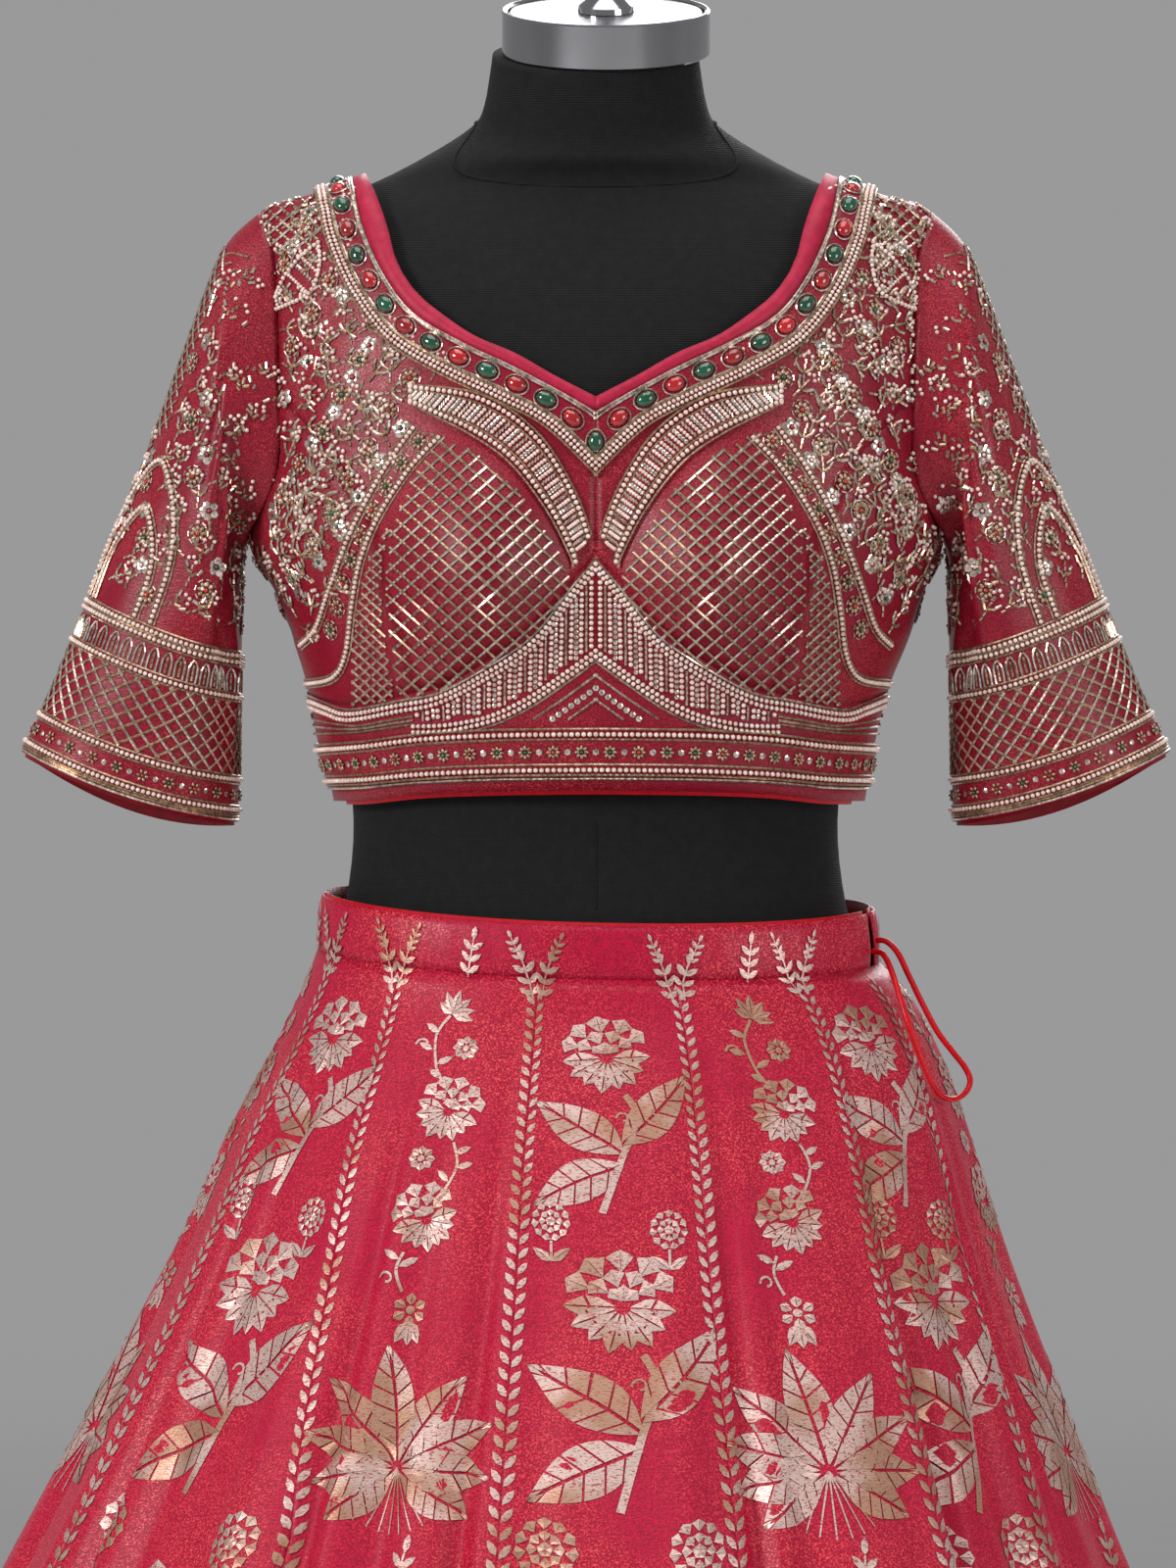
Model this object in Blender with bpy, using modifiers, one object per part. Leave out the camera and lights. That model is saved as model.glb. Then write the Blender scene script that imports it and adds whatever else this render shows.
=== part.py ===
"""Lehenga choli on a limbless dress form.

Metres, +Z up. The front faces -Y, the wearer's left side is +X, and the origin is the middle of
the stand's underside. Cloth is a thin wall between an outer and an inner grid of points, both
worked out from one smooth torso or one smooth skirt surface, so neighbours share their seams.
Angles go round the body from the front centre (0) by the +X side (90) to the centre back (180).
"""
import math
from collections import namedtuple

import bmesh
import bpy
from mathutils import Vector

# Driving sizes
SEAM_GAP = 0.0003
SEAM_PULL = 0.00024
CLOTH_WALL = 0.0018
SKIRT_WALL = 0.0020
TRIM_WALL = 0.0012
LINING_WALL = 0.0010
TRIM_LIFT = 0.0010
LINING_GAP = 0.0004
ROUNDNESS = 2.2
HEM_ROUNDNESS = 2.0
SIDE_ANGLE = math.pi / 2
BACK_ANGLE = math.pi

# Choli, outer face: half widths and depths of the worn blouse at each height
TorsoRow = namedtuple("TorsoRow", "height left right front back")
CHOLI_ROWS = (
    TorsoRow(1.080, 0.1370, 0.1400, 0.1040, 0.0900),
    TorsoRow(1.100, 0.1395, 0.1435, 0.1060, 0.0930),
    TorsoRow(1.126, 0.1470, 0.1480, 0.1100, 0.0960),
    TorsoRow(1.157, 0.1530, 0.1560, 0.1120, 0.1000),
    TorsoRow(1.183, 0.1610, 0.1665, 0.1140, 0.1035),
    TorsoRow(1.205, 0.1690, 0.1735, 0.1160, 0.1060),
    TorsoRow(1.235, 0.1840, 0.1845, 0.1170, 0.1090),
    TorsoRow(1.280, 0.1840, 0.1845, 0.1140, 0.1120),
    TorsoRow(1.320, 0.1825, 0.1830, 0.1070, 0.1110),
    TorsoRow(1.360, 0.1815, 0.1820, 0.0950, 0.1040),
    TorsoRow(1.385, 0.1815, 0.1820, 0.0830, 0.0940),
    TorsoRow(1.400, 0.1810, 0.1815, 0.0730, 0.0840),
    TorsoRow(1.408, 0.1780, 0.1785, 0.0660, 0.0770),
    TorsoRow(1.418, 0.1500, 0.1500, 0.0610, 0.0710),
    TorsoRow(1.4276, 0.1215, 0.1215, 0.0570, 0.0660),
    TorsoRow(1.440, 0.0950, 0.0950, 0.0540, 0.0620),
)
CUP_X = 0.0640
CUP_Z = 1.2080
CUP_HALF_WIDTH = 0.0620
CUP_ABOVE = 0.0920
CUP_BELOW = 0.0610
CUP_HEIGHT = 0.0300

# Front-view lines of the choli's right half, x outward and z up, mirrored for the left half
NECK_EDGE = ((0.0, 1.3047), (0.0213, 1.3158), (0.0416, 1.3275), (0.0620, 1.3365), (0.0773, 1.3468),
             (0.0928, 1.3600), (0.1034, 1.3765), (0.1088, 1.3960), (0.1148, 1.4130), (0.1215, 1.4276))
CENTRE_SEAM = ((0.0, 1.2233), (0.0, 1.3047))
UNDERBUST_INNER = ((0.0, 1.2233), (0.0131, 1.2082), (0.0328, 1.1840), (0.0580, 1.1667),
                   (0.0808, 1.1547), (0.0932, 1.1525))
UNDERBUST_OUTER = ((0.0932, 1.1525), (0.1100, 1.1490), (0.1278, 1.1465), (0.1420, 1.1480), (1.0, 1.1530))
PRINCESS_SEAM = ((0.0932, 1.1525), (0.1012, 1.1800), (0.1100, 1.2043), (0.1150, 1.2343),
                 (0.1330, 1.2700), (0.1655, 1.3060))
ARMHOLE_UPPER = ((0.1655, 1.3060), (0.1660, 1.3370), (0.1675, 1.3660), (0.1700, 1.3870), (1.0, 1.4080))
ARMHOLE_LOWER = ((0.1655, 1.3060), (0.1665, 1.2750), (0.1735, 1.2510), (1.0, 1.2350))
SHOULDER_TIP = 1.4080
SHOULDER_NECK = 1.4276
ARMPIT = 1.2350
SIDE_JOIN = 1.1530
HEM_FRONT = ((0.0, 1.1015), (0.0500, 1.1010), (0.0900, 1.0995), (0.1200, 1.0965), (1.0, 1.0960))
HEM_SIDE = 1.0960
HEM_BACK = 1.1020
HEM_DIP_AT = math.radians(130.0)
HEM_DIP = 0.0030
BACK_NECK = ((0.0, 1.3500), (0.0500, 1.3525), (0.0860, 1.3640), (0.1090, 1.3850), (0.1180, 1.4070),
             (0.1215, 1.4276))

# Cells along each seam, the same for the two pieces that meet there
CELLS_CENTRE = 6
CELLS_NECK = 9
CELLS_PRINCESS = 9
CELLS_ARMHOLE_UPPER = 6
CELLS_ARMHOLE_LOWER = 5
CELLS_ARMHOLE_BACK = 10
CELLS_INNER = 8
CELLS_OUTER = 5
CELLS_MIDRIFF = 4
CELLS_BACK = 6
CELLS_CENTRE_BACK = 16

# Trim on the choli: front-view lines of the stone row and of the two edges of a pearl arch
STONE_LINE = ((0.0, 1.2810), (0.0187, 1.2987), (0.0452, 1.3131), (0.0731, 1.3267), (0.0993, 1.3430),
              (0.1168, 1.3661), (0.1282, 1.3914), (0.1330, 1.4100), (0.1362, 1.4228))
STONE_PITCH = 0.0132
STONE_HEIGHT = 0.0030
STONE_CELLS = 4
STONE_SHOULDER = 0.55
STONE_COLUMN = 2
BORDER_COLUMNS = (0.0, 0.2, 0.43, 0.66, 1.0)
BORDER_INNER = 0.0078
BORDER_OUTER = 0.0102
BORDER_POINT_INNER = 1.2972
BORDER_POINT_OUTER = 1.2668
FACING_INNER = 0.0084
FACING_POINT = 1.2981
FACING_CELLS = 16
BACK_TRIM_CELLS = 12
SHOULDER_LIFT = 0.0016
HALVINGS = 30
ARCH_UPPER = ((0.0030, 1.2340), (0.0115, 1.2560), (0.0299, 1.2850), (0.0583, 1.3050), (0.0953, 1.3110))
ARCH_LOWER = ((0.0122, 1.2180), (0.0142, 1.2240), (0.0259, 1.2460), (0.0441, 1.2700), (0.0653, 1.2860),
              (0.0953, 1.3020))
ARCH_CELLS = 12
BAND_TOP = ((0.0, 1.1325), (0.0500, 1.1320), (0.0900, 1.1300), (0.1200, 1.1265), (1.0, 1.1250))
BAND_BOTTOM = ((0.0, 1.1080), (0.0500, 1.1075), (0.0900, 1.1060), (0.1200, 1.1035), (1.0, 1.1030))
BAND_BACK_LOW = 0.0060
BAND_BACK_HIGH = 0.0290
BAND_CELLS = 12
HALVES = (0.0, 0.5, 1.0)
HEM_LINING_DROP = 0.0012
HEM_LINING_TALL = 0.0140

# Sleeve: its upper and under lines in front view, and its half depth, from armhole to cuff
SleeveRow = namedtuple("SleeveRow", "top_x top_z under_x under_z depth")
SLEEVE_ROWS = (
    SleeveRow(0.1950, 1.3920, 0.1875, 1.2230, 0.0580),
    SleeveRow(0.2060, 1.3670, 0.1880, 1.2060, 0.0600),
    SleeveRow(0.2185, 1.3330, 0.1882, 1.1870, 0.0580),
    SleeveRow(0.2325, 1.2945, 0.1884, 1.1680, 0.0550),
    SleeveRow(0.2455, 1.2610, 0.1886, 1.1510, 0.0520),
    SleeveRow(0.2585, 1.2300, 0.1888, 1.1350, 0.0490),
    SleeveRow(0.2730, 1.1930, 0.1890, 1.1180, 0.0460),
    SleeveRow(0.2885, 1.1550, 0.1893, 1.1010, 0.0430),
    SleeveRow(0.3045, 1.1225, 0.1896, 1.0850, 0.0400),
)
SleeveFold = namedtuple("SleeveFold", "round_at row_at half_round half_rows depth")
SLEEVE_FOLDS = (
    SleeveFold(2.0, 2.0, 1.2, 2.6, -0.0050),
    SleeveFold(4.2, 3.5, 1.2, 3.0, 0.0035),
    SleeveFold(6.6, 5.0, 1.3, 3.2, -0.0030),
    SleeveFold(14.0, 3.5, 1.4, 3.4, -0.0040),
    SleeveFold(17.5, 3.0, 1.4, 2.8, 0.0035),
)
SLEEVE_SEAM = 0.0010
CUFF_DIP_FRONT = 0.0060
CUFF_DIP_BACK = 0.0120
CUFF_LINING_TALL = 0.0200
CUFF_LINING_EDGE = 0.02

# Lehenga skirt: extent each way at each drop below the band's seam
SkirtRow = namedtuple("SkirtRow", "drop left right front back")
SKIRT_ROWS = (
    SkirtRow(0.000, 0.1470, 0.1500, 0.1090, 0.1010),
    SkirtRow(0.014, 0.1520, 0.1640, 0.1140, 0.1080),
    SkirtRow(0.048, 0.1675, 0.1820, 0.1330, 0.1310),
    SkirtRow(0.095, 0.1920, 0.1980, 0.1600, 0.1630),
    SkirtRow(0.150, 0.2160, 0.2140, 0.1900, 0.1960),
    SkirtRow(0.225, 0.2540, 0.2400, 0.2350, 0.2430),
    SkirtRow(0.330, 0.3080, 0.2780, 0.2970, 0.3060),
    SkirtRow(0.560, 0.4200, 0.3850, 0.4170, 0.4260),
    SkirtRow(0.800, 0.5200, 0.4950, 0.5120, 0.5200),
    SkirtRow(1.010, 0.5850, 0.5850, 0.5750, 0.5830),
)
HEM_HEIGHT = 0.0180
SEAM_HEIGHT_FRONT = 1.0040
SEAM_HEIGHT_BACK = 1.0190
SEAM_HEIGHT_LEFT = 1.0190
SEAM_HEIGHT_RIGHT = 1.0110
BAND_TALL = 0.0280
BAND_LEAN = 0.0020
BAND_FRONT_CELLS = 20
BAND_BACK_CELLS = 22
BAND_LINING_ROWS = (0.45, 1.03)
WAIST_RADIUS = 0.1400
SKIRT_ROW_CELLS = 10
ROW_SPREAD = 1.25
KALI_CELLS = 6

# Kali seams, in degrees round at the waist and from SEAM_SETTLES of the fall on down to the hem,
# and the opening in the waistband
KaliSeam = namedtuple("KaliSeam", "at_waist at_hem")
KALI_SEAMS = (
    KaliSeam(-263.0, -262.0),
    KaliSeam(-229.0, -229.0),
    KaliSeam(-196.0, -196.0),
    KaliSeam(-163.0, -163.0),
    KaliSeam(-131.0, -131.0),
    KaliSeam(-99.0, -98.0),
    KaliSeam(-68.0, -65.0),
    KaliSeam(-42.0, -31.5),
    KaliSeam(-10.0, -9.2),
    KaliSeam(13.5, 15.0),
    KaliSeam(41.0, 39.8),
    KaliSeam(66.0, 59.0),
    KaliSeam(97.0, 98.0),
)
SEAM_SETTLES = 0.28
OPENING_AT = 76.0
OPENING_OVERLAP = 0.0060

# Folds of the skirt: where each lies at waist and hem, its half width and its depth at the hem
SkirtFold = namedtuple("SkirtFold", "at_waist at_hem half_width depth")
SKIRT_FOLDS = (
    SkirtFold(0.5, 3.0, 16.0, 0.020),
    SkirtFold(33.0, 33.0, 13.0, 0.026),
    SkirtFold(61.5, 60.0, 13.0, 0.022),
    SkirtFold(90.0, 88.0, 13.0, 0.028),
    SkirtFold(118.0, 116.0, 13.0, 0.020),
    SkirtFold(147.0, 147.0, 14.0, 0.028),
    SkirtFold(179.0, 180.0, 15.0, 0.022),
    SkirtFold(-150.0, -149.0, 14.0, 0.026),
    SkirtFold(-119.0, -118.0, 14.0, 0.020),
    SkirtFold(-90.0, -89.0, 13.0, 0.028),
    SkirtFold(-61.0, -59.0, 14.0, 0.022),
    SkirtFold(-32.0, -28.0, 13.0, 0.026),
    SkirtFold(17.0, 17.5, 7.0, -0.014),
    SkirtFold(46.0, 46.0, 7.0, -0.010),
    SkirtFold(-47.0, -44.0, 7.0, -0.014),
    SkirtFold(-133.0, -132.0, 8.0, -0.012),
    SkirtFold(164.0, 164.0, 8.0, -0.012),
)
FOLD_GROWTH = 1.15

# Drawstring: the loop's route out of the casing at the side opening, down and back in
CORD_RADIUS = 0.0016
CORD_ROUTE = (
    (0.1478, -0.0295, 1.0225), (0.1530, -0.0320, 1.0222), (0.1590, -0.0350, 1.0160),
    (0.1650, -0.0370, 1.0035), (0.1720, -0.0385, 0.9890), (0.1795, -0.0400, 0.9750),
    (0.1870, -0.0415, 0.9650), (0.1940, -0.0430, 0.9560), (0.1965, -0.0450, 0.9490),
    (0.1935, -0.0495, 0.9430), (0.1870, -0.0560, 0.9400), (0.1795, -0.0630, 0.9430),
    (0.1735, -0.0670, 0.9530), (0.1675, -0.0670, 0.9680), (0.1620, -0.0640, 0.9840),
    (0.1575, -0.0560, 0.9990), (0.1540, -0.0460, 1.0100), (0.1506, -0.0375, 1.0160),
    (0.1456, -0.0339, 1.0170),
)
CORD_STEP = 0.0075

# Dress form: torso below the blouse, ease inside the blouse above, neck, cap and stand
FormRow = namedtuple("FormRow", "height side front back")
HIP_ROWS = (
    FormRow(0.820, 0.1480, 0.1020, 0.1060),
    FormRow(0.832, 0.1600, 0.1100, 0.1140),
    FormRow(0.860, 0.1660, 0.1140, 0.1180),
    FormRow(0.910, 0.1640, 0.1130, 0.1160),
    FormRow(0.960, 0.1520, 0.1120, 0.1060),
    FormRow(1.002, 0.1440, 0.1067, 0.0965),
    FormRow(1.040, 0.1340, 0.0985, 0.0870),
    FormRow(1.075, 0.1295, 0.0950, 0.0820),
    FormRow(1.105, 0.1310, 0.0960, 0.0835),
)
EaseRow = namedtuple("EaseRow", "height ease")
EASE_ROWS = (
    EaseRow(1.130, 0.0085), EaseRow(1.160, 0.0075), EaseRow(1.190, 0.0065), EaseRow(1.220, 0.0070),
    EaseRow(1.250, 0.0080), EaseRow(1.290, 0.0055), EaseRow(1.330, 0.0045), EaseRow(1.365, 0.0040),
    EaseRow(1.390, 0.0042),
)
SHOULDER_ROWS = (
    FormRow(1.4040, 0.1738, 0.0642, 0.0700),
    FormRow(1.4145, 0.1440, 0.0575, 0.0620),
    FormRow(1.4235, 0.1190, 0.0540, 0.0590),
)
BUST_HEIGHT = 0.0240
NeckRow = namedtuple("NeckRow", "height forward lean side depth")
NECK_ROWS = (
    NeckRow(1.4400, 0.0030, 8.0, 0.0860, 0.0570),
    NeckRow(1.4530, 0.0050, 14.0, 0.0650, 0.0540),
    NeckRow(1.4640, 0.0080, 15.0, 0.0590, 0.0530),
    NeckRow(1.4800, 0.0120, 15.0, 0.0560, 0.0530),
    NeckRow(1.4905, 0.0148, 15.0, 0.0545, 0.0530),
)
FORM_CELLS = 26
NECK_LEAN = math.radians(15.0)
RING_RADIUS = 0.0550
RING_WALL = 0.0030
RING_TALL = 0.0240
RING_BASE = Vector((0.0055, -0.0150, 1.4909))
CAP_RADIUS = 0.0515
CAP_TALL = 0.0060
CAP_SUNK = 0.0015
CAP_EDGE = 0.0010
RING_EDGE = 0.0008
FINIAL_SEGMENTS = 16
FINIAL_PROFILE = ((0.0, 0.0300), (0.0060, 0.0290), (0.0082, 0.0250), (0.0082, 0.0200), (0.0062, 0.0150),
                  (0.0070, 0.0110), (0.0100, 0.0070), (0.0145, 0.0030), (0.0150, 0.0), (0.0, 0.0))
POLE_RADIUS = 0.0160
COLLAR_TALL = 0.0600
CollarKnot = namedtuple("CollarKnot", "radius height")
COLLAR_PROFILE = (
    CollarKnot(0.0200, 0.0600),
    CollarKnot(0.0220, 0.0120),
    CollarKnot(0.0320, 0.0040),
    CollarKnot(0.0320, 0.0),
)
BASE_RADIUS = 0.1900
BASE_TALL = 0.0140
BASE_BEVEL = 0.0030
ROUND_SEGMENTS = 28


def clear_scene():
    for thing in list(bpy.data.objects):
        bpy.data.objects.remove(thing, do_unlink=True)


def make_material(name, colour, roughness, metallic=0.0):
    material = bpy.data.materials.new(name)
    material.use_nodes = True
    shader = material.node_tree.nodes["Principled BSDF"]
    shader.inputs["Base Color"].default_value = (*colour, 1.0)
    shader.inputs["Roughness"].default_value = roughness
    shader.inputs["Metallic"].default_value = metallic
    return material


def read_row(rows, at, key, column):
    """Value of a column at a key, on a smooth curve through the rows that never overshoots them."""
    keys = [getattr(row, key) for row in rows]
    values = [getattr(row, column) for row in rows]
    at = min(max(at, keys[0]), keys[-1])
    index = 0
    while index < len(keys) - 2 and at > keys[index + 1]:
        index += 1

    def slope(place):
        return (values[place + 1] - values[place]) / (keys[place + 1] - keys[place])

    def tangent(place):
        if place in (0, len(keys) - 1):
            return slope(min(place, len(keys) - 2))
        before, after = slope(place - 1), slope(place)
        if before * after <= 0.0:
            return 0.0
        return 2.0 * before * after / (before + after)

    span = keys[index + 1] - keys[index]
    t = (at - keys[index]) / span
    start, end = tangent(index) * span, tangent(index + 1) * span
    low, high = values[index], values[index + 1]
    return ((2 * t ** 3 - 3 * t ** 2 + 1) * low + (t ** 3 - 2 * t ** 2 + t) * start
            + (3 * t ** 2 - 2 * t ** 3) * high + (t ** 3 - t ** 2) * end)


def smooth_line(points, steps=12):
    """Dense points on a curve through the given points, whatever their dimension."""
    count = len(points)
    dense = []
    for index in range(count - 1):
        before = points[max(index - 1, 0)]
        start, end = points[index], points[index + 1]
        after = points[min(index + 2, count - 1)]
        for step in range(steps):
            t = step / steps
            dense.append(tuple(
                0.5 * (2 * b + (c - a) * t + (2 * a - 5 * b + 4 * c - d) * t ** 2
                       + (3 * b - a - 3 * c + d) * t ** 3)
                for a, b, c, d in zip(before, start, end, after)))
    dense.append(tuple(points[-1]))
    return dense


def even_steps(dense, cells, place):
    """Split a dense line into equal lengths, measured on the points that place() gives."""
    spots = [place(point) for point in dense]
    travelled = [0.0]
    for first, second in zip(spots, spots[1:]):
        travelled.append(travelled[-1] + (second - first).length)
    result = []
    index = 0
    for cell in range(cells + 1):
        wanted = travelled[-1] * cell / cells
        while index < len(dense) - 2 and travelled[index + 1] < wanted:
            index += 1
        span = max(travelled[index + 1] - travelled[index], 1e-9)
        share = min(max((wanted - travelled[index]) / span, 0.0), 1.0)
        result.append(tuple(a + (b - a) * share for a, b in zip(dense[index], dense[index + 1])))
    return result


def rounded(value, power):
    return math.copysign(abs(value) ** power, value)


def cup_swell(x, z, height):
    """How far a padded cup stands out at a point of the front view."""
    tall = CUP_ABOVE if z > CUP_Z else CUP_BELOW
    away = ((abs(x) - CUP_X) / CUP_HALF_WIDTH) ** 2 + ((z - CUP_Z) / tall) ** 2
    return height * (1.0 - away) ** 2 if away < 1.0 else 0.0


def choli_side(angle, height):
    return read_row(CHOLI_ROWS, height, "height", "right" if math.sin(angle) >= 0 else "left")


def choli_face(angle, height):
    """Point of the choli's outer face at an angle and a height."""
    side = choli_side(angle, height)
    is_front = math.cos(angle) >= 0
    depth = read_row(CHOLI_ROWS, height, "height", "front" if is_front else "back")
    power = 2.0 / ROUNDNESS
    x = side * rounded(math.sin(angle), power)
    y = -depth * rounded(math.cos(angle), power)
    if is_front:
        y -= cup_swell(x, height, CUP_HEIGHT)
    return Vector((x, y, height))


def face_normal(face, across, along):
    """Outward normal of a surface given as a function of an angle and a second value."""
    turn, move = 0.004, 0.0008
    sideways = face(across + turn, along) - face(across - turn, along)
    upwards = face(across, along + move) - face(across, along - move)
    return sideways.cross(upwards).normalized()


def choli_point(spot, lift=0.0):
    angle, height = spot
    point = choli_face(angle, height)
    return point + face_normal(choli_face, angle, height) * lift if lift else point


def front_spot(x, z, side):
    """Angle and height of a front-view point; an x of 1 or more means the side line itself."""
    half = choli_side(side * 0.5, z)
    share = min(abs(x) / half, 1.0)
    return (side * math.asin(share ** (ROUNDNESS / 2.0)), z)


def front_line(points, cells, side):
    view = [(min(x, choli_side(side * 0.5, z)), z) for x, z in points]
    return even_steps([front_spot(x, z, side) for x, z in smooth_line(view)], cells, choli_point)


def back_line(points, cells, side):
    """The same on the back, with x and z as seen from behind."""
    spots = [front_spot(x, z, side) for x, z in smooth_line(points)]
    return even_steps([(side * BACK_ANGLE - angle, z) for angle, z in spots], cells, choli_point)


def straight_line(start, end, cells):
    return even_steps(smooth_line((start, end)), cells, choli_point)


def coons(bottom, top, left, right):
    """Grid of angle and height pairs filled in between four edges, rows from bottom to top."""
    rows, columns = len(left) - 1, len(bottom) - 1
    grid = []
    for i in range(rows + 1):
        v = i / rows
        line = []
        for j in range(columns + 1):
            u = j / columns
            line.append(tuple(
                (1 - v) * bottom[j][k] + v * top[j][k] + (1 - u) * left[i][k] + u * right[i][k]
                - (1 - u) * (1 - v) * bottom[0][k] - u * (1 - v) * bottom[-1][k]
                - (1 - u) * v * top[0][k] - u * v * top[-1][k] for k in range(2)))
        grid.append(line)
    return grid


def trim_edges(grid, sides="bottom top left right"):
    """Draw the named edges of a grid of points in, so that neighbours keep a seam's gap."""
    def pull(edge, neighbour):
        return edge + (neighbour - edge).normalized() * SEAM_PULL

    if "left" in sides:
        for row in grid:
            row[0] = pull(row[0], row[1])
    if "right" in sides:
        for row in grid:
            row[-1] = pull(row[-1], row[-2])
    if "bottom" in sides:
        grid[0] = [pull(a, b) for a, b in zip(grid[0], grid[1])]
    if "top" in sides:
        grid[-1] = [pull(a, b) for a, b in zip(grid[-1], grid[-2])]
    return grid


def add_object(name, mesh, material, collection):
    thing = bpy.data.objects.new(name, mesh)
    mesh.materials.append(material)
    collection.objects.link(thing)
    mesh.shade_smooth()
    return thing


def make_wall(name, outer, inner, material, collection, ring=False):
    """Closed wall between two grids; a ring joins its last column to its first."""
    cloth = bmesh.new()
    out = [[cloth.verts.new(point) for point in row] for row in outer]
    ins = [[cloth.verts.new(point) for point in row] for row in inner]

    def pairs(count):
        steps = [(j, j + 1) for j in range(count - 1)]
        return steps + [(count - 1, 0)] if ring else steps

    for i in range(len(out) - 1):
        for a, b in pairs(len(out[0])):
            cloth.faces.new((out[i][a], out[i][b], out[i + 1][b], out[i + 1][a]))
        for a, b in pairs(len(ins[0])):
            cloth.faces.new((ins[i][a], ins[i + 1][a], ins[i + 1][b], ins[i][b]))
        if not ring:
            for column in (0, -1):
                rim = (out[i][column], out[i + 1][column], ins[i + 1][column], ins[i][column])
                cloth.faces.new(rim if column == 0 else rim[::-1])
    same = len(out[0]) == len(ins[0])
    for row in (0, -1):
        if same:
            for a, b in pairs(len(out[0])):
                rim = (out[row][b], out[row][a], ins[row][a], ins[row][b])
                cloth.faces.new(rim if row == 0 else rim[::-1])
        else:
            rim = out[row][::-1] + ins[row]
            cloth.faces.new(rim if row == 0 else rim[::-1])
    bmesh.ops.recalc_face_normals(cloth, faces=cloth.faces)
    mesh = bpy.data.meshes.new(name)
    cloth.to_mesh(mesh)
    cloth.free()
    return add_object(name, mesh, material, collection)


def choli_piece(name, spots, material, collection, sides="bottom top left right"):
    outer = trim_edges([[choli_point(spot) for spot in row] for row in spots], sides)
    inner = trim_edges([[choli_point(spot, -CLOTH_WALL) for spot in row] for row in spots], sides)
    return make_wall(name, outer, inner, material, collection)


# Seams of one half of the choli

def side_lines(side):
    """Every seam of one half, as lists of angle and height pairs."""
    lines = {
        "centre": front_line(CENTRE_SEAM, CELLS_CENTRE, side),
        "neck": front_line(NECK_EDGE, CELLS_NECK, side),
        "inner": front_line(UNDERBUST_INNER, CELLS_INNER, side),
        "outer": front_line(UNDERBUST_OUTER, CELLS_OUTER, side),
        "princess": front_line(PRINCESS_SEAM, CELLS_PRINCESS, side),
        "armhole_upper": front_line(ARMHOLE_UPPER, CELLS_ARMHOLE_UPPER, side),
        "armhole_lower": front_line(ARMHOLE_LOWER, CELLS_ARMHOLE_LOWER, side),
        "shoulder": straight_line((side * SIDE_ANGLE, SHOULDER_NECK), (side * SIDE_ANGLE, SHOULDER_TIP),
                                  CELLS_INNER),
        "side_upper": straight_line((side * SIDE_ANGLE, SIDE_JOIN), (side * SIDE_ANGLE, ARMPIT),
                                    CELLS_PRINCESS),
        "side_lower": straight_line((side * SIDE_ANGLE, HEM_SIDE), (side * SIDE_ANGLE, SIDE_JOIN),
                                    CELLS_MIDRIFF),
    }
    back_points = [(side * (math.pi - abs(angle)), z) for angle, z in
                   [front_spot(x, z, side) for x, z in ARMHOLE_LOWER[::-1] + ARMHOLE_UPPER[1:]]]
    lines["armhole_back"] = even_steps(smooth_line(back_points), CELLS_ARMHOLE_BACK, choli_point)
    neck_cells = CELLS_MIDRIFF + CELLS_PRINCESS + CELLS_ARMHOLE_BACK - CELLS_CENTRE_BACK
    lines["neck_back"] = back_line(BACK_NECK, neck_cells, side)
    lines["centre_back"] = straight_line((side * BACK_ANGLE, HEM_BACK), (side * BACK_ANGLE, BACK_NECK[0][1]),
                                         CELLS_CENTRE_BACK)
    hem_points = ((side * BACK_ANGLE, HEM_BACK), (side * HEM_DIP_AT, HEM_BACK - HEM_DIP),
                  (side * SIDE_ANGLE, HEM_SIDE))
    lines["hem_back"] = even_steps(smooth_line(hem_points), CELLS_BACK, choli_point)
    lines["shoulder_back"] = straight_line((side * SIDE_ANGLE, SHOULDER_NECK),
                                           (side * SIDE_ANGLE, SHOULDER_TIP), CELLS_BACK)
    lines["hem_front"] = front_line(HEM_FRONT, CELLS_INNER + CELLS_OUTER, side)
    return lines


def make_bodice_half(word, side, lines, material, collection):
    cup_left = lines["centre"] + lines["neck"][1:]
    cup_right = lines["princess"] + lines["armhole_upper"][1:]
    cup = coons(lines["inner"], lines["shoulder"], cup_left, cup_right)
    choli_piece(f"cup_{word}", cup, material, collection)

    side_right = lines["side_upper"]
    side_panel = coons(lines["outer"], lines["armhole_lower"], lines["princess"], side_right)
    choli_piece(f"side_front_{word}", side_panel, material, collection)

    back_left = lines["centre_back"] + lines["neck_back"][1:]
    back_right = lines["side_lower"] + lines["side_upper"][1:] + lines["armhole_back"][1:]
    back = coons(lines["hem_back"], lines["shoulder_back"], back_left, back_right)
    choli_piece(f"back_{word}", back, material, collection)


def make_midriff(left, right, material, lining_material, collection):
    """Midriff front, and the strip of lining inside its hem, whose edge shows just below."""
    top = (left["outer"][::-1] + left["inner"][::-1][1:] + right["inner"][1:] + right["outer"][1:])
    bottom = left["hem_front"][::-1] + right["hem_front"][1:]
    spots = coons(bottom, top, left["side_lower"], right["side_lower"])
    choli_piece("midriff_front", spots, material, collection)

    outer, inner = [], []
    for share in (-HEM_LINING_DROP / HEM_LINING_TALL, 1.0):
        row = [tuple(a + (b - a) * share for a, b in zip(low, high))
               for low, high in zip(spots[0][1:-1], spots[1][1:-1])]
        outer.append([choli_point(spot, -CLOTH_WALL - LINING_GAP) for spot in row])
        inner.append([choli_point(spot, -CLOTH_WALL - LINING_GAP - LINING_WALL) for spot in row])
    make_wall("choli_hem_lining", outer, inner, lining_material, collection)


# Trim that lies on the choli

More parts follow.
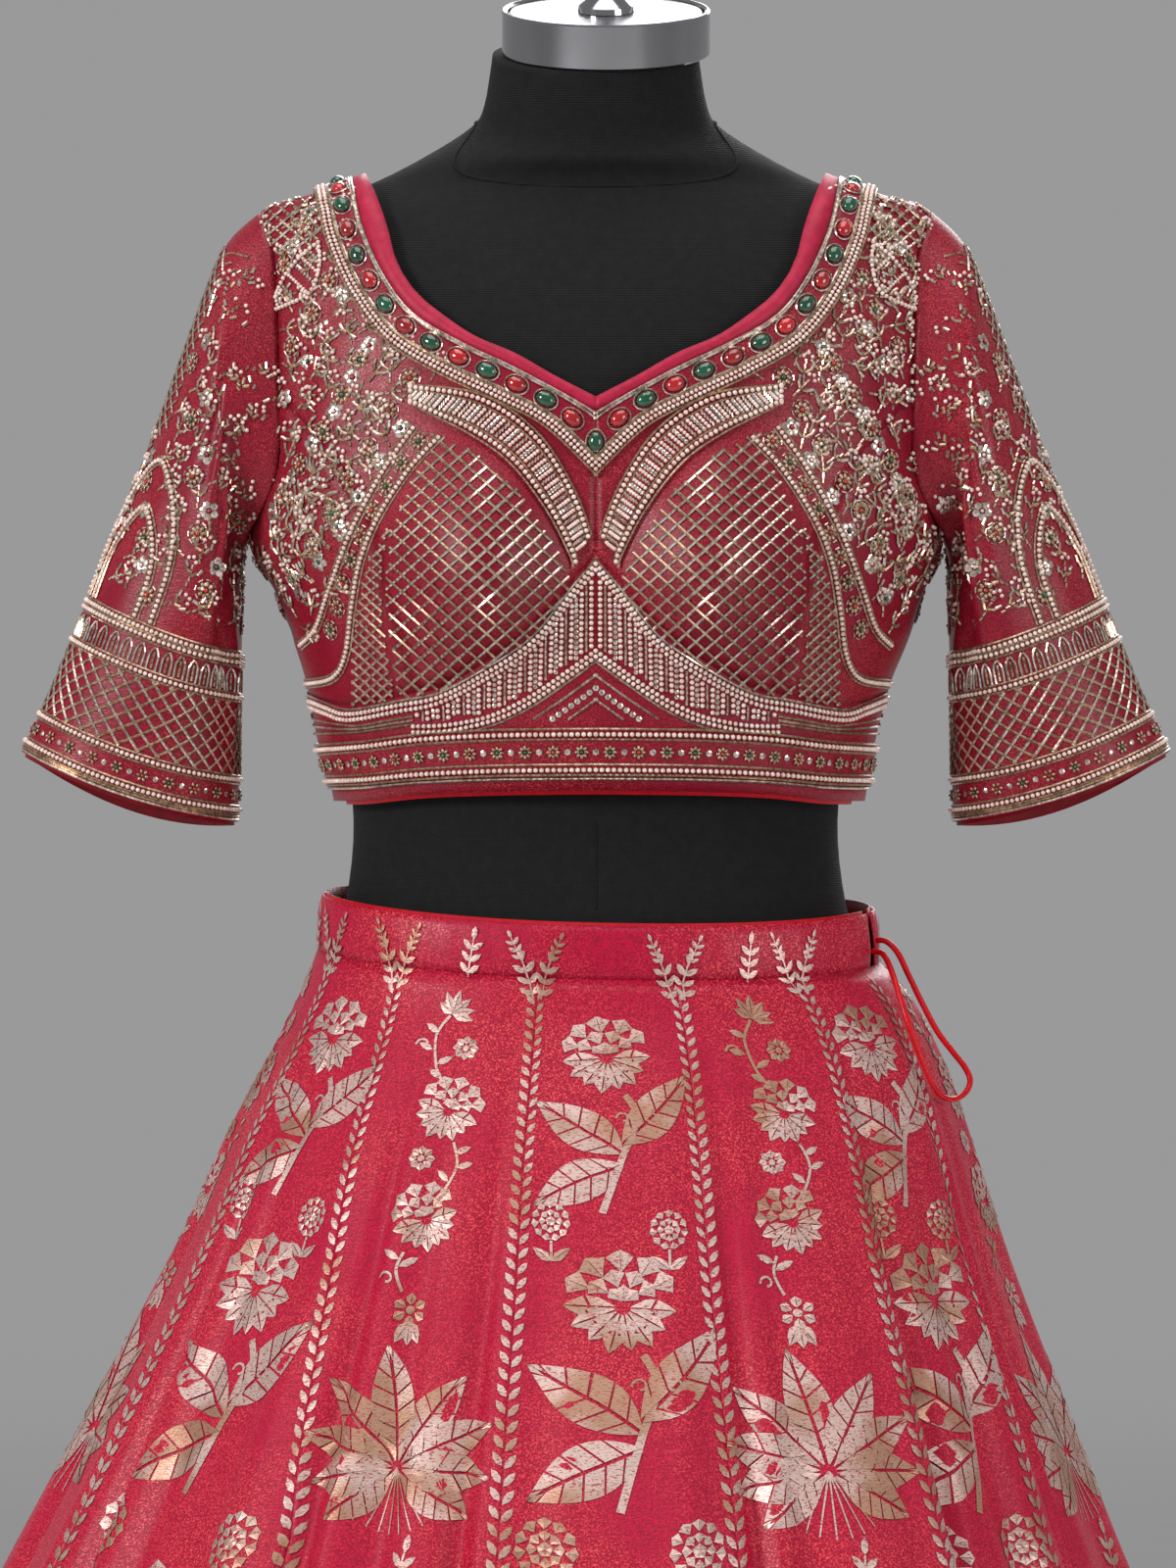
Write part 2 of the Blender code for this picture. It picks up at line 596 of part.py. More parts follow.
def lay_strip(name, first, second, shares, wall, material, collection, crown=None, behind=None):
    """Strip laid on the choli between two lines; crown raises outer points, behind is its back rows."""
    outer, inner = [], []
    for i, (start, end) in enumerate(zip(first, second)):
        row, under = [], []
        lift = TRIM_LIFT
        if behind is not None and i > behind:
            lift += SHOULDER_LIFT * math.sin(math.pi * (i - behind) / BACK_TRIM_CELLS)
        for j, share in enumerate(shares):
            spot = tuple(a + (b - a) * share for a, b in zip(start, end))
            rise = crown(i, j) if crown else 0.0
            row.append(choli_point(spot, lift + wall + rise))
            if not crown or j in (0, len(shares) - 1):
                under.append(choli_point(spot, lift))
        outer.append(row)
        inner.append(under)
    trim_edges(outer, "bottom top")
    trim_edges(inner, "bottom top")
    return make_wall(name, outer, inner, material, collection)


def ridge_height(x, side):
    """Height of the shoulder's ridge at a distance out from the middle."""
    low, high = SHOULDER_TIP, CHOLI_ROWS[-1].height
    for _ in range(HALVINGS):
        middle = (low + high) / 2
        if choli_side(side, middle) > x:
            low = middle
        else:
            high = middle
    return low


def beside(points, distance, first, side):
    """Line a distance outside a line of the view, from its first height to the shoulder's ridge."""
    view = [(0.0, first)]
    for before, (x, z), after in zip(points, points[1:], points[2:]):
        across, up = after[0] - before[0], after[1] - before[1]
        step = distance / math.hypot(across, up)
        view.append((x + step * up, z - step * across))
    ridge = points[-1][0] + distance
    return view + [(ridge, ridge_height(ridge, side))]


def round_neck(distance, front_first, cells, side):
    """Line round half the neck at a distance outside the stone row, by the front to the back."""
    behind = distance + STONE_LINE[-1][0] - BACK_NECK[-1][0]
    front = front_line(beside(STONE_LINE, distance, front_first, side), cells, side)
    back = back_line(beside(BACK_NECK, behind, BACK_NECK[0][1] - behind, side), BACK_TRIM_CELLS, side)
    return front + back[::-1][1:]


def make_neck_trim(word, side, lines, facing_material, border_material, collection):
    edge = (even_steps(lines["neck"], FACING_CELLS, choli_point)
            + even_steps(lines["neck_back"][::-1], BACK_TRIM_CELLS, choli_point)[1:])
    seam = round_neck(-FACING_INNER, FACING_POINT, FACING_CELLS, side)
    lay_strip(f"neck_facing_{word}", edge, seam, (0.0, 1.0), TRIM_WALL,
              facing_material, collection, behind=FACING_CELLS)

    stones = front_line(beside(STONE_LINE, 0.0, STONE_LINE[0][1], side), STONE_CELLS, side)
    length = sum((choli_point(b) - choli_point(a)).length for a, b in zip(stones, stones[1:]))
    front_cells = round(length / STONE_PITCH) * STONE_CELLS
    inner_line = round_neck(-BORDER_INNER, BORDER_POINT_INNER, front_cells, side)
    outer_line = round_neck(BORDER_OUTER, BORDER_POINT_OUTER, front_cells, side)

    def rise(i, j):
        """Height of an oval stone over the border, on the front rows only."""
        phase = i % STONE_CELLS
        if j != STONE_COLUMN or i > front_cells or phase == STONE_CELLS // 2:
            return 0.0
        return STONE_HEIGHT * (1.0 if phase == 0 else STONE_SHOULDER)

    lay_strip(f"neck_border_{word}", inner_line, outer_line, BORDER_COLUMNS, TRIM_WALL,
              border_material, collection, rise, front_cells)


def make_arch(word, side, material, collection):
    upper = front_line(ARCH_UPPER, ARCH_CELLS, side)
    lower = front_line(ARCH_LOWER, ARCH_CELLS, side)
    lay_strip(f"pearl_arch_{word}", upper, lower, HALVES, TRIM_WALL, material, collection)


def make_hem_band(left, right, material, collection):
    top = front_line(BAND_TOP, BAND_CELLS, -1)[::-1] + front_line(BAND_TOP, BAND_CELLS, 1)[1:]
    low = front_line(BAND_BOTTOM, BAND_CELLS, -1)[::-1] + front_line(BAND_BOTTOM, BAND_CELLS, 1)[1:]
    lay_strip("hem_band_front", low, top, HALVES, TRIM_WALL, material, collection)
    for word, side in (("left", -1), ("right", 1)):
        low_back = straight_line((side * SIDE_ANGLE, BAND_BOTTOM[-1][1]),
                                 (side * BACK_ANGLE, HEM_BACK + BAND_BACK_LOW), BAND_CELLS)
        top_back = straight_line((side * SIDE_ANGLE, BAND_TOP[-1][1]),
                                 (side * BACK_ANGLE, HEM_BACK + BAND_BACK_HIGH), BAND_CELLS)
        lay_strip(f"hem_band_back_{word}", low_back, top_back, HALVES, TRIM_WALL,
                  material, collection)


# Sleeves

def sleeve_ring(row, side, cuff):
    """One ring of the sleeve: from the underarm by the front to the top and round the back."""
    front_cells = CELLS_ARMHOLE_LOWER + CELLS_ARMHOLE_UPPER
    middle = Vector((row.top_x + row.under_x, 0.0, row.top_z + row.under_z)) / 2
    reach = Vector((row.top_x - row.under_x, 0.0, row.top_z - row.under_z)) / 2
    ring = []
    for k in range(front_cells + CELLS_ARMHOLE_BACK):
        if k <= front_cells:
            turn = math.pi * (1 - k / front_cells)
            to_front = -1.0
        else:
            turn = math.pi * (k - front_cells) / CELLS_ARMHOLE_BACK
            to_front = 1.0
        point = middle + reach * math.cos(turn)
        point.y = to_front * row.depth * math.sin(turn)
        dip = CUFF_DIP_FRONT if to_front < 0 else CUFF_DIP_BACK
        point.z -= cuff * dip * math.sin(turn) ** 2
        point.x *= side
        ring.append(point)
    return ring


def fold_offset(row_at, round_at, count):
    offset = 0.0
    for fold in SLEEVE_FOLDS:
        apart = abs(round_at - fold.round_at)
        apart = min(apart, count - apart) / fold.half_round
        away = abs(row_at - fold.row_at) / fold.half_rows
        if apart < 1.0 and away < 1.0:
            offset += fold.depth * math.cos(apart * math.pi / 2) ** 2 * math.cos(away * math.pi / 2) ** 2
    return offset


def grid_normals(grid, side):
    """Outward normals of a ring grid, from the points around each one."""
    normals = []
    rows, columns = len(grid), len(grid[0])
    for i in range(rows):
        line = []
        for j in range(columns):
            down = grid[min(i + 1, rows - 1)][j] - grid[max(i - 1, 0)][j]
            around = grid[i][(j + 1) % columns] - grid[i][j - 1]
            line.append(down.cross(around).normalized() * side)
        normals.append(line)
    return normals


def make_sleeve(word, side, lines, material, lining_material, collection):
    armhole = (lines["armhole_lower"][::-1] + lines["armhole_upper"][1:]
               + lines["armhole_back"][::-1][1:-1])
    rings = [[choli_point(spot) + Vector((side * SLEEVE_SEAM, 0.0, 0.0)) for spot in armhole]]
    count = len(armhole)
    last = len(SLEEVE_ROWS) - 1
    for i, row in enumerate(SLEEVE_ROWS):
        rings.append(sleeve_ring(row, side, i / last))
    normals = grid_normals(rings, side)
    for i, ring in enumerate(rings):
        for j in range(count):
            ring[j] = ring[j] + normals[i][j] * fold_offset(i, j, count)
    normals = grid_normals(rings, side)
    inner = [[point - normal * CLOTH_WALL for point, normal in zip(ring, line)]
             for ring, line in zip(rings, normals)]
    make_wall(f"sleeve_{word}", rings, inner, material, collection, ring=True)

    cuff, above = rings[-1], rings[-2]
    share = CUFF_LINING_TALL / (above[0] - cuff[0]).length
    lining_out, lining_in = [], []
    for part in (share, CUFF_LINING_EDGE):
        skin, core = [], []
        for j in range(count):
            point = cuff[j].lerp(above[j], part)
            normal = normals[-1][j].lerp(normals[-2][j], part).normalized()
            skin.append(point - normal * (CLOTH_WALL + LINING_GAP))
            core.append(point - normal * (CLOTH_WALL + LINING_GAP + LINING_WALL))
        lining_out.append(skin)
        lining_in.append(core)
    make_wall(f"cuff_lining_{word}", lining_out, lining_in, lining_material, collection, ring=True)


# Skirt

def seam_height(angle):
    """Height of the band's lower seam, which dips at the front."""
    front_back = (SEAM_HEIGHT_FRONT - SEAM_HEIGHT_BACK) / 2 * math.cos(angle)
    right_left = (SEAM_HEIGHT_RIGHT - SEAM_HEIGHT_LEFT) / 2 * math.sin(angle)
    middle = (SEAM_HEIGHT_FRONT + SEAM_HEIGHT_BACK) / 2
    across = (SEAM_HEIGHT_RIGHT + SEAM_HEIGHT_LEFT) / 2 - middle
    return middle + front_back + right_left + across * math.sin(angle) ** 2


def fold_rise(angle, fall):
    """Sum of the skirt's folds at an angle, with fall going from 0 at the band to 1 at the hem."""
    rise = 0.0
    for fold in SKIRT_FOLDS:
        centre = math.radians(fold.at_waist + (fold.at_hem - fold.at_waist) * fall)
        apart = math.remainder(angle - centre, 2 * math.pi) / math.radians(fold.half_width)
        if abs(apart) < 1.0:
            rise += fold.depth * math.cos(apart * math.pi / 2) ** 2
    return rise * fall ** FOLD_GROWTH


def skirt_face(angle, fall):
    """Point of the skirt's outer face; fall is 0 at the band's seam and 1 at the hem."""
    top = seam_height(angle)
    drop = fall * (top - HEM_HEIGHT)
    side = read_row(SKIRT_ROWS, drop, "drop", "right" if math.sin(angle) >= 0 else "left")
    depth = read_row(SKIRT_ROWS, drop, "drop", "front" if math.cos(angle) >= 0 else "back")
    power = 2.0 / (ROUNDNESS + (HEM_ROUNDNESS - ROUNDNESS) * min(fall * 2.0, 1.0))
    rise = fold_rise(angle, fall)
    x = side * rounded(math.sin(angle), power) + rise * math.sin(angle)
    y = -depth * rounded(math.cos(angle), power) - rise * math.cos(angle)
    return Vector((x, y, top - drop))


def skirt_point(spot, lift=0.0):
    angle, fall = spot
    point = skirt_face(angle, fall)
    if not lift:
        return point
    turn, move = 0.004, 0.0008
    sideways = skirt_face(angle + turn, fall) - skirt_face(angle - turn, fall)
    downwards = skirt_face(angle, fall + move) - skirt_face(angle, max(fall - move, 0.0))
    return point + downwards.cross(sideways).normalized() * lift


def seam_angle(seam, fall):
    share = min(fall / SEAM_SETTLES, 1.0)
    return math.radians(seam.at_waist + (seam.at_hem - seam.at_waist) * share)


def make_kalis(material, collection):
    for number, (first, second) in enumerate(zip(KALI_SEAMS, KALI_SEAMS[1:]), start=1):
        spots = []
        for i in range(SKIRT_ROW_CELLS + 1):
            fall = (i / SKIRT_ROW_CELLS) ** ROW_SPREAD
            start, end = seam_angle(first, fall), seam_angle(second, fall)
            spots.append([(start + (end - start) * j / KALI_CELLS, fall) for j in range(KALI_CELLS + 1)])
        outer = trim_edges([[skirt_point(spot) for spot in row] for row in spots], "bottom left right")
        inner = trim_edges([[skirt_point(spot, -SKIRT_WALL) for spot in row] for row in spots],
                           "bottom left right")
        make_wall(f"kali_{number:02d}", outer, inner, material, collection)


def band_point(angle, up, lift):
    """Point of the waistband casing, up going from 0 at its seam to 1 at its top edge."""
    foot = skirt_face(angle, 0.0)
    outward = Vector((math.sin(angle), -math.cos(angle), 0.0))
    return foot + Vector((0.0, 0.0, BAND_TALL * up)) + outward * (lift - BAND_LEAN * up)


def make_waistband(material, lining_material, collection):
    opening = math.radians(OPENING_AT)
    halves = (("front", -SIDE_ANGLE, opening, BAND_FRONT_CELLS),
              ("back", -SIDE_ANGLE, opening - 2 * math.pi, BAND_BACK_CELLS))
    for word, start, end, cells in halves:
        angles = [start + (end - start) * k / cells for k in range(cells + 1)]
        gap = SEAM_GAP * 2
        trims = math.copysign(gap / WAIST_RADIUS, end - start)
        angles[0] += trims
        angles[-1] -= trims * (OPENING_OVERLAP / gap)
        grids = []
        for lift in (0.0, -CLOTH_WALL):
            grids.append([[band_point(angle, up, lift) for angle in angles] for up in HALVES])
        make_wall(f"waistband_{word}", grids[0], grids[1], material, collection)
        lining = []
        for lift in (-CLOTH_WALL - LINING_GAP, -CLOTH_WALL - LINING_GAP - LINING_WALL):
            lining.append([[band_point(angle, up, lift) for angle in angles] for up in BAND_LINING_ROWS])
        make_wall(f"waistband_lining_{word}", lining[0], lining[1], lining_material, collection)


def make_drawstring(material, collection):
    dense = smooth_line(CORD_ROUTE)
    length = sum((Vector(b) - Vector(a)).length for a, b in zip(dense, dense[1:]))
    points = even_steps(dense, round(length / CORD_STEP), Vector)
    curve = bpy.data.curves.new("drawstring", "CURVE")
    curve.dimensions = "3D"
    curve.bevel_depth = CORD_RADIUS
    curve.bevel_resolution = 2
    curve.use_fill_caps = True
    spline = curve.splines.new("POLY")
    spline.points.add(len(points) - 1)
    for knot, point in zip(spline.points, points):
        knot.co = (*point, 1.0)
    thing = bpy.data.objects.new("drawstring", curve)
    curve.materials.append(material)
    collection.objects.link(thing)


# Dress form and stand

def form_ring(height, side, front, back, forward=0.0, lean=0.0, bust=0.0):
    ring = []
    power = 2.0 / ROUNDNESS
    tilt = math.radians(lean)
    for k in range(FORM_CELLS):
        angle = 2 * math.pi * k / FORM_CELLS
        x = side * rounded(math.sin(angle), power)
        depth = front if math.cos(angle) >= 0 else back
        y = -depth * rounded(math.cos(angle), power)
        point = Vector((x, y * math.cos(tilt) - forward, height + y * math.sin(tilt)))
        if math.cos(angle) >= 0:
            point.y -= cup_swell(x, height, bust)
        ring.append(point)
    return ring


def make_form(material, collection):
    rings = [form_ring(row.height, row.side, row.front, row.back) for row in HIP_ROWS]
    for row in EASE_ROWS:
        inset = CLOTH_WALL + row.ease
        widths = [read_row(CHOLI_ROWS, row.height, "height", word) - inset for word in ("left", "right")]
        front = read_row(CHOLI_ROWS, row.height, "height", "front") - inset
        back = read_row(CHOLI_ROWS, row.height, "height", "back") - inset
        rings.append(form_ring(row.height, min(widths), front, back, bust=BUST_HEIGHT))
    rings += [form_ring(row.height, row.side, row.front, row.back) for row in SHOULDER_ROWS]
    rings += [form_ring(row.height, row.side, row.depth, row.depth, row.forward, row.lean)
              for row in NECK_ROWS]
    body = bmesh.new()
    grid = [[body.verts.new(point) for point in ring] for ring in rings]
    for low, high in zip(grid, grid[1:]):
        for k in range(FORM_CELLS):
            after = (k + 1) % FORM_CELLS
            body.faces.new((low[k], low[after], high[after], high[k]))
    body.faces.new(grid[0][::-1])
    body.faces.new(grid[-1])
    bmesh.ops.recalc_face_normals(body, faces=body.faces)
    mesh = bpy.data.meshes.new("form_body")
    body.to_mesh(mesh)
    body.free()
    add_object("form_body", mesh, material, collection)


def make_turned(name, profile, material, collection, place, lean=0.0, segments=ROUND_SEGMENTS):
    """Turned piece: a profile of radius and height pairs, from its top down, spun with Screw."""
    shape = bmesh.new()
    knots = [shape.verts.new((radius, 0.0, height)) for radius, height in profile]
    closed = profile[0][0] > 0.0
    ends = list(zip(knots, knots[1:])) + ([(knots[-1], knots[0])] if closed else [])
    for first, second in ends:
        shape.edges.new((first, second))
    mesh = bpy.data.meshes.new(name)
    shape.to_mesh(mesh)
    shape.free()
    thing = add_object(name, mesh, material, collection)
    thing.location = place
    thing.rotation_euler = (lean, 0.0, 0.0)
    screw = thing.modifiers.new("turn", "SCREW")
    screw.steps = segments
    screw.render_steps = segments
    screw.use_merge_vertices = True
    screw.merge_threshold = 0.0001
    return thing


def make_neck_cap(metal, cap_material, collection):
    top, inside = RING_TALL, RING_RADIUS - RING_WALL
    soft = RING_RADIUS - RING_EDGE
    ring_profile = ((soft, top), (RING_RADIUS, top - RING_EDGE), (RING_RADIUS, RING_EDGE),
                    (soft, 0.0), (inside, 0.0), (inside, top))
    make_turned("neck_ring", ring_profile, metal, collection, RING_BASE, NECK_LEAN)
    up = Vector((0.0, -math.sin(NECK_LEAN), math.cos(NECK_LEAN)))
    cap_low = RING_TALL - CAP_TALL - CAP_SUNK
    cap_profile = ((0.0, CAP_TALL), (CAP_RADIUS - CAP_EDGE, CAP_TALL),
                   (CAP_RADIUS, CAP_TALL - CAP_EDGE), (CAP_RADIUS, 0.0), (0.0, 0.0))
    make_turned("neck_cap", cap_profile, cap_material, collection, RING_BASE + up * cap_low, NECK_LEAN)
    finial_foot = RING_BASE + up * (cap_low + CAP_TALL + SEAM_GAP)
    make_turned("finial", FINIAL_PROFILE, metal, collection, finial_foot, NECK_LEAN,
                FINIAL_SEGMENTS)


def make_stand(metal, base_material, collection):
    torso_bottom = HIP_ROWS[0].height
    bpy.ops.mesh.primitive_cylinder_add(vertices=ROUND_SEGMENTS, radius=BASE_RADIUS, depth=BASE_TALL,
                                        location=(0.0, 0.0, BASE_TALL / 2))
    base = bpy.context.object
    soften = base.modifiers.new("rim", "BEVEL")
    soften.width = BASE_BEVEL
    soften.segments = 2
    soften.limit_method = "ANGLE"
    pole_low, pole_high = BASE_TALL + SEAM_GAP, torso_bottom - SEAM_GAP
    bpy.ops.mesh.primitive_cylinder_add(vertices=ROUND_SEGMENTS, radius=POLE_RADIUS,
                                        depth=pole_high - pole_low,
                                        location=(0.0, 0.0, (pole_low + pole_high) / 2))
    pole = bpy.context.object
    for name, thing, material in (("stand_base", base, base_material), ("stand_pole", pole, metal)):
        thing.name = name
        thing.data.name = name
        thing.data.materials.append(material)
        for owner in list(thing.users_collection):
            owner.objects.unlink(thing)
        collection.objects.link(thing)
        thing.data.shade_smooth()
        thing.data.set_sharp_from_angle(angle=math.radians(40))
    inner, low = POLE_RADIUS + SEAM_GAP, pole_low
    profile = [(inner, low + COLLAR_TALL)]
    profile += [(knot.radius, low + knot.height) for knot in COLLAR_PROFILE]
    profile += [(inner, low)]
    make_turned("stand_collar", profile, metal, collection, Vector((0.0, 0.0, 0.0)))


def main():
    clear_scene()
    collection = bpy.data.collections.new("lehenga_choli")
    bpy.context.scene.collection.children.link(collection)
    tissue = make_material("choli_tissue", (0.46, 0.02, 0.07), 0.55)
    brocade = make_material("lehenga_brocade", (0.52, 0.04, 0.10), 0.45)
    beading = make_material("pearl_beading", (0.62, 0.45, 0.38), 0.4)
    facing = make_material("plain_facing", (0.60, 0.03, 0.10), 0.55)
    lining = make_material("red_lining", (0.65, 0.01, 0.03), 0.5)
    satin = make_material("satin_cord", (0.70, 0.01, 0.02), 0.35)
    jersey = make_material("black_jersey", (0.01, 0.01, 0.012), 0.8)
    chrome = make_material("polished_chrome", (0.75, 0.75, 0.77), 0.12, 1.0)
    cap_metal = make_material("cap_metal", (0.55, 0.55, 0.56), 0.3, 1.0)
    base_paint = make_material("base_paint", (0.03, 0.03, 0.03), 0.4)

    halves = {"left": side_lines(-1), "right": side_lines(1)}
    for word, side in (("left", -1), ("right", 1)):
        lines = halves[word]
        make_bodice_half(word, side, lines, tissue, collection)
        make_neck_trim(word, side, lines, facing, beading, collection)
        make_arch(word, side, beading, collection)
        make_sleeve(word, side, lines, tissue, lining, collection)
    make_midriff(halves["left"], halves["right"], tissue, lining, collection)
    make_hem_band(halves["left"], halves["right"], beading, collection)
    make_kalis(brocade, collection)
    make_waistband(brocade, lining, collection)
    make_drawstring(satin, collection)
    make_form(jersey, collection)
    make_neck_cap(chrome, cap_metal, collection)
    make_stand(chrome, base_paint, collection)


main()
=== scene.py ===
"""Looks of the lehenga choli on its limbless dress form, in metres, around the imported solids."""
import math
import random
from collections import namedtuple

import bmesh
import bpy
import numpy as np
from mathutils import Matrix, Vector


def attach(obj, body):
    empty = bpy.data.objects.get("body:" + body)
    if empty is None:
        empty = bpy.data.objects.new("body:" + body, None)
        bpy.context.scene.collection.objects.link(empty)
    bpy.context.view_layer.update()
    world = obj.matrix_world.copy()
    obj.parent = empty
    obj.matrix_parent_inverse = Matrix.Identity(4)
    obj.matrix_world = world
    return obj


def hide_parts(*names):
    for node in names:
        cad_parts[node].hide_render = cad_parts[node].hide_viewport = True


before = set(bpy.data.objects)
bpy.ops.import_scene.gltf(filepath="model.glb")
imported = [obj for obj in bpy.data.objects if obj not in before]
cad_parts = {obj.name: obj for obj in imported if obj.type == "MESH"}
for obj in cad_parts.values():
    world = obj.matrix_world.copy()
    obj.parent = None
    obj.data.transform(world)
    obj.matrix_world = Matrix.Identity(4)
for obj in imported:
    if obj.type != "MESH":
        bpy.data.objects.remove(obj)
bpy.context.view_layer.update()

random.seed(11)
scene = bpy.context.scene

ROUNDNESS = 2.2
HEM_ROUNDNESS = 2.0
SIDE_ANGLE = math.pi / 2
BACK_ANGLE = math.pi

# Choli, outer face: half widths and depths of the worn blouse at each height
TorsoRow = namedtuple("TorsoRow", "height left right front back")
CHOLI_ROWS = (
    TorsoRow(1.080, 0.1370, 0.1400, 0.1040, 0.0900),
    TorsoRow(1.100, 0.1395, 0.1435, 0.1060, 0.0930),
    TorsoRow(1.126, 0.1470, 0.1480, 0.1100, 0.0960),
    TorsoRow(1.157, 0.1530, 0.1560, 0.1120, 0.1000),
    TorsoRow(1.183, 0.1610, 0.1665, 0.1140, 0.1035),
    TorsoRow(1.205, 0.1690, 0.1735, 0.1160, 0.1060),
    TorsoRow(1.235, 0.1840, 0.1845, 0.1170, 0.1090),
    TorsoRow(1.280, 0.1840, 0.1845, 0.1140, 0.1120),
    TorsoRow(1.320, 0.1825, 0.1830, 0.1070, 0.1110),
    TorsoRow(1.360, 0.1815, 0.1820, 0.0950, 0.1040),
    TorsoRow(1.385, 0.1815, 0.1820, 0.0830, 0.0940),
    TorsoRow(1.400, 0.1810, 0.1815, 0.0730, 0.0840),
    TorsoRow(1.408, 0.1780, 0.1785, 0.0660, 0.0770),
    TorsoRow(1.418, 0.1500, 0.1500, 0.0610, 0.0710),
    TorsoRow(1.4276, 0.1215, 0.1215, 0.0570, 0.0660),
    TorsoRow(1.440, 0.0950, 0.0950, 0.0540, 0.0620),
)
CUP_X = 0.0640
CUP_Z = 1.2080
CUP_HALF_WIDTH = 0.0620
CUP_ABOVE = 0.0920
CUP_BELOW = 0.0610
CUP_HEIGHT = 0.0300

# Front-view lines of the choli's right half, x outward and z up, mirrored for the left half
NECK_EDGE = ((0.0, 1.3047), (0.0213, 1.3158), (0.0416, 1.3275), (0.0620, 1.3365), (0.0773, 1.3468),
             (0.0928, 1.3600), (0.1034, 1.3765), (0.1088, 1.3960), (0.1148, 1.4130), (0.1215, 1.4276))
CENTRE_SEAM = ((0.0, 1.2233), (0.0, 1.3047))
UNDERBUST_INNER = ((0.0, 1.2233), (0.0131, 1.2082), (0.0328, 1.1840), (0.0580, 1.1667),
                   (0.0808, 1.1547), (0.0932, 1.1525))
UNDERBUST_OUTER = ((0.0932, 1.1525), (0.1100, 1.1490), (0.1278, 1.1465), (0.1420, 1.1480), (1.0, 1.1530))
PRINCESS_SEAM = ((0.0932, 1.1525), (0.1012, 1.1800), (0.1100, 1.2043), (0.1150, 1.2343),
                 (0.1330, 1.2700), (0.1655, 1.3060))
ARMHOLE_UPPER = ((0.1655, 1.3060), (0.1660, 1.3370), (0.1675, 1.3660), (0.1700, 1.3870), (1.0, 1.4080))
ARMHOLE_LOWER = ((0.1655, 1.3060), (0.1665, 1.2750), (0.1735, 1.2510), (1.0, 1.2350))
SHOULDER_TIP = 1.4080
SHOULDER_NECK = 1.4276
ARMPIT = 1.2350
SIDE_JOIN = 1.1530
HEM_FRONT = ((0.0, 1.1015), (0.0500, 1.1010), (0.0900, 1.0995), (0.1200, 1.0965), (1.0, 1.0960))
HEM_SIDE = 1.0960
HEM_BACK = 1.1020
HEM_DIP_AT = math.radians(130.0)
HEM_DIP = 0.0030
BACK_NECK = ((0.0, 1.3500), (0.0500, 1.3525), (0.0860, 1.3640), (0.1090, 1.3850), (0.1180, 1.4070),
             (0.1215, 1.4276))

STONE_LINE = ((0.0, 1.2810), (0.0187, 1.2987), (0.0452, 1.3131), (0.0731, 1.3267), (0.0993, 1.3430),
              (0.1168, 1.3661), (0.1282, 1.3914), (0.1330, 1.4100), (0.1362, 1.4228))
ARCH_UPPER = ((0.0030, 1.2340), (0.0115, 1.2560), (0.0299, 1.2850), (0.0583, 1.3050), (0.0953, 1.3110))
ARCH_LOWER = ((0.0122, 1.2180), (0.0142, 1.2240), (0.0259, 1.2460), (0.0441, 1.2700), (0.0653, 1.2860),
              (0.0953, 1.3020))
BAND_TOP = ((0.0, 1.1325), (0.0500, 1.1320), (0.0900, 1.1300), (0.1200, 1.1265), (1.0, 1.1250))
BAND_BOTTOM = ((0.0, 1.1080), (0.0500, 1.1075), (0.0900, 1.1060), (0.1200, 1.1035), (1.0, 1.1030))
# Sleeve: its upper and under lines in front view, and its half depth, from armhole to cuff
SleeveRow = namedtuple("SleeveRow", "top_x top_z under_x under_z depth")
SLEEVE_ROWS = (
    SleeveRow(0.1950, 1.3920, 0.1875, 1.2230, 0.0580),
    SleeveRow(0.2060, 1.3670, 0.1880, 1.2060, 0.0600),
    SleeveRow(0.2185, 1.3330, 0.1882, 1.1870, 0.0580),
    SleeveRow(0.2325, 1.2945, 0.1884, 1.1680, 0.0550),
    SleeveRow(0.2455, 1.2610, 0.1886, 1.1510, 0.0520),
    SleeveRow(0.2585, 1.2300, 0.1888, 1.1350, 0.0490),
    SleeveRow(0.2730, 1.1930, 0.1890, 1.1180, 0.0460),
    SleeveRow(0.2885, 1.1550, 0.1893, 1.1010, 0.0430),
    SleeveRow(0.3045, 1.1225, 0.1896, 1.0850, 0.0400),
)
SleeveFold = namedtuple("SleeveFold", "round_at row_at half_round half_rows depth")
SLEEVE_FOLDS = (
    SleeveFold(2.0, 2.0, 1.2, 2.6, -0.0050),
    SleeveFold(4.2, 3.5, 1.2, 3.0, 0.0035),
    SleeveFold(6.6, 5.0, 1.3, 3.2, -0.0030),
    SleeveFold(14.0, 3.5, 1.4, 3.4, -0.0040),
    SleeveFold(17.5, 3.0, 1.4, 2.8, 0.0035),
)
SLEEVE_SEAM = 0.0010
CUFF_DIP_FRONT = 0.0060
CUFF_DIP_BACK = 0.0120
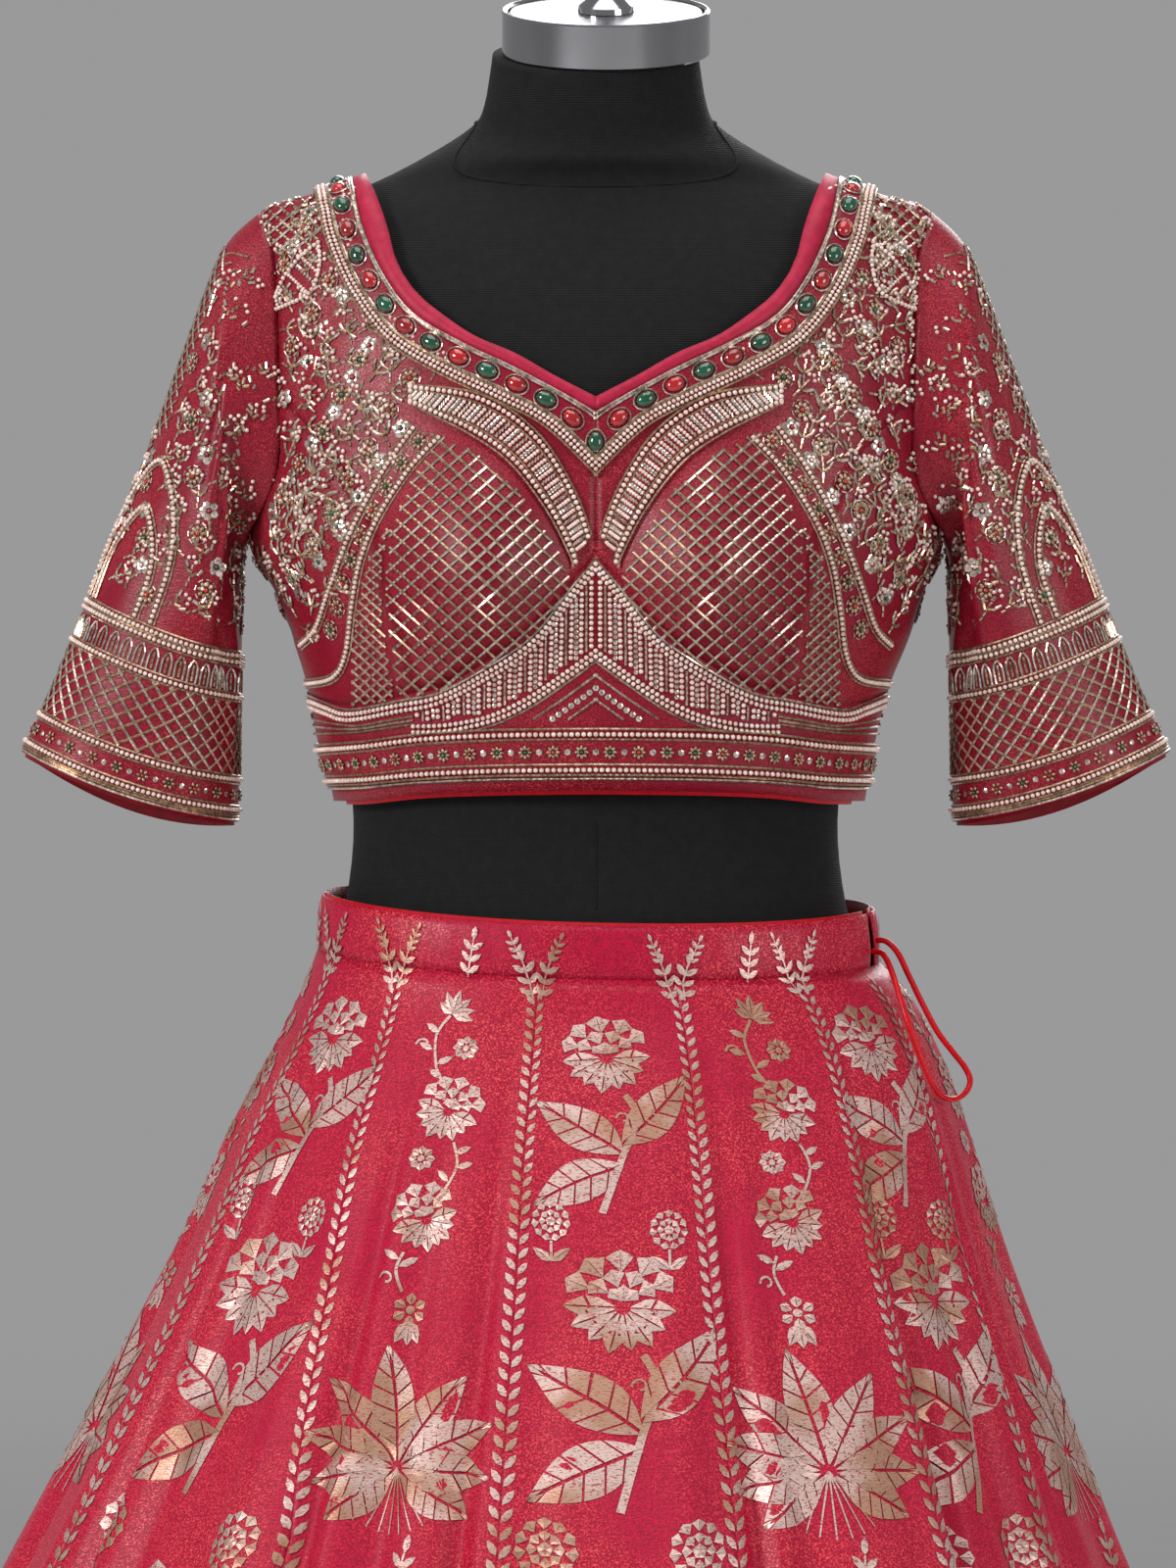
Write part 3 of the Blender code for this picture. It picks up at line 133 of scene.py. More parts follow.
# Lehenga skirt: extent each way at each drop below the band's seam
SkirtRow = namedtuple("SkirtRow", "drop left right front back")
SKIRT_ROWS = (
    SkirtRow(0.000, 0.1470, 0.1500, 0.1090, 0.1010),
    SkirtRow(0.014, 0.1520, 0.1640, 0.1140, 0.1080),
    SkirtRow(0.048, 0.1675, 0.1820, 0.1330, 0.1310),
    SkirtRow(0.095, 0.1920, 0.1980, 0.1600, 0.1630),
    SkirtRow(0.150, 0.2160, 0.2140, 0.1900, 0.1960),
    SkirtRow(0.225, 0.2540, 0.2400, 0.2350, 0.2430),
    SkirtRow(0.330, 0.3080, 0.2780, 0.2970, 0.3060),
    SkirtRow(0.560, 0.4200, 0.3850, 0.4170, 0.4260),
    SkirtRow(0.800, 0.5200, 0.4950, 0.5120, 0.5200),
    SkirtRow(1.010, 0.5850, 0.5850, 0.5750, 0.5830),
)
HEM_HEIGHT = 0.0180
SEAM_HEIGHT_FRONT = 1.0040
SEAM_HEIGHT_BACK = 1.0190
SEAM_HEIGHT_LEFT = 1.0190
SEAM_HEIGHT_RIGHT = 1.0110
BAND_TALL = 0.0280
BAND_LEAN = 0.0020
# Kali seams, in degrees round at the waist and from SEAM_SETTLES of the fall on down to the hem,
# and the opening in the waistband
KaliSeam = namedtuple("KaliSeam", "at_waist at_hem")
KALI_SEAMS = (
    KaliSeam(-263.0, -262.0),
    KaliSeam(-229.0, -229.0),
    KaliSeam(-196.0, -196.0),
    KaliSeam(-163.0, -163.0),
    KaliSeam(-131.0, -131.0),
    KaliSeam(-99.0, -98.0),
    KaliSeam(-68.0, -65.0),
    KaliSeam(-42.0, -31.5),
    KaliSeam(-10.0, -9.2),
    KaliSeam(13.5, 15.0),
    KaliSeam(41.0, 39.8),
    KaliSeam(66.0, 59.0),
    KaliSeam(97.0, 98.0),
)
SEAM_SETTLES = 0.28
OPENING_AT = 76.0
# Folds of the skirt: where each lies at waist and hem, its half width and its depth at the hem
SkirtFold = namedtuple("SkirtFold", "at_waist at_hem half_width depth")
SKIRT_FOLDS = (
    SkirtFold(0.5, 3.0, 16.0, 0.020),
    SkirtFold(33.0, 33.0, 13.0, 0.026),
    SkirtFold(61.5, 60.0, 13.0, 0.022),
    SkirtFold(90.0, 88.0, 13.0, 0.028),
    SkirtFold(118.0, 116.0, 13.0, 0.020),
    SkirtFold(147.0, 147.0, 14.0, 0.028),
    SkirtFold(179.0, 180.0, 15.0, 0.022),
    SkirtFold(-150.0, -149.0, 14.0, 0.026),
    SkirtFold(-119.0, -118.0, 14.0, 0.020),
    SkirtFold(-90.0, -89.0, 13.0, 0.028),
    SkirtFold(-61.0, -59.0, 14.0, 0.022),
    SkirtFold(-32.0, -28.0, 13.0, 0.026),
    SkirtFold(17.0, 17.5, 7.0, -0.014),
    SkirtFold(46.0, 46.0, 7.0, -0.010),
    SkirtFold(-47.0, -44.0, 7.0, -0.014),
    SkirtFold(-133.0, -132.0, 8.0, -0.012),
    SkirtFold(164.0, 164.0, 8.0, -0.012),
)
FOLD_GROWTH = 1.15

CORD_ROUTE = (
    (0.1478, -0.0295, 1.0225), (0.1530, -0.0320, 1.0222), (0.1590, -0.0350, 1.0160),
    (0.1650, -0.0370, 1.0035), (0.1720, -0.0385, 0.9890), (0.1795, -0.0400, 0.9750),
    (0.1870, -0.0415, 0.9650), (0.1940, -0.0430, 0.9560), (0.1965, -0.0450, 0.9490),
    (0.1935, -0.0495, 0.9430), (0.1870, -0.0560, 0.9400), (0.1795, -0.0630, 0.9430),
    (0.1735, -0.0670, 0.9530), (0.1675, -0.0670, 0.9680), (0.1620, -0.0640, 0.9840),
    (0.1575, -0.0560, 0.9990), (0.1540, -0.0460, 1.0100), (0.1506, -0.0375, 1.0160),
    (0.1456, -0.0339, 1.0170),
)
FormRow = namedtuple("FormRow", "height side front back")
HIP_ROWS = (
    FormRow(0.820, 0.1480, 0.1020, 0.1060),
    FormRow(0.832, 0.1600, 0.1100, 0.1140),
    FormRow(0.860, 0.1660, 0.1140, 0.1180),
    FormRow(0.910, 0.1640, 0.1130, 0.1160),
    FormRow(0.960, 0.1520, 0.1120, 0.1060),
    FormRow(1.002, 0.1440, 0.1067, 0.0965),
    FormRow(1.040, 0.1340, 0.0985, 0.0870),
    FormRow(1.075, 0.1295, 0.0950, 0.0820),
    FormRow(1.105, 0.1310, 0.0960, 0.0835),
)
EaseRow = namedtuple("EaseRow", "height ease")
EASE_ROWS = (
    EaseRow(1.130, 0.0085), EaseRow(1.160, 0.0075), EaseRow(1.190, 0.0065), EaseRow(1.220, 0.0070),
    EaseRow(1.250, 0.0080), EaseRow(1.290, 0.0055), EaseRow(1.330, 0.0045), EaseRow(1.365, 0.0040),
    EaseRow(1.390, 0.0042),
)
SHOULDER_ROWS = (
    FormRow(1.4040, 0.1738, 0.0642, 0.0700),
    FormRow(1.4145, 0.1440, 0.0575, 0.0620),
    FormRow(1.4235, 0.1190, 0.0540, 0.0590),
)
BUST_HEIGHT = 0.0240
NeckRow = namedtuple("NeckRow", "height forward lean side depth")
NECK_ROWS = (
    NeckRow(1.4400, 0.0030, 8.0, 0.0860, 0.0570),
    NeckRow(1.4530, 0.0050, 14.0, 0.0650, 0.0540),
    NeckRow(1.4640, 0.0080, 15.0, 0.0590, 0.0530),
    NeckRow(1.4800, 0.0120, 15.0, 0.0560, 0.0530),
    NeckRow(1.4905, 0.0148, 15.0, 0.0545, 0.0530),
)
NECK_LEAN = math.radians(15.0)
RING_RADIUS = 0.0550
RING_WALL = 0.0030
RING_TALL = 0.0240
RING_BASE = Vector((0.0055, -0.0150, 1.4909))
CAP_RADIUS = 0.0515
CAP_TALL = 0.0060
FINIAL_PROFILE = ((0.0, 0.0300), (0.0060, 0.0290), (0.0082, 0.0250), (0.0082, 0.0200), (0.0062, 0.0150),
                  (0.0070, 0.0110), (0.0100, 0.0070), (0.0145, 0.0030), (0.0150, 0.0), (0.0, 0.0))

# Cells of the cloth shells, finer than the solids
CELLS_CENTRE = 14
CELLS_NECK = 20
CELLS_PRINCESS = 20
CELLS_ARMHOLE_UPPER = 14
CELLS_ARMHOLE_LOWER = 12
CELLS_ARMHOLE_BACK = 24
CELLS_INNER = 22
CELLS_OUTER = 12
CELLS_MIDRIFF = 9
CELLS_BACK = 22
CELLS_CENTRE_BACK = 36
SLEEVE_FRONT_CELLS = 11
SLEEVE_BACK_CELLS = 10
BACK_TRIM_CELLS = 40
SHELL = 0.0012
FORM_CELLS = 78
HALVINGS = 30
CORD_RADIUS = 0.0016
KALI_COLUMNS = 40
KALI_ROWS = 72

# Camera, and the size of one of the photograph's pixels on the plane through the origin
VIEW_DISTANCE = 4.0
VIEW_X = -0.004
VIEW_HEIGHT = 1.105
VIEW_MIDDLE = 800.0
VIEW_SPAN = 0.832
PIXEL = 0.00052

# Small creases of the skirt that the solids leave out
SMALL_FOLDS = (
    SkirtFold(-6.0, -6.0, 4.0, -0.006), SkirtFold(9.0, 10.0, 4.0, 0.005),
    SkirtFold(24.0, 24.5, 4.0, -0.009),
    SkirtFold(40.0, 41.0, 4.5, 0.006), SkirtFold(54.0, 53.0, 4.0, -0.008),
    SkirtFold(69.0, 68.0, 4.0, -0.007),
    SkirtFold(83.0, 82.0, 5.0, 0.006), SkirtFold(97.0, 96.0, 4.0, -0.007),
    SkirtFold(109.0, 108.0, 4.0, -0.006),
    SkirtFold(129.0, 129.0, 4.5, 0.007), SkirtFold(141.0, 140.0, 4.0, -0.007),
    SkirtFold(157.0, 157.0, 4.5, 0.006),
    SkirtFold(172.0, 172.0, 4.0, -0.008), SkirtFold(-23.0, -21.0, 4.0, -0.010),
    SkirtFold(-39.0, -36.0, 4.5, 0.007),
    SkirtFold(-53.0, -50.0, 4.0, -0.008), SkirtFold(-68.0, -66.0, 4.0, 0.006),
    SkirtFold(-81.0, -80.0, 4.0, -0.008),
    SkirtFold(-98.0, -97.0, 4.0, -0.007), SkirtFold(-111.0, -110.0, 4.5, 0.006),
    SkirtFold(-126.0, -125.0, 4.0, -0.008),
    SkirtFold(-142.0, -141.0, 4.0, -0.006), SkirtFold(-158.0, -158.0, 4.5, 0.007),
    SkirtFold(-171.0, -171.0, 4.0, -0.007),
    SkirtFold(-13.5, -13.8, 2.6, -0.012), SkirtFold(-30.5, -28.5, 2.8, -0.013),
    SkirtFold(-61.0, -58.5, 2.8, -0.012),
    SkirtFold(17.5, 18.5, 2.6, -0.011), SkirtFold(44.0, 43.5, 2.8, -0.013),
    SkirtFold(64.0, 62.0, 2.6, -0.011),
    SkirtFold(90.0, 89.0, 2.8, -0.012), SkirtFold(119.0, 118.0, 2.6, -0.012),
    SkirtFold(151.0, 150.0, 2.8, -0.011),
    SkirtFold(179.0, 179.0, 2.6, -0.012), SkirtFold(-150.0, -149.0, 2.8, -0.012),
    SkirtFold(-118.0, -117.0, 2.6, -0.011),
    SkirtFold(-90.0, -88.5, 2.8, -0.012),
)

# Beadwork of the choli's front half, in the photograph's pixels outward from the centre and down
UNDER_BUST = ((0, 566), (26, 596), (65, 644), (115, 678), (160, 702), (200, 710), (250, 719), (275, 712),
              (298, 702))
CHEVRON = ((0, 664), (30, 686), (70, 713), (110, 731), (150, 740), (185, 741))
CURVE_OUTER = ((186, 437), (216, 480), (248, 540), (270, 598), (284, 640), (300, 658))
CURVE_INNER = ((160, 447), (190, 480), (222, 530), (240, 575), (248, 620), (254, 668), (268, 692),
               (300, 698))
LATTICE_EDGE = ((160, 452), (172, 438), (129, 460), (87, 494), (51, 542), (28, 590), (26, 604), (65, 650),
                (115, 684), (160, 706), (200, 714), (208, 660), (214, 600), (208, 540), (183, 484))
LATTICE_WIDE = 19.0
LATTICE_TALL = 17.0
CHEST_EDGE = ((196, 452), (246, 520), (275, 598), (292, 640), (330, 560), (338, 430), (334, 300),
              (330, 215),
              (268, 205), (262, 262), (240, 320), (196, 362), (150, 395), (196, 420))
SIDE_EDGE = ((262, 540), (300, 650), (352, 620), (362, 560), (340, 540), (300, 480), (268, 470))

SHOULDER_EDGE = ((274, 196), (338, 206), (342, 246), (306, 262), (278, 244))
LATTICE_SIDE = ((208, 530), (230, 570), (244, 622), (250, 690), (250, 722), (205, 712), (214, 660),
                (220, 600), (214, 555))
FEATHER_UPPER = ((282, 248), (300, 262), (318, 286), (330, 318))
FEATHER_LOWER = ((282, 248), (281, 272), (292, 300), (330, 318))

# Small creases: line from and to, seen from the front or back, with half width and depth; side 0 is both
Crease = namedtuple("Crease", "side x_from z_from x_to z_to half_width depth")
FRONT_CREASES = (
    Crease(0, 0.150, 1.325, 0.166, 1.262, 0.008, -0.0030),
    Crease(-1, 0.136, 1.352, 0.156, 1.318, 0.007, -0.0022),
    Crease(1, 0.140, 1.366, 0.158, 1.330, 0.008, -0.0020),
    Crease(-1, 0.128, 1.268, 0.158, 1.246, 0.008, 0.0022),
    Crease(1, 0.124, 1.262, 0.156, 1.236, 0.009, 0.0020),
    Crease(0, 0.148, 1.212, 0.160, 1.186, 0.007, -0.0016),
    Crease(-1, 0.112, 1.338, 0.132, 1.300, 0.008, -0.0016),
    Crease(1, 0.106, 1.330, 0.128, 1.288, 0.009, -0.0014),
    Crease(0, 0.030, 1.140, 0.085, 1.137, 0.006, -0.0010),
)
BACK_CREASES = (
    Crease(0, 0.148, 1.300, 0.162, 1.252, 0.009, -0.0030),
    Crease(-1, 0.120, 1.340, 0.150, 1.300, 0.008, -0.0022),
    Crease(1, 0.112, 1.330, 0.146, 1.284, 0.009, -0.0020),
    Crease(-1, 0.030, 1.190, 0.110, 1.176, 0.009, -0.0020),
    Crease(1, 0.040, 1.214, 0.122, 1.196, 0.010, -0.0018),
    Crease(0, 0.132, 1.160, 0.150, 1.130, 0.008, -0.0016),
)
SleeveCrease = namedtuple("SleeveCrease", "around_top around_low row_top row_low half_round depth")
SLEEVE_CREASES = (
    SleeveCrease(0.150, 0.110, 0.02, 0.62, 0.045, -0.0060),
    SleeveCrease(0.225, 0.180, 0.06, 0.50, 0.035, -0.0040),
    SleeveCrease(0.300, 0.240, 0.00, 0.42, 0.040, -0.0032),
    SleeveCrease(0.090, 0.060, 0.20, 0.80, 0.035, 0.0030),
    SleeveCrease(0.820, 0.870, 0.03, 0.60, 0.045, -0.0055),
    SleeveCrease(0.740, 0.780, 0.05, 0.46, 0.036, -0.0036),
    SleeveCrease(0.900, 0.930, 0.20, 0.75, 0.035, 0.0028),
)


def read_row(rows, at, key, column):
    """Value of a column at a key, on a smooth curve through the rows that never overshoots them."""
    keys = [getattr(row, key) for row in rows]
    values = [getattr(row, column) for row in rows]
    at = min(max(at, keys[0]), keys[-1])
    index = 0
    while index < len(keys) - 2 and at > keys[index + 1]:
        index += 1

    def slope(place):
        return (values[place + 1] - values[place]) / (keys[place + 1] - keys[place])

    def tangent(place):
        if place in (0, len(keys) - 1):
            return slope(min(place, len(keys) - 2))
        before, after = slope(place - 1), slope(place)
        if before * after <= 0.0:
            return 0.0
        return 2.0 * before * after / (before + after)

    span = keys[index + 1] - keys[index]
    t = (at - keys[index]) / span
    start, end = tangent(index) * span, tangent(index + 1) * span
    low, high = values[index], values[index + 1]
    return ((2 * t ** 3 - 3 * t ** 2 + 1) * low + (t ** 3 - 2 * t ** 2 + t) * start
            + (3 * t ** 2 - 2 * t ** 3) * high + (t ** 3 - t ** 2) * end)


def smooth_line(points, steps=12):
    """Dense points on a curve through the given points, whatever their dimension."""
    count = len(points)
    dense = []
    for index in range(count - 1):
        before = points[max(index - 1, 0)]
        start, end = points[index], points[index + 1]
        after = points[min(index + 2, count - 1)]
        for step in range(steps):
            t = step / steps
            dense.append(tuple(
                0.5 * (2 * b + (c - a) * t + (2 * a - 5 * b + 4 * c - d) * t ** 2
                       + (3 * b - a - 3 * c + d) * t ** 3)
                for a, b, c, d in zip(before, start, end, after)))
    dense.append(tuple(points[-1]))
    return dense


def even_steps(dense, cells, place):
    """Split a dense line into equal lengths, measured on the points that place() gives."""
    spots = [place(point) for point in dense]
    travelled = [0.0]
    for first, second in zip(spots, spots[1:]):
        travelled.append(travelled[-1] + (second - first).length)
    result = []
    index = 0
    for cell in range(cells + 1):
        wanted = travelled[-1] * cell / cells
        while index < len(dense) - 2 and travelled[index + 1] < wanted:
            index += 1
        span = max(travelled[index + 1] - travelled[index], 1e-9)
        share = min(max((wanted - travelled[index]) / span, 0.0), 1.0)
        result.append(tuple(a + (b - a) * share for a, b in zip(dense[index], dense[index + 1])))
    return result


def rounded(value, power):
    return math.copysign(abs(value) ** power, value)


def cup_swell(x, z, height):
    """How far a padded cup stands out at a point of the front view."""
    tall = CUP_ABOVE if z > CUP_Z else CUP_BELOW
    away = ((abs(x) - CUP_X) / CUP_HALF_WIDTH) ** 2 + ((z - CUP_Z) / tall) ** 2
    return height * (1.0 - away) ** 2 if away < 1.0 else 0.0


def choli_side(angle, height):
    return read_row(CHOLI_ROWS, height, "height", "right" if math.sin(angle) >= 0 else "left")


def choli_face(angle, height):
    """Point of the choli's outer face at an angle and a height."""
    side = choli_side(angle, height)
    is_front = math.cos(angle) >= 0
    depth = read_row(CHOLI_ROWS, height, "height", "front" if is_front else "back")
    power = 2.0 / ROUNDNESS
    x = side * rounded(math.sin(angle), power)
    y = -depth * rounded(math.cos(angle), power)
    if is_front:
        y -= cup_swell(x, height, CUP_HEIGHT)
    return Vector((x, y, height))


def face_normal(face, across, along):
    """Outward normal of a surface given as a function of an angle and a second value."""
    turn, move = 0.004, 0.0008
    sideways = face(across + turn, along) - face(across - turn, along)
    upwards = face(across, along + move) - face(across, along - move)
    return sideways.cross(upwards).normalized()


def choli_point(spot, lift=0.0):
    angle, height = spot
    point = choli_face(angle, height)
    return point + face_normal(choli_face, angle, height) * lift if lift else point


def front_spot(x, z, side):
    """Angle and height of a front-view point; an x of 1 or more means the side line itself."""
    half = choli_side(side * 0.5, z)
    share = min(abs(x) / half, 1.0)
    return (side * math.asin(share ** (ROUNDNESS / 2.0)), z)


def front_line(points, cells, side):
    view = [(min(x, choli_side(side * 0.5, z)), z) for x, z in points]
    return even_steps([front_spot(x, z, side) for x, z in smooth_line(view)], cells, choli_point)


def back_line(points, cells, side):
    """The same on the back, with x and z as seen from behind."""
    spots = [front_spot(x, z, side) for x, z in smooth_line(points)]
    return even_steps([(side * BACK_ANGLE - angle, z) for angle, z in spots], cells, choli_point)


def straight_line(start, end, cells):
    return even_steps(smooth_line((start, end)), cells, choli_point)


def coons(bottom, top, left, right):
    """Grid of angle and height pairs filled in between four edges, rows from bottom to top."""
    rows, columns = len(left) - 1, len(bottom) - 1
    grid = []
    for i in range(rows + 1):
        v = i / rows
        line = []
        for j in range(columns + 1):
            u = j / columns
            line.append(tuple(
                (1 - v) * bottom[j][k] + v * top[j][k] + (1 - u) * left[i][k] + u * right[i][k]
                - (1 - u) * (1 - v) * bottom[0][k] - u * (1 - v) * bottom[-1][k]
                - (1 - u) * v * top[0][k] - u * v * top[-1][k] for k in range(2)))
        grid.append(line)
    return grid


def side_lines(side):
    """Every seam of one half, as lists of angle and height pairs."""
    lines = {
        "centre": front_line(CENTRE_SEAM, CELLS_CENTRE, side),
        "neck": front_line(NECK_EDGE, CELLS_NECK, side),
        "inner": front_line(UNDERBUST_INNER, CELLS_INNER, side),
        "outer": front_line(UNDERBUST_OUTER, CELLS_OUTER, side),
        "princess": front_line(PRINCESS_SEAM, CELLS_PRINCESS, side),
        "armhole_upper": front_line(ARMHOLE_UPPER, CELLS_ARMHOLE_UPPER, side),
        "armhole_lower": front_line(ARMHOLE_LOWER, CELLS_ARMHOLE_LOWER, side),
        "shoulder": straight_line((side * SIDE_ANGLE, SHOULDER_NECK), (side * SIDE_ANGLE, SHOULDER_TIP),
                                  CELLS_INNER),
        "side_upper": straight_line((side * SIDE_ANGLE, SIDE_JOIN), (side * SIDE_ANGLE, ARMPIT),
                                    CELLS_PRINCESS),
        "side_lower": straight_line((side * SIDE_ANGLE, HEM_SIDE), (side * SIDE_ANGLE, SIDE_JOIN),
                                    CELLS_MIDRIFF),
    }
    back_points = [(side * (math.pi - abs(angle)), z) for angle, z in
                   [front_spot(x, z, side) for x, z in ARMHOLE_LOWER[::-1] + ARMHOLE_UPPER[1:]]]
    lines["armhole_back"] = even_steps(smooth_line(back_points), CELLS_ARMHOLE_BACK, choli_point)
    neck_cells = CELLS_MIDRIFF + CELLS_PRINCESS + CELLS_ARMHOLE_BACK - CELLS_CENTRE_BACK
    lines["neck_back"] = back_line(BACK_NECK, neck_cells, side)
    lines["centre_back"] = straight_line((side * BACK_ANGLE, HEM_BACK),
                                         (side * BACK_ANGLE, BACK_NECK[0][1]),
                                         CELLS_CENTRE_BACK)
    hem_points = ((side * BACK_ANGLE, HEM_BACK), (side * HEM_DIP_AT, HEM_BACK - HEM_DIP),
                  (side * SIDE_ANGLE, HEM_SIDE))
    lines["hem_back"] = even_steps(smooth_line(hem_points), CELLS_BACK, choli_point)
    lines["shoulder_back"] = straight_line((side * SIDE_ANGLE, SHOULDER_NECK),
                                           (side * SIDE_ANGLE, SHOULDER_TIP), CELLS_BACK)
    lines["hem_front"] = front_line(HEM_FRONT, CELLS_INNER + CELLS_OUTER, side)
    return lines


def ridge_height(x, side):
    """Height of the shoulder's ridge at a distance out from the middle."""
    low, high = SHOULDER_TIP, CHOLI_ROWS[-1].height
    for _ in range(HALVINGS):
        middle = (low + high) / 2
        if choli_side(side, middle) > x:
            low = middle
        else:
            high = middle
    return low


def beside(points, distance, first, side):
    """Line a distance outside a line of the view, from its first height to the shoulder's ridge."""
    view = [(0.0, first)]
    for before, (x, z), after in zip(points, points[1:], points[2:]):
        across, up = after[0] - before[0], after[1] - before[1]
        step = distance / math.hypot(across, up)
        view.append((x + step * up, z - step * across))
    ridge = points[-1][0] + distance
    return view + [(ridge, ridge_height(ridge, side))]


def round_neck(distance, front_first, cells, side):
    """Line round half the neck at a distance outside the stone row, by the front to the back."""
    behind = distance + STONE_LINE[-1][0] - BACK_NECK[-1][0]
    front = front_line(beside(STONE_LINE, distance, front_first, side), cells, side)
    back = back_line(beside(BACK_NECK, behind, BACK_NECK[0][1] - behind, side), BACK_TRIM_CELLS, side)
    return front + back[::-1][1:]


def sleeve_ring(row, side, cuff):
    """One ring of the sleeve: from the underarm by the front to the top and round the back."""
    front_cells = CELLS_ARMHOLE_LOWER + CELLS_ARMHOLE_UPPER
    middle = Vector((row.top_x + row.under_x, 0.0, row.top_z + row.under_z)) / 2
    reach = Vector((row.top_x - row.under_x, 0.0, row.top_z - row.under_z)) / 2
    ring = []
    for k in range(front_cells + CELLS_ARMHOLE_BACK):
        if k <= front_cells:
            turn = math.pi * (1 - k / front_cells)
            to_front = -1.0
        else:
            turn = math.pi * (k - front_cells) / CELLS_ARMHOLE_BACK
            to_front = 1.0
        point = middle + reach * math.cos(turn)
        point.y = to_front * row.depth * math.sin(turn)
        dip = CUFF_DIP_FRONT if to_front < 0 else CUFF_DIP_BACK
        point.z -= cuff * dip * math.sin(turn) ** 2
        point.x *= side
        ring.append(point)
    return ring


def fold_offset(row_at, round_at, count):
    offset = 0.0
    for fold in SLEEVE_FOLDS:
        apart = abs(round_at - fold.round_at)
        apart = min(apart, count - apart) / fold.half_round
        away = abs(row_at - fold.row_at) / fold.half_rows
        if apart < 1.0 and away < 1.0:
            offset += fold.depth * math.cos(apart * math.pi / 2) ** 2 * math.cos(away * math.pi / 2) ** 2
    return offset


def grid_normals(grid, side):
    """Outward normals of a ring grid, from the points around each one."""
    normals = []
    rows, columns = len(grid), len(grid[0])
    for i in range(rows):
        line = []
        for j in range(columns):
            down = grid[min(i + 1, rows - 1)][j] - grid[max(i - 1, 0)][j]
            around = grid[i][(j + 1) % columns] - grid[i][j - 1]
            line.append(down.cross(around).normalized() * side)
        normals.append(line)
    return normals


def seam_height(angle):
    """Height of the band's lower seam, which dips at the front."""
    front_back = (SEAM_HEIGHT_FRONT - SEAM_HEIGHT_BACK) / 2 * math.cos(angle)
    right_left = (SEAM_HEIGHT_RIGHT - SEAM_HEIGHT_LEFT) / 2 * math.sin(angle)
    middle = (SEAM_HEIGHT_FRONT + SEAM_HEIGHT_BACK) / 2
    across = (SEAM_HEIGHT_RIGHT + SEAM_HEIGHT_LEFT) / 2 - middle
    return middle + front_back + right_left + across * math.sin(angle) ** 2


def fold_rise(angle, fall):
    """Sum of the skirt's folds at an angle, with fall going from 0 at the band to 1 at the hem."""
    rise = 0.0
    for fold in SKIRT_FOLDS:
        centre = math.radians(fold.at_waist + (fold.at_hem - fold.at_waist) * fall)
        apart = math.remainder(angle - centre, 2 * math.pi) / math.radians(fold.half_width)
        if abs(apart) < 1.0:
            rise += fold.depth * math.cos(apart * math.pi / 2) ** 2
    return rise * fall ** FOLD_GROWTH


def skirt_face(angle, fall):
    """Point of the skirt's outer face; fall is 0 at the band's seam and 1 at the hem."""
    top = seam_height(angle)
    drop = fall * (top - HEM_HEIGHT)
    side = read_row(SKIRT_ROWS, drop, "drop", "right" if math.sin(angle) >= 0 else "left")
    depth = read_row(SKIRT_ROWS, drop, "drop", "front" if math.cos(angle) >= 0 else "back")
    power = 2.0 / (ROUNDNESS + (HEM_ROUNDNESS - ROUNDNESS) * min(fall * 2.0, 1.0))
    rise = fold_rise(angle, fall)
    x = side * rounded(math.sin(angle), power) + rise * math.sin(angle)
    y = -depth * rounded(math.cos(angle), power) - rise * math.cos(angle)
    return Vector((x, y, top - drop))


def seam_angle(seam, fall):
    share = min(fall / SEAM_SETTLES, 1.0)
    return math.radians(seam.at_waist + (seam.at_hem - seam.at_waist) * share)


def band_point(angle, up, lift):
    """Point of the waistband casing, up going from 0 at its seam to 1 at its top edge."""
    foot = skirt_face(angle, 0.0)
    outward = Vector((math.sin(angle), -math.cos(angle), 0.0))
    return foot + Vector((0.0, 0.0, BAND_TALL * up)) + outward * (lift - BAND_LEAN * up)


def form_ring(height, side, front, back, forward=0.0, lean=0.0, bust=0.0):
    ring = []
    power = 2.0 / ROUNDNESS
    tilt = math.radians(lean)
    for k in range(FORM_CELLS):
        angle = 2 * math.pi * k / FORM_CELLS
        x = side * rounded(math.sin(angle), power)
        depth = front if math.cos(angle) >= 0 else back
        y = -depth * rounded(math.cos(angle), power)
        point = Vector((x, y * math.cos(tilt) - forward, height + y * math.sin(tilt)))
        if math.cos(angle) >= 0:
            point.y -= cup_swell(x, height, bust)
        ring.append(point)
    return ring


solid_choli_face = choli_face


def choli_face(angle, height):
    """The choli's outer face with the small creases that the solids leave out."""
    point = solid_choli_face(angle, height)
    creases = FRONT_CREASES if math.cos(angle) >= 0 else BACK_CREASES
    rise = 0.0
    for crease in creases:
        if crease.side and crease.side != math.copysign(1, point.x):
            continue
        x, z = abs(point.x), height
        run = Vector((crease.x_to - crease.x_from, crease.z_to - crease.z_from))
        away = Vector((x - crease.x_from, z - crease.z_from))
        share = min(max(away.dot(run) / run.length_squared, 0.0), 1.0)
        gap = (away - run * share).length / crease.half_width
        if gap < 1.0:
            rise += crease.depth * math.cos(gap
                                            * math.pi / 2) ** 2 * math.sin(math.pi * (0.15 + 0.7 * share))
    return point + Vector((math.sin(angle), -math.cos(angle), 0.0)) * rise


# Materials

def new_material(name, roughness, metallic=0.0, sheen=0.0):
    material = bpy.data.materials.new(name)
    material.use_nodes = True
    shader = material.node_tree.nodes["Principled BSDF"]
    shader.inputs["Roughness"].default_value = roughness
    shader.inputs["Metallic"].default_value = metallic
    shader.inputs["Sheen Weight"].default_value = sheen
    shader.inputs["Sheen Roughness"].default_value = 0.35
    return material, material.node_tree.nodes, material.node_tree.links, shader


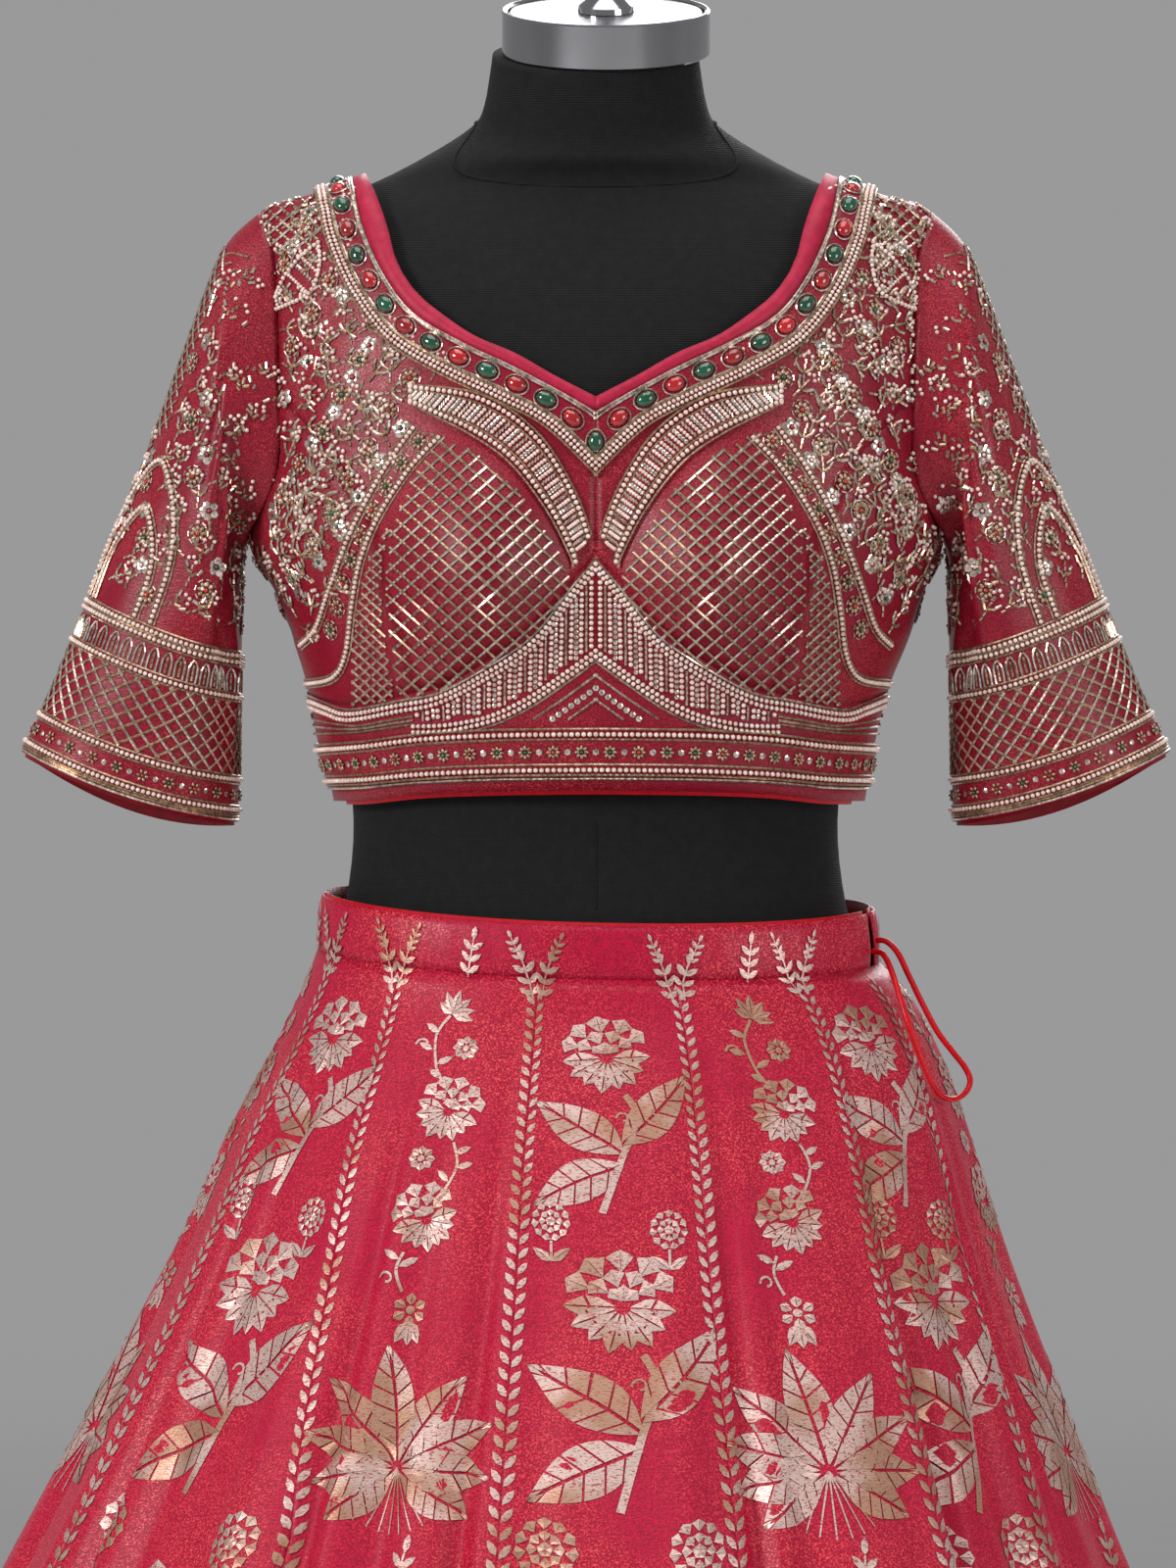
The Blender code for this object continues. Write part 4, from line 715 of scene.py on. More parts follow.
def coordinates(nodes, links, scale, source="Object"):
    place = nodes.new("ShaderNodeTexCoord")
    mapping = nodes.new("ShaderNodeMapping")
    mapping.inputs["Scale"].default_value = scale
    links.new(place.outputs[source], mapping.inputs["Vector"])
    return mapping.outputs["Vector"]


def speckle(nodes, links, where, scale, detail=3.0):
    noise = nodes.new("ShaderNodeTexNoise")
    noise.inputs["Scale"].default_value = scale
    noise.inputs["Detail"].default_value = detail
    links.new(where, noise.inputs["Vector"])
    return noise.outputs["Fac"]


def ramp(nodes, links, value, stops):
    node = nodes.new("ShaderNodeValToRGB")
    while len(node.color_ramp.elements) < len(stops):
        node.color_ramp.elements.new(0.5)
    for element, (position, colour) in zip(node.color_ramp.elements, stops):
        element.position = position
        element.color = (*colour, 1.0)
    links.new(value, node.inputs["Fac"])
    return node.outputs["Color"]


def blend_colours(nodes, links, share, first, second):
    mix = nodes.new("ShaderNodeMix")
    mix.data_type = "RGBA"
    links.new(share, mix.inputs["Factor"])
    links.new(first, mix.inputs["A"])
    links.new(second, mix.inputs["B"])
    return mix.outputs["Result"]


def bump(nodes, links, shader, height, strength, distance=0.0004):
    node = nodes.new("ShaderNodeBump")
    node.inputs["Strength"].default_value = strength
    node.inputs["Distance"].default_value = distance
    links.new(height, node.inputs["Height"])
    links.new(node.outputs["Normal"], shader.inputs["Normal"])


def shot_cloth(name, deep, mid, copper_thread_and_glint, roughness, sheen, thread=1.0):
    """Cloth of two colours of thread: crimson with a speckle of metal thread that gathers in soft clusters,
    partly the thread's own colour and partly painted glints.
    """
    material, nodes, links, shader = new_material(name, roughness, 0.0, sheen)
    shader.inputs["Sheen Tint"].default_value = (1.0, 0.30, 0.28, 1.0)
    shader.inputs["Specular IOR Level"].default_value = 0.28
    where = coordinates(nodes, links, (1.0, 1.0, 1.0))
    fine = speckle(nodes, links, where, 620.0 * thread, 2.0)
    wide = speckle(nodes, links, where, 16.0, 3.0)
    grain = speckle(nodes, links, coordinates(nodes, links, (260.0, 260.0, 1100.0)), 1.0, 2.0)
    # Metal-thread speckle: partly the thread's own colour, partly painted glints, gathered in random
    # clusters by the wide noise.
    thread_and_glint_dots = ramp(nodes, links, fine, ((0.44, deep), (0.54, mid), (0.66, copper_thread_and_glint)))
    calm = ramp(nodes, links, fine, ((0.40, deep), (0.60, mid)))
    painted_light_patches = ramp(nodes, links, wide, ((0.34, (0.0, 0.0, 0.0)), (0.62, (1.0, 1.0, 1.0))))
    links.new(blend_colours(nodes, links, painted_light_patches, calm, thread_and_glint_dots), shader.inputs["Base Color"])
    shine = ramp(nodes, links, fine, ((0.50, (roughness,) * 3), (0.68, (roughness * 0.55,) * 3)))
    links.new(shine, shader.inputs["Roughness"])
    bump(nodes, links, shader, grain, 0.5)
    return material


def plain_cloth(name, colour, shade, roughness, sheen, ribs=None):
    material, nodes, links, shader = new_material(name, roughness, 0.0, sheen)
    shader.inputs["Specular IOR Level"].default_value = 0.30
    where = coordinates(nodes, links, (1.0, 1.0, 1.0))
    links.new(ramp(nodes, links, speckle(nodes, links, where, 180.0), ((0.35, shade), (0.65, colour))),
              shader.inputs["Base Color"])
    if ribs:
        wave = nodes.new("ShaderNodeTexWave")
        wave.bands_direction = "Z"
        wave.inputs["Scale"].default_value = ribs
        wave.inputs["Distortion"].default_value = 0.4
        links.new(where, wave.inputs["Vector"])
        bump(nodes, links, shader, wave.outputs["Fac"], 0.5, 0.0006)
    else:
        bump(nodes, links, shader, speckle(nodes, links, where, 900.0), 0.4)
    return material


def metal_thread(name, painted_lit_silver, painted_shaded_gold, dark, roughness):
    """Woven metal thread with its ribs: silver as painted highlight and brown gold as painted shade in
    random clusters, with painted shade in the grooves between the ribs.
    """
    material, nodes, links, shader = new_material(name, roughness, 0.55)
    where = coordinates(nodes, links, (1.0, 1.0, 1.0))
    painted_light_patches = speckle(nodes, links, where, 20.0, 2.0)
    fine = speckle(nodes, links, coordinates(nodes, links, (500.0, 500.0, 1500.0)), 1.0, 2.0)
    # Painted highlight and painted shade: silver and brown gold in random clusters; the dark colour mixed
    # in below is painted shade in the ribs' grooves.
    painted_light_tone = ramp(nodes, links, painted_light_patches, ((0.40, painted_shaded_gold), (0.52, painted_lit_silver)))
    lines = ramp(nodes, links, fine, ((0.36, (0.0, 0.0, 0.0)), (0.46, (1.0, 1.0, 1.0))))
    shadow = nodes.new("ShaderNodeRGB")
    shadow.outputs[0].default_value = (*dark, 1.0)
    links.new(blend_colours(nodes, links, lines, shadow.outputs[0], painted_light_tone), shader.inputs["Base Color"])
    bump(nodes, links, shader, fine, 0.5)
    return material


def bead_material(name, light, dark, roughness, metallic, coat=0.0, scale=60.0):
    material, nodes, links, shader = new_material(name, roughness, metallic)
    shader.inputs["Coat Weight"].default_value = coat
    shader.inputs["Coat Roughness"].default_value = 0.08
    where = coordinates(nodes, links, (1.0, 1.0, 1.0))
    links.new(ramp(nodes, links, speckle(nodes, links, where, scale, 2.0), ((0.36, dark), (0.62, light))),
              shader.inputs["Base Color"])
    return material


def worn_metal(name, colour, roughness, scale):
    material, nodes, links, shader = new_material(name, roughness, 1.0)
    where = coordinates(nodes, links, (1.0, 1.0, 1.0))
    marks = speckle(nodes, links, where, scale)
    links.new(ramp(nodes, links, marks, ((0.3, tuple(c * 0.86 for c in colour)), (0.7, colour))),
              shader.inputs["Base Color"])
    links.new(ramp(nodes, links, marks, ((0.3, (roughness * 1.5,) * 3), (0.7, (roughness,) * 3))),
              shader.inputs["Roughness"])
    return material


# The third colour of each shot cloth is its metal-thread speckle: partly the thread's own colour, partly
# painted glints.
TISSUE = shot_cloth("choli_tissue", (0.15, 0.001, 0.009), (0.31, 0.003, 0.028), (0.56, 0.075, 0.062), 0.44,
                    0.05, 2.6)
BROCADE = shot_cloth("lehenga_brocade", (0.30, 0.001, 0.020), (0.54, 0.004, 0.046), (0.74, 0.100, 0.080),
                     0.46, 0.08, 1.6)
FACING = plain_cloth("plain_facing", (0.46, 0.008, 0.050), (0.36, 0.004, 0.034), 0.50, 0.15)
LINING = plain_cloth("red_lining", (0.56, 0.002, 0.010), (0.44, 0.001, 0.008), 0.50, 0.1)
INSIDE = plain_cloth("sleeve_lining", (0.22, 0.001, 0.008), (0.16, 0.001, 0.006), 0.60, 0.05)
JERSEY = plain_cloth("black_jersey", (0.0062, 0.0058, 0.0068), (0.0036, 0.0034, 0.0040), 0.84, 0.01, 260.0)
SATIN = plain_cloth("satin_cord", (0.62, 0.002, 0.008), (0.50, 0.001, 0.006), 0.28, 0.1)
# Zari: silver painted highlight, brown gold painted shade, and dark red painted shade in the grooves
# between the ribs.
ZARI = metal_thread("woven_zari", (0.66, 0.48, 0.43), (0.44, 0.25, 0.16), (0.42, 0.10, 0.09), 0.42)
PEARL = bead_material("pearl", (0.92, 0.76, 0.69), (0.72, 0.50, 0.42), 0.22, 0.0, 0.6, 240.0)
SILVER = bead_material("silver_cut_bead", (0.80, 0.71, 0.63), (0.38, 0.30, 0.25), 0.22, 0.80, 0.0, 420.0)
GOLD = bead_material("gold_cut_bead", (0.56, 0.41, 0.28), (0.28, 0.17, 0.10), 0.30, 0.72, 0.0, 420.0)
RUBY = bead_material("red_stone", (0.50, 0.001, 0.004), (0.24, 0.0, 0.002), 0.08, 0.0, 1.0)
EMERALD = bead_material("green_stone", (0.002, 0.085, 0.034), (0.001, 0.022, 0.011), 0.08, 0.0, 1.0)
CHROME = worn_metal("polished_chrome", (0.40, 0.40, 0.42), 0.09, 30.0)
CAP_METAL = worn_metal("cap_metal", (0.40, 0.40, 0.42), 0.26, 60.0)
BASE_PAINT = bead_material("base_paint", (0.035, 0.035, 0.037), (0.022, 0.022, 0.024), 0.42, 0.0, 0.2,
                           120.0)


# Building blocks

def to_object(name, shape, material, smooth=True):
    mesh = bpy.data.meshes.new(name)
    shape.to_mesh(mesh)
    shape.free()
    mesh.materials.append(material)
    thing = bpy.data.objects.new(name, mesh)
    scene.collection.objects.link(thing)
    if smooth:
        mesh.shade_smooth()
    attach(thing, "root")
    return thing


def centre_line(point):
    return Vector((0.0, 0.0, point.z))


def cloth(name, grid, material, nodes, ring=False, middle=centre_line, shell=SHELL):
    """Thin shell on a grid of points, with its thickness inside and its cloth's own UV map."""
    rows, columns = len(grid), len(grid[0])
    points = [row + [row[0]] if ring else row for row in grid]
    wide = columns + 1 if ring else columns
    shape = bmesh.new()
    bmesh.ops.create_grid(shape, x_segments=wide - 1, y_segments=rows - 1, size=1.0)
    shape.verts.ensure_lookup_table()
    for i in range(rows):
        for j in range(wide):
            shape.verts[i * wide + j].co = points[i][j]
    across = [0.0]
    for a, b in zip(points[rows // 2], points[rows // 2][1:]):
        across.append(across[-1] + (Vector(b) - Vector(a)).length)
    along = [0.0]
    for i in range(rows - 1):
        along.append(along[-1] + (points[i + 1][wide // 2] - points[i][wide // 2]).length)
    layer = shape.loops.layers.uv.new("cloth")
    for face in shape.faces:
        for loop in face.loops:
            i, j = divmod(loop.vert.index, wide)
            loop[layer].uv = (across[j], along[i])
    facing_out = 0.0
    shape.normal_update()
    for face in shape.faces:
        centre = face.calc_center_median()
        facing_out += face.normal.dot(centre - middle(centre)) * face.calc_area()
    if facing_out < 0:
        bmesh.ops.reverse_faces(shape, faces=shape.faces)
    if ring:
        bmesh.ops.remove_doubles(shape, verts=shape.verts, dist=1e-6)
    thing = to_object(name, shape, material)
    solid = thing.modifiers.new("thickness", "SOLIDIFY")
    solid.thickness = shell
    solid.offset = -1.0
    solid.use_even_offset = False
    if nodes:
        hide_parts(*nodes)
    return thing


def measured(thing, grid, ring):
    """Widest row, longest column and area of a shell, for the cut's table."""
    rows = [row + [row[0]] if ring else row for row in grid]
    width = max(sum((b - a).length for a, b in zip(row, row[1:])) for row in rows)
    length = max(sum((b - a).length for a, b in zip(line, line[1:])) for line in zip(*grid))
    return width, length, sum(face.area for face in thing.data.polygons)


def turned(name, profile, material, nodes, place, lean=0.0, steps=96):
    """Piece spun from a profile of radius and height pairs that runs up its outside."""
    shape = bmesh.new()
    knots = [shape.verts.new((radius, 0.0, height)) for radius, height in profile]
    edges = [shape.edges.new(pair) for pair in zip(knots, knots[1:])]
    bmesh.ops.spin(shape, geom=knots + edges, cent=(0.0, 0.0, 0.0), axis=(0.0, 0.0, 1.0),
                   angle=2 * math.pi, steps=steps, use_merge=True)
    bmesh.ops.remove_doubles(shape, verts=shape.verts, dist=1e-6)
    bmesh.ops.recalc_face_normals(shape, faces=shape.faces)
    bmesh.ops.transform(shape, matrix=Matrix.Translation(place) @ Matrix.Rotation(lean, 4, "X"),
                        verts=shape.verts)
    thing = to_object(name, shape, material)
    thing.data.set_sharp_from_angle(angle=math.radians(35))
    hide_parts(*nodes)
    return thing


# Small shapes that are repeated

def small_shape(kind):
    """Points and faces of one bead or sequin, a unit across, with its length along X."""
    shape = bmesh.new()
    if kind in ("pearl", "stone"):
        bmesh.ops.create_uvsphere(shape, u_segments=6 if kind == "pearl" else 10,
                                  v_segments=4 if kind == "pearl" else 6, radius=0.5)
    elif kind == "sequin":
        bmesh.ops.create_cone(shape, cap_ends=True, segments=6, radius1=0.5, radius2=0.22, depth=0.2)
    elif kind == "petal":
        bmesh.ops.create_uvsphere(shape, u_segments=6, v_segments=3, radius=0.5)
        for vert in shape.verts:
            vert.co.y *= 1.0 - 0.45 * vert.co.x
    else:
        bmesh.ops.create_cone(shape, cap_ends=True, segments=4, radius1=0.5, radius2=0.5, depth=1.0)
        bmesh.ops.rotate(shape, verts=shape.verts, cent=(0.0, 0.0, 0.0),
                         matrix=Matrix.Rotation(math.pi / 2, 3, "Y"))
    shape.verts.index_update()
    corners = np.array([vert.co[:] for vert in shape.verts])
    faces = [[vert.index for vert in face.verts] for face in shape.faces]
    shape.free()
    return corners, faces


BeadKind = namedtuple("BeadKind", "shape material slot smooth")
BEAD_KINDS = {
    "pearl": BeadKind("pearl", PEARL, "pearl_beading", True),
    "silver": BeadKind("cut", SILVER, "pearl_beading", False),
    "gold": BeadKind("cut", GOLD, "pearl_beading", False),
    "sequin": BeadKind("sequin", SILVER, "pearl_beading", False),
    "petal": BeadKind("petal", GOLD, "pearl_beading", True),
    "ruby": BeadKind("stone", RUBY, "pearl_beading", True),
    "emerald": BeadKind("stone", EMERALD, "pearl_beading", True),
}
strewn = {}


def strew(region, kind, point, along, normal, size):
    """Note one bead: its middle, the way its length lies, the way it stands out, and its sizes."""
    side = normal.cross(along).normalized()
    ahead = side.cross(normal).normalized()
    strewn.setdefault((region, kind),
                      []).append((*point, *(ahead * size[0]), *(side * size[1]), *(normal * size[2])))


def sew_beads():
    for (region, kind), rows in strewn.items():
        look = BEAD_KINDS[kind]
        corners, faces = small_shape(look.shape)
        table = np.array(rows)
        frames = table[:, 3:].reshape(-1, 3, 3)
        points = (np.einsum("vk,nkd->nvd", corners, frames) + table[:, None, :3]).reshape(-1, 3)
        joined = [[corner + start * len(corners) for corner in face]
                  for start in range(len(rows)) for face in faces]
        mesh = bpy.data.meshes.new(f"{region}_{kind}")
        mesh.from_pydata(points.tolist(), [], joined)
        mesh.materials.append(look.material)
        if look.smooth:
            mesh.shade_smooth()
        thing = bpy.data.objects.new(f"{region}_{kind}_beads", mesh)
        scene.collection.objects.link(thing)
        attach(thing, "root")


def track(points, normals):
    """Line to sew along: dense points with their outward normals and the length gone at each."""
    gone = [0.0]
    for a, b in zip(points, points[1:]):
        gone.append(gone[-1] + (b - a).length)
    return points, normals, gone


def choli_track(spots, cells=160):
    dense = even_steps(spots, cells, choli_point)
    return track([choli_point(spot) for spot in dense],
                 [face_normal(choli_face, *spot) for spot in dense])


def on_track(line, wanted):
    points, normals, gone = line
    low, high = 0, len(gone) - 1
    while high - low > 1:
        middle = (low + high) // 2
        if gone[middle] <= wanted:
            low = middle
        else:
            high = middle
    share = (wanted - gone[low]) / max(gone[high] - gone[low], 1e-9)
    share = min(max(share, 0.0), 1.0)
    return (points[low].lerp(points[high], share), (points[high] - points[low]).normalized(),
            normals[low].lerp(normals[high], share).normalized())


PEARL_SIZE = 0.0031
BAND_PEARL = (0.0028,) * 3
ROW_PEARL = (0.0027,) * 3
LEAF_PEARL = (0.0026,) * 3
SMALL_PEARL = (0.0024,) * 3
LEAF_SEED = (0.0021,) * 3
SMALL_SEQUIN = (0.0026, 0.0026, 0.0012)
BAND_PITCH = 0.0031
ROW_PITCH = 0.0030
GOLD_PITCH = 0.0027
SILVER_PITCH = 0.0026
BEAD_SINK = 0.0006
TRIM_LIFT = 0.0014
TRIM_SHELL = 0.0008
CUT_SIZE = (0.0025, 0.0013, 0.0013)
NET_SIZE = (0.0026, 0.0016, 0.0014)
LEAF_SIZE = (0.0036, 0.0017, 0.0014)
SEQUIN_SIZE = (0.0040, 0.0040, 0.0016)


def sew_row(region, kind, line, pitch, aside=0.0, size=None, lift=0.0, start=0.0, stop=1.0):
    """Beads at a pitch along a track, a distance to its side, lift above the cloth."""
    size = size or {"pearl": (PEARL_SIZE,) * 3, "sequin": SEQUIN_SIZE}.get(kind, CUT_SIZE)
    length = line[2][-1] * (stop - start)
    count = max(int(round(length / pitch)), 1)
    for k in range(count + 1):
        point, along, normal = on_track(line, line[2][-1] * start + length * k / count)
        side = normal.cross(along)
        strew(region, kind, point + side * aside + normal * (lift + size[2] * 0.42), along, normal, size)


def edged_pearls(region, line, aside=0.0, lift=0.0, size=PEARL_SIZE):
    """Row of pearls between two lines of gold cut beads."""
    sew_row(region, "pearl", line, size * 1.08, aside, (size,) * 3, lift)
    for way in (-1.0, 1.0):
        sew_row(region, "gold", line, 0.0027, aside + way * (size * 0.5 + 0.0008), None, lift)


def bead_flower(region, point, along, normal, radius, petals=8, centre=None, ring=True):
    """Small flower of gold petals round a stone, with an outline of silver beads."""
    side = normal.cross(along).normalized()
    for k in range(petals):
        turn = 2 * math.pi * k / petals
        out = along * math.cos(turn) + side * math.sin(turn)
        strew(region, "petal", point + out * radius * 0.58 + normal * 0.0007, out, normal,
              (radius * 0.72, radius * 0.46, 0.0014))
        if ring:
            strew(region, "silver", point + out * radius * 1.02 + normal * 0.0005, normal.cross(out),
                  normal,
                  (radius * 0.5, 0.0009, 0.0009))
    kind = centre or random.choice(("ruby", "emerald"))
    strew(region, kind, point + normal * 0.0010, along, normal, (radius * 0.5, radius * 0.5, 0.0020))


def sequin_flower(region, point, along, normal, radius):
    side = normal.cross(along).normalized()
    for k in range(5):
        turn = 2 * math.pi * k / 5
        out = along * math.cos(turn) + side * math.sin(turn)
        strew(region, "sequin", point + out * radius * 0.62 + normal * BEAD_SINK, out,
              (normal + out * 0.2).normalized(),
              (radius * 0.78, radius * 0.78, 0.0014))
    strew(region, random.choice(("ruby", "emerald", "pearl")), point + normal * 0.0012, along, normal,
          (0.0022,) * 3)


def sprig(region, place, length, bend):
    """Curved stem of silver beads with leaves of gold beads and a cluster of pearls at its end.

    place gives the point, direction and normal at a step ahead and a step aside.
    """
    steps = max(int(length / 0.0027), 3)
    for k in range(steps):
        ahead = length * k / steps
        aside = bend * (k / steps) ** 2
        point, along, normal = place(ahead, aside)
        strew(region, "silver" if k % 2 else "gold", point + normal * 0.0005, along, normal, CUT_SIZE)
        if k % 3 == 2:
            for way in (-1.0, 1.0):
                for leaf, (forward, spread) in enumerate(((0.0004, 0.0022), (0.0030, 0.0044))):
                    spot, _, up = place(ahead + forward, aside + way * spread)
                    lie = (along + normal.cross(along) * way * (1.3 - 0.7 * leaf)).normalized()
                    strew(region, "silver" if leaf else "gold", spot + up * 0.0006, lie, up, LEAF_SIZE)
    for ahead, aside in ((0.0020, 0.0), (0.0002, 0.0024), (0.0002, -0.0024)):
        point, along, normal = place(length + ahead, bend + aside)
        strew(region, "pearl", point + normal * 0.0009, along, normal, SMALL_PEARL)


# Places on the choli's front, by the photograph's pixels out from the centre seam and down

def seen(out, down, side):
    y = -0.11
    for _ in range(4):
        near = (VIEW_DISTANCE + y) / VIEW_DISTANCE
        x = abs(out) * PIXEL * near
        z = VIEW_HEIGHT - (down - VIEW_MIDDLE) * PIXEL * near
        spot = front_spot(x, z, side)
        y = choli_face(*spot).y
    return spot


def seen_line(points, side, cells=120):
    spots = [seen(out, down, side) for out, down in smooth_line(points, 6)]
    return choli_track(spots, cells)


def inside(point, outline):
    x, y = point
    count = False
    for (ax, ay), (bx, by) in zip(outline, outline[1:] + outline[:1]):
        if (ay > y) != (by > y) and x < (bx - ax) * (y - ay) / (by - ay) + ax:
            count = not count
    return count


def read_points(points, at):
    for (ax, ay), (bx, by) in zip(points, points[1:]):
        if at <= bx:
            return ay + (by - ay) * (at - ax) / (bx - ax)
    return points[-1][1]


def choli_place(spot, turn):
    """Small flat frame at a spot: gives the point, direction and normal at steps ahead and aside."""
    here = choli_point(spot)
    normal = face_normal(choli_face, *spot)
    level = Vector((0.0, 0.0, 1.0)).cross(normal).normalized()
    rise = normal.cross(level)
    ahead_way = level * math.cos(turn) + rise * math.sin(turn)
    side_way = normal.cross(ahead_way)

    turn_step = 0.01
    step = choli_point((spot[0] + turn_step, spot[1])) - here
    turn_rate = turn_step / step.length * math.copysign(1.0, step.dot(level))

    def place(ahead, aside):
        move = ahead_way * ahead + side_way * aside
        there = (spot[0] + move.dot(level) * turn_rate, spot[1] + move.z)
        return choli_point(there), ahead_way, face_normal(choli_face, *there)

    return place


NET_STEP = 4.7
NET_MARGIN = 40.0


def lattice(region, edge, side, wide=LATTICE_WIDE, tall=LATTICE_TALL):
    """Diagonal net of cut beads, silver one way and gold the other, in an outline of the front."""
    edge = list(edge)
    low_out, high_out = min(p[0] for p in edge), max(p[0] for p in edge)
    low_down, high_down = min(p[1] for p in edge), max(p[1] for p in edge)
    slope = tall / wide
    run = NET_STEP / math.hypot(1.0, slope)
    for kind, way in (("silver", 1.0), ("gold", -1.0)):
        kind_way = way * side
        reach = (high_out - low_out) * slope
        start = low_down - reach - NET_MARGIN
        while start < high_down + reach + NET_MARGIN:
            out = low_out
            while out < high_out:
                down = start + slope * (out - low_out) * -kind_way
                if inside((out, down), edge):
                    spot = seen(out, down, side)
                    point = choli_point(spot)
                    ahead = choli_point(seen(out + run, down - slope * run * kind_way, side))
                    normal = face_normal(choli_face, *spot)
                    strew(region, kind, point + normal * BEAD_SINK, (ahead - point).normalized(), normal,
                          NET_SIZE)
                out += run
            start += tall


# Cloth shells of the choli

BeadRow = namedtuple("BeadRow", "at kind pitch size")
NECK_BEADS = (
    BeadRow(-0.0072, "silver", SILVER_PITCH, None), BeadRow(-0.0060, "silver", SILVER_PITCH, None),
    BeadRow(0.0050, "silver", SILVER_PITCH, None), BeadRow(0.0060, "gold", GOLD_PITCH, None),
    BeadRow(0.0076, "pearl", 0.0026, SMALL_PEARL), BeadRow(0.0100, "pearl", 0.0026, SMALL_PEARL),
    BeadRow(0.0119, "gold", GOLD_PITCH, None),
)
ARCH_BEADS = (
    BeadRow(-0.03, "gold", GOLD_PITCH, None), BeadRow(0.09, "pearl", BAND_PITCH, BAND_PEARL),
    BeadRow(0.21, "gold", GOLD_PITCH, None), BeadRow(0.80, "gold", GOLD_PITCH, None),
    BeadRow(0.91, "pearl", BAND_PITCH, BAND_PEARL), BeadRow(1.03, "gold", GOLD_PITCH, None),
)
HEM_BEADS = (
    BeadRow(1.04, "gold", GOLD_PITCH, None), BeadRow(0.93, "pearl", BAND_PITCH, BAND_PEARL),
    BeadRow(0.82, "gold", GOLD_PITCH, None), BeadRow(0.30, "gold", GOLD_PITCH, None),
    BeadRow(0.19, "pearl", BAND_PITCH, BAND_PEARL), BeadRow(0.08, "gold", GOLD_PITCH, None),
    BeadRow(0.0, "silver", SILVER_PITCH, None),
)
UNDER_BUST_BEADS = (
    BeadRow(5.0, "silver", SILVER_PITCH, None), BeadRow(9.5, "pearl", ROW_PITCH, ROW_PEARL),
    BeadRow(15.5, "pearl", ROW_PITCH, ROW_PEARL),
)
TRACK_CELLS = 90
FACING_EDGE = -0.0080
BORDER_EDGES = (-0.0078, 0.0102)
TRACK_RISE_OUT, TRACK_RISE_IN = 1.39, 2.08
STONE_STEPS = 15
STONE_SIZE = (0.0108, 0.0078, 0.0052)
STONE_LIFT = 0.0012
STONE_RING = 18
STONE_RING_LONG, STONE_RING_WIDE = 0.0064, 0.0049
STONE_RING_SIZE = (0.0020, 0.0010, 0.0010)
ARCH_CELLS = 60
ARCH_SLOTS = 44
ARCH_SLANT = 3.0
BAND_CELLS = 60
HEM_BACK_EDGES = (0.029, 0.006)
STAR_ROW = 0.56
STAR_PITCH = 0.0150
STAR_RADIUS = 0.0042
STAR_SEQUIN = (0.0036, 0.0036, 0.0014)


def between(first, second, share):
    """Line of spots a share of the way from one line to another."""
    return [tuple(a + (b - a) * share for a, b in zip(start, end)) for start, end in zip(first, second)]


def strip(first, second, shares):
    """Rows of points from one line of spots to another, raised as a trim is."""
    return [[choli_point(spot, TRIM_LIFT) for spot in between(first, second, share)] for share in shares]


def choli_grid(spots, lift=0.0):
    return [[choli_point(spot, lift) for spot in row] for row in spots]


def make_choli(halves):
    for word in ("left", "right"):
        lines = halves[word]
        cup_left = lines["centre"] + lines["neck"][1:]
        cup_right = lines["princess"] + lines["armhole_upper"][1:]
        cup = coons(lines["inner"], lines["shoulder"], cup_left, cup_right)
        cloth_piece(f"cup_{word}", choli_grid(cup), TISSUE, [f"cup_{word}"])
        panel = coons(lines["outer"], lines["armhole_lower"], lines["princess"], lines["side_upper"])
        cloth_piece(f"side_front_{word}", choli_grid(panel), TISSUE, [f"side_front_{word}"])
        back_left = lines["centre_back"] + lines["neck_back"][1:]
        back_right = lines["side_lower"] + lines["side_upper"][1:] + lines["armhole_back"][1:]
        back = coons(lines["hem_back"], lines["shoulder_back"], back_left, back_right)
        cloth_piece(f"back_{word}", choli_grid(back), TISSUE, [f"back_{word}"])
    left, right = halves["left"], halves["right"]
    top = left["outer"][::-1] + left["inner"][::-1][1:] + right["inner"][1:] + right["outer"][1:]
    bottom = left["hem_front"][::-1] + right["hem_front"][1:]
    front = coons(bottom, top, left["side_lower"], right["side_lower"])
    cloth_piece("midriff_front", choli_grid(front), TISSUE, ["midriff_front"])
    lining_low, lining_tall = 0.0022, 0.014
    strip = []
    for rise in (-lining_low, lining_tall * 0.3, lining_tall):
        strip.append([choli_point((angle, height + rise), -SHELL - 0.0012 - rise * 0.02)
                      for angle, height in bottom[6:-6]])
    cloth_piece("choli_hem_lining", strip, LINING, ["choli_hem_lining"], shell=TRIM_SHELL)


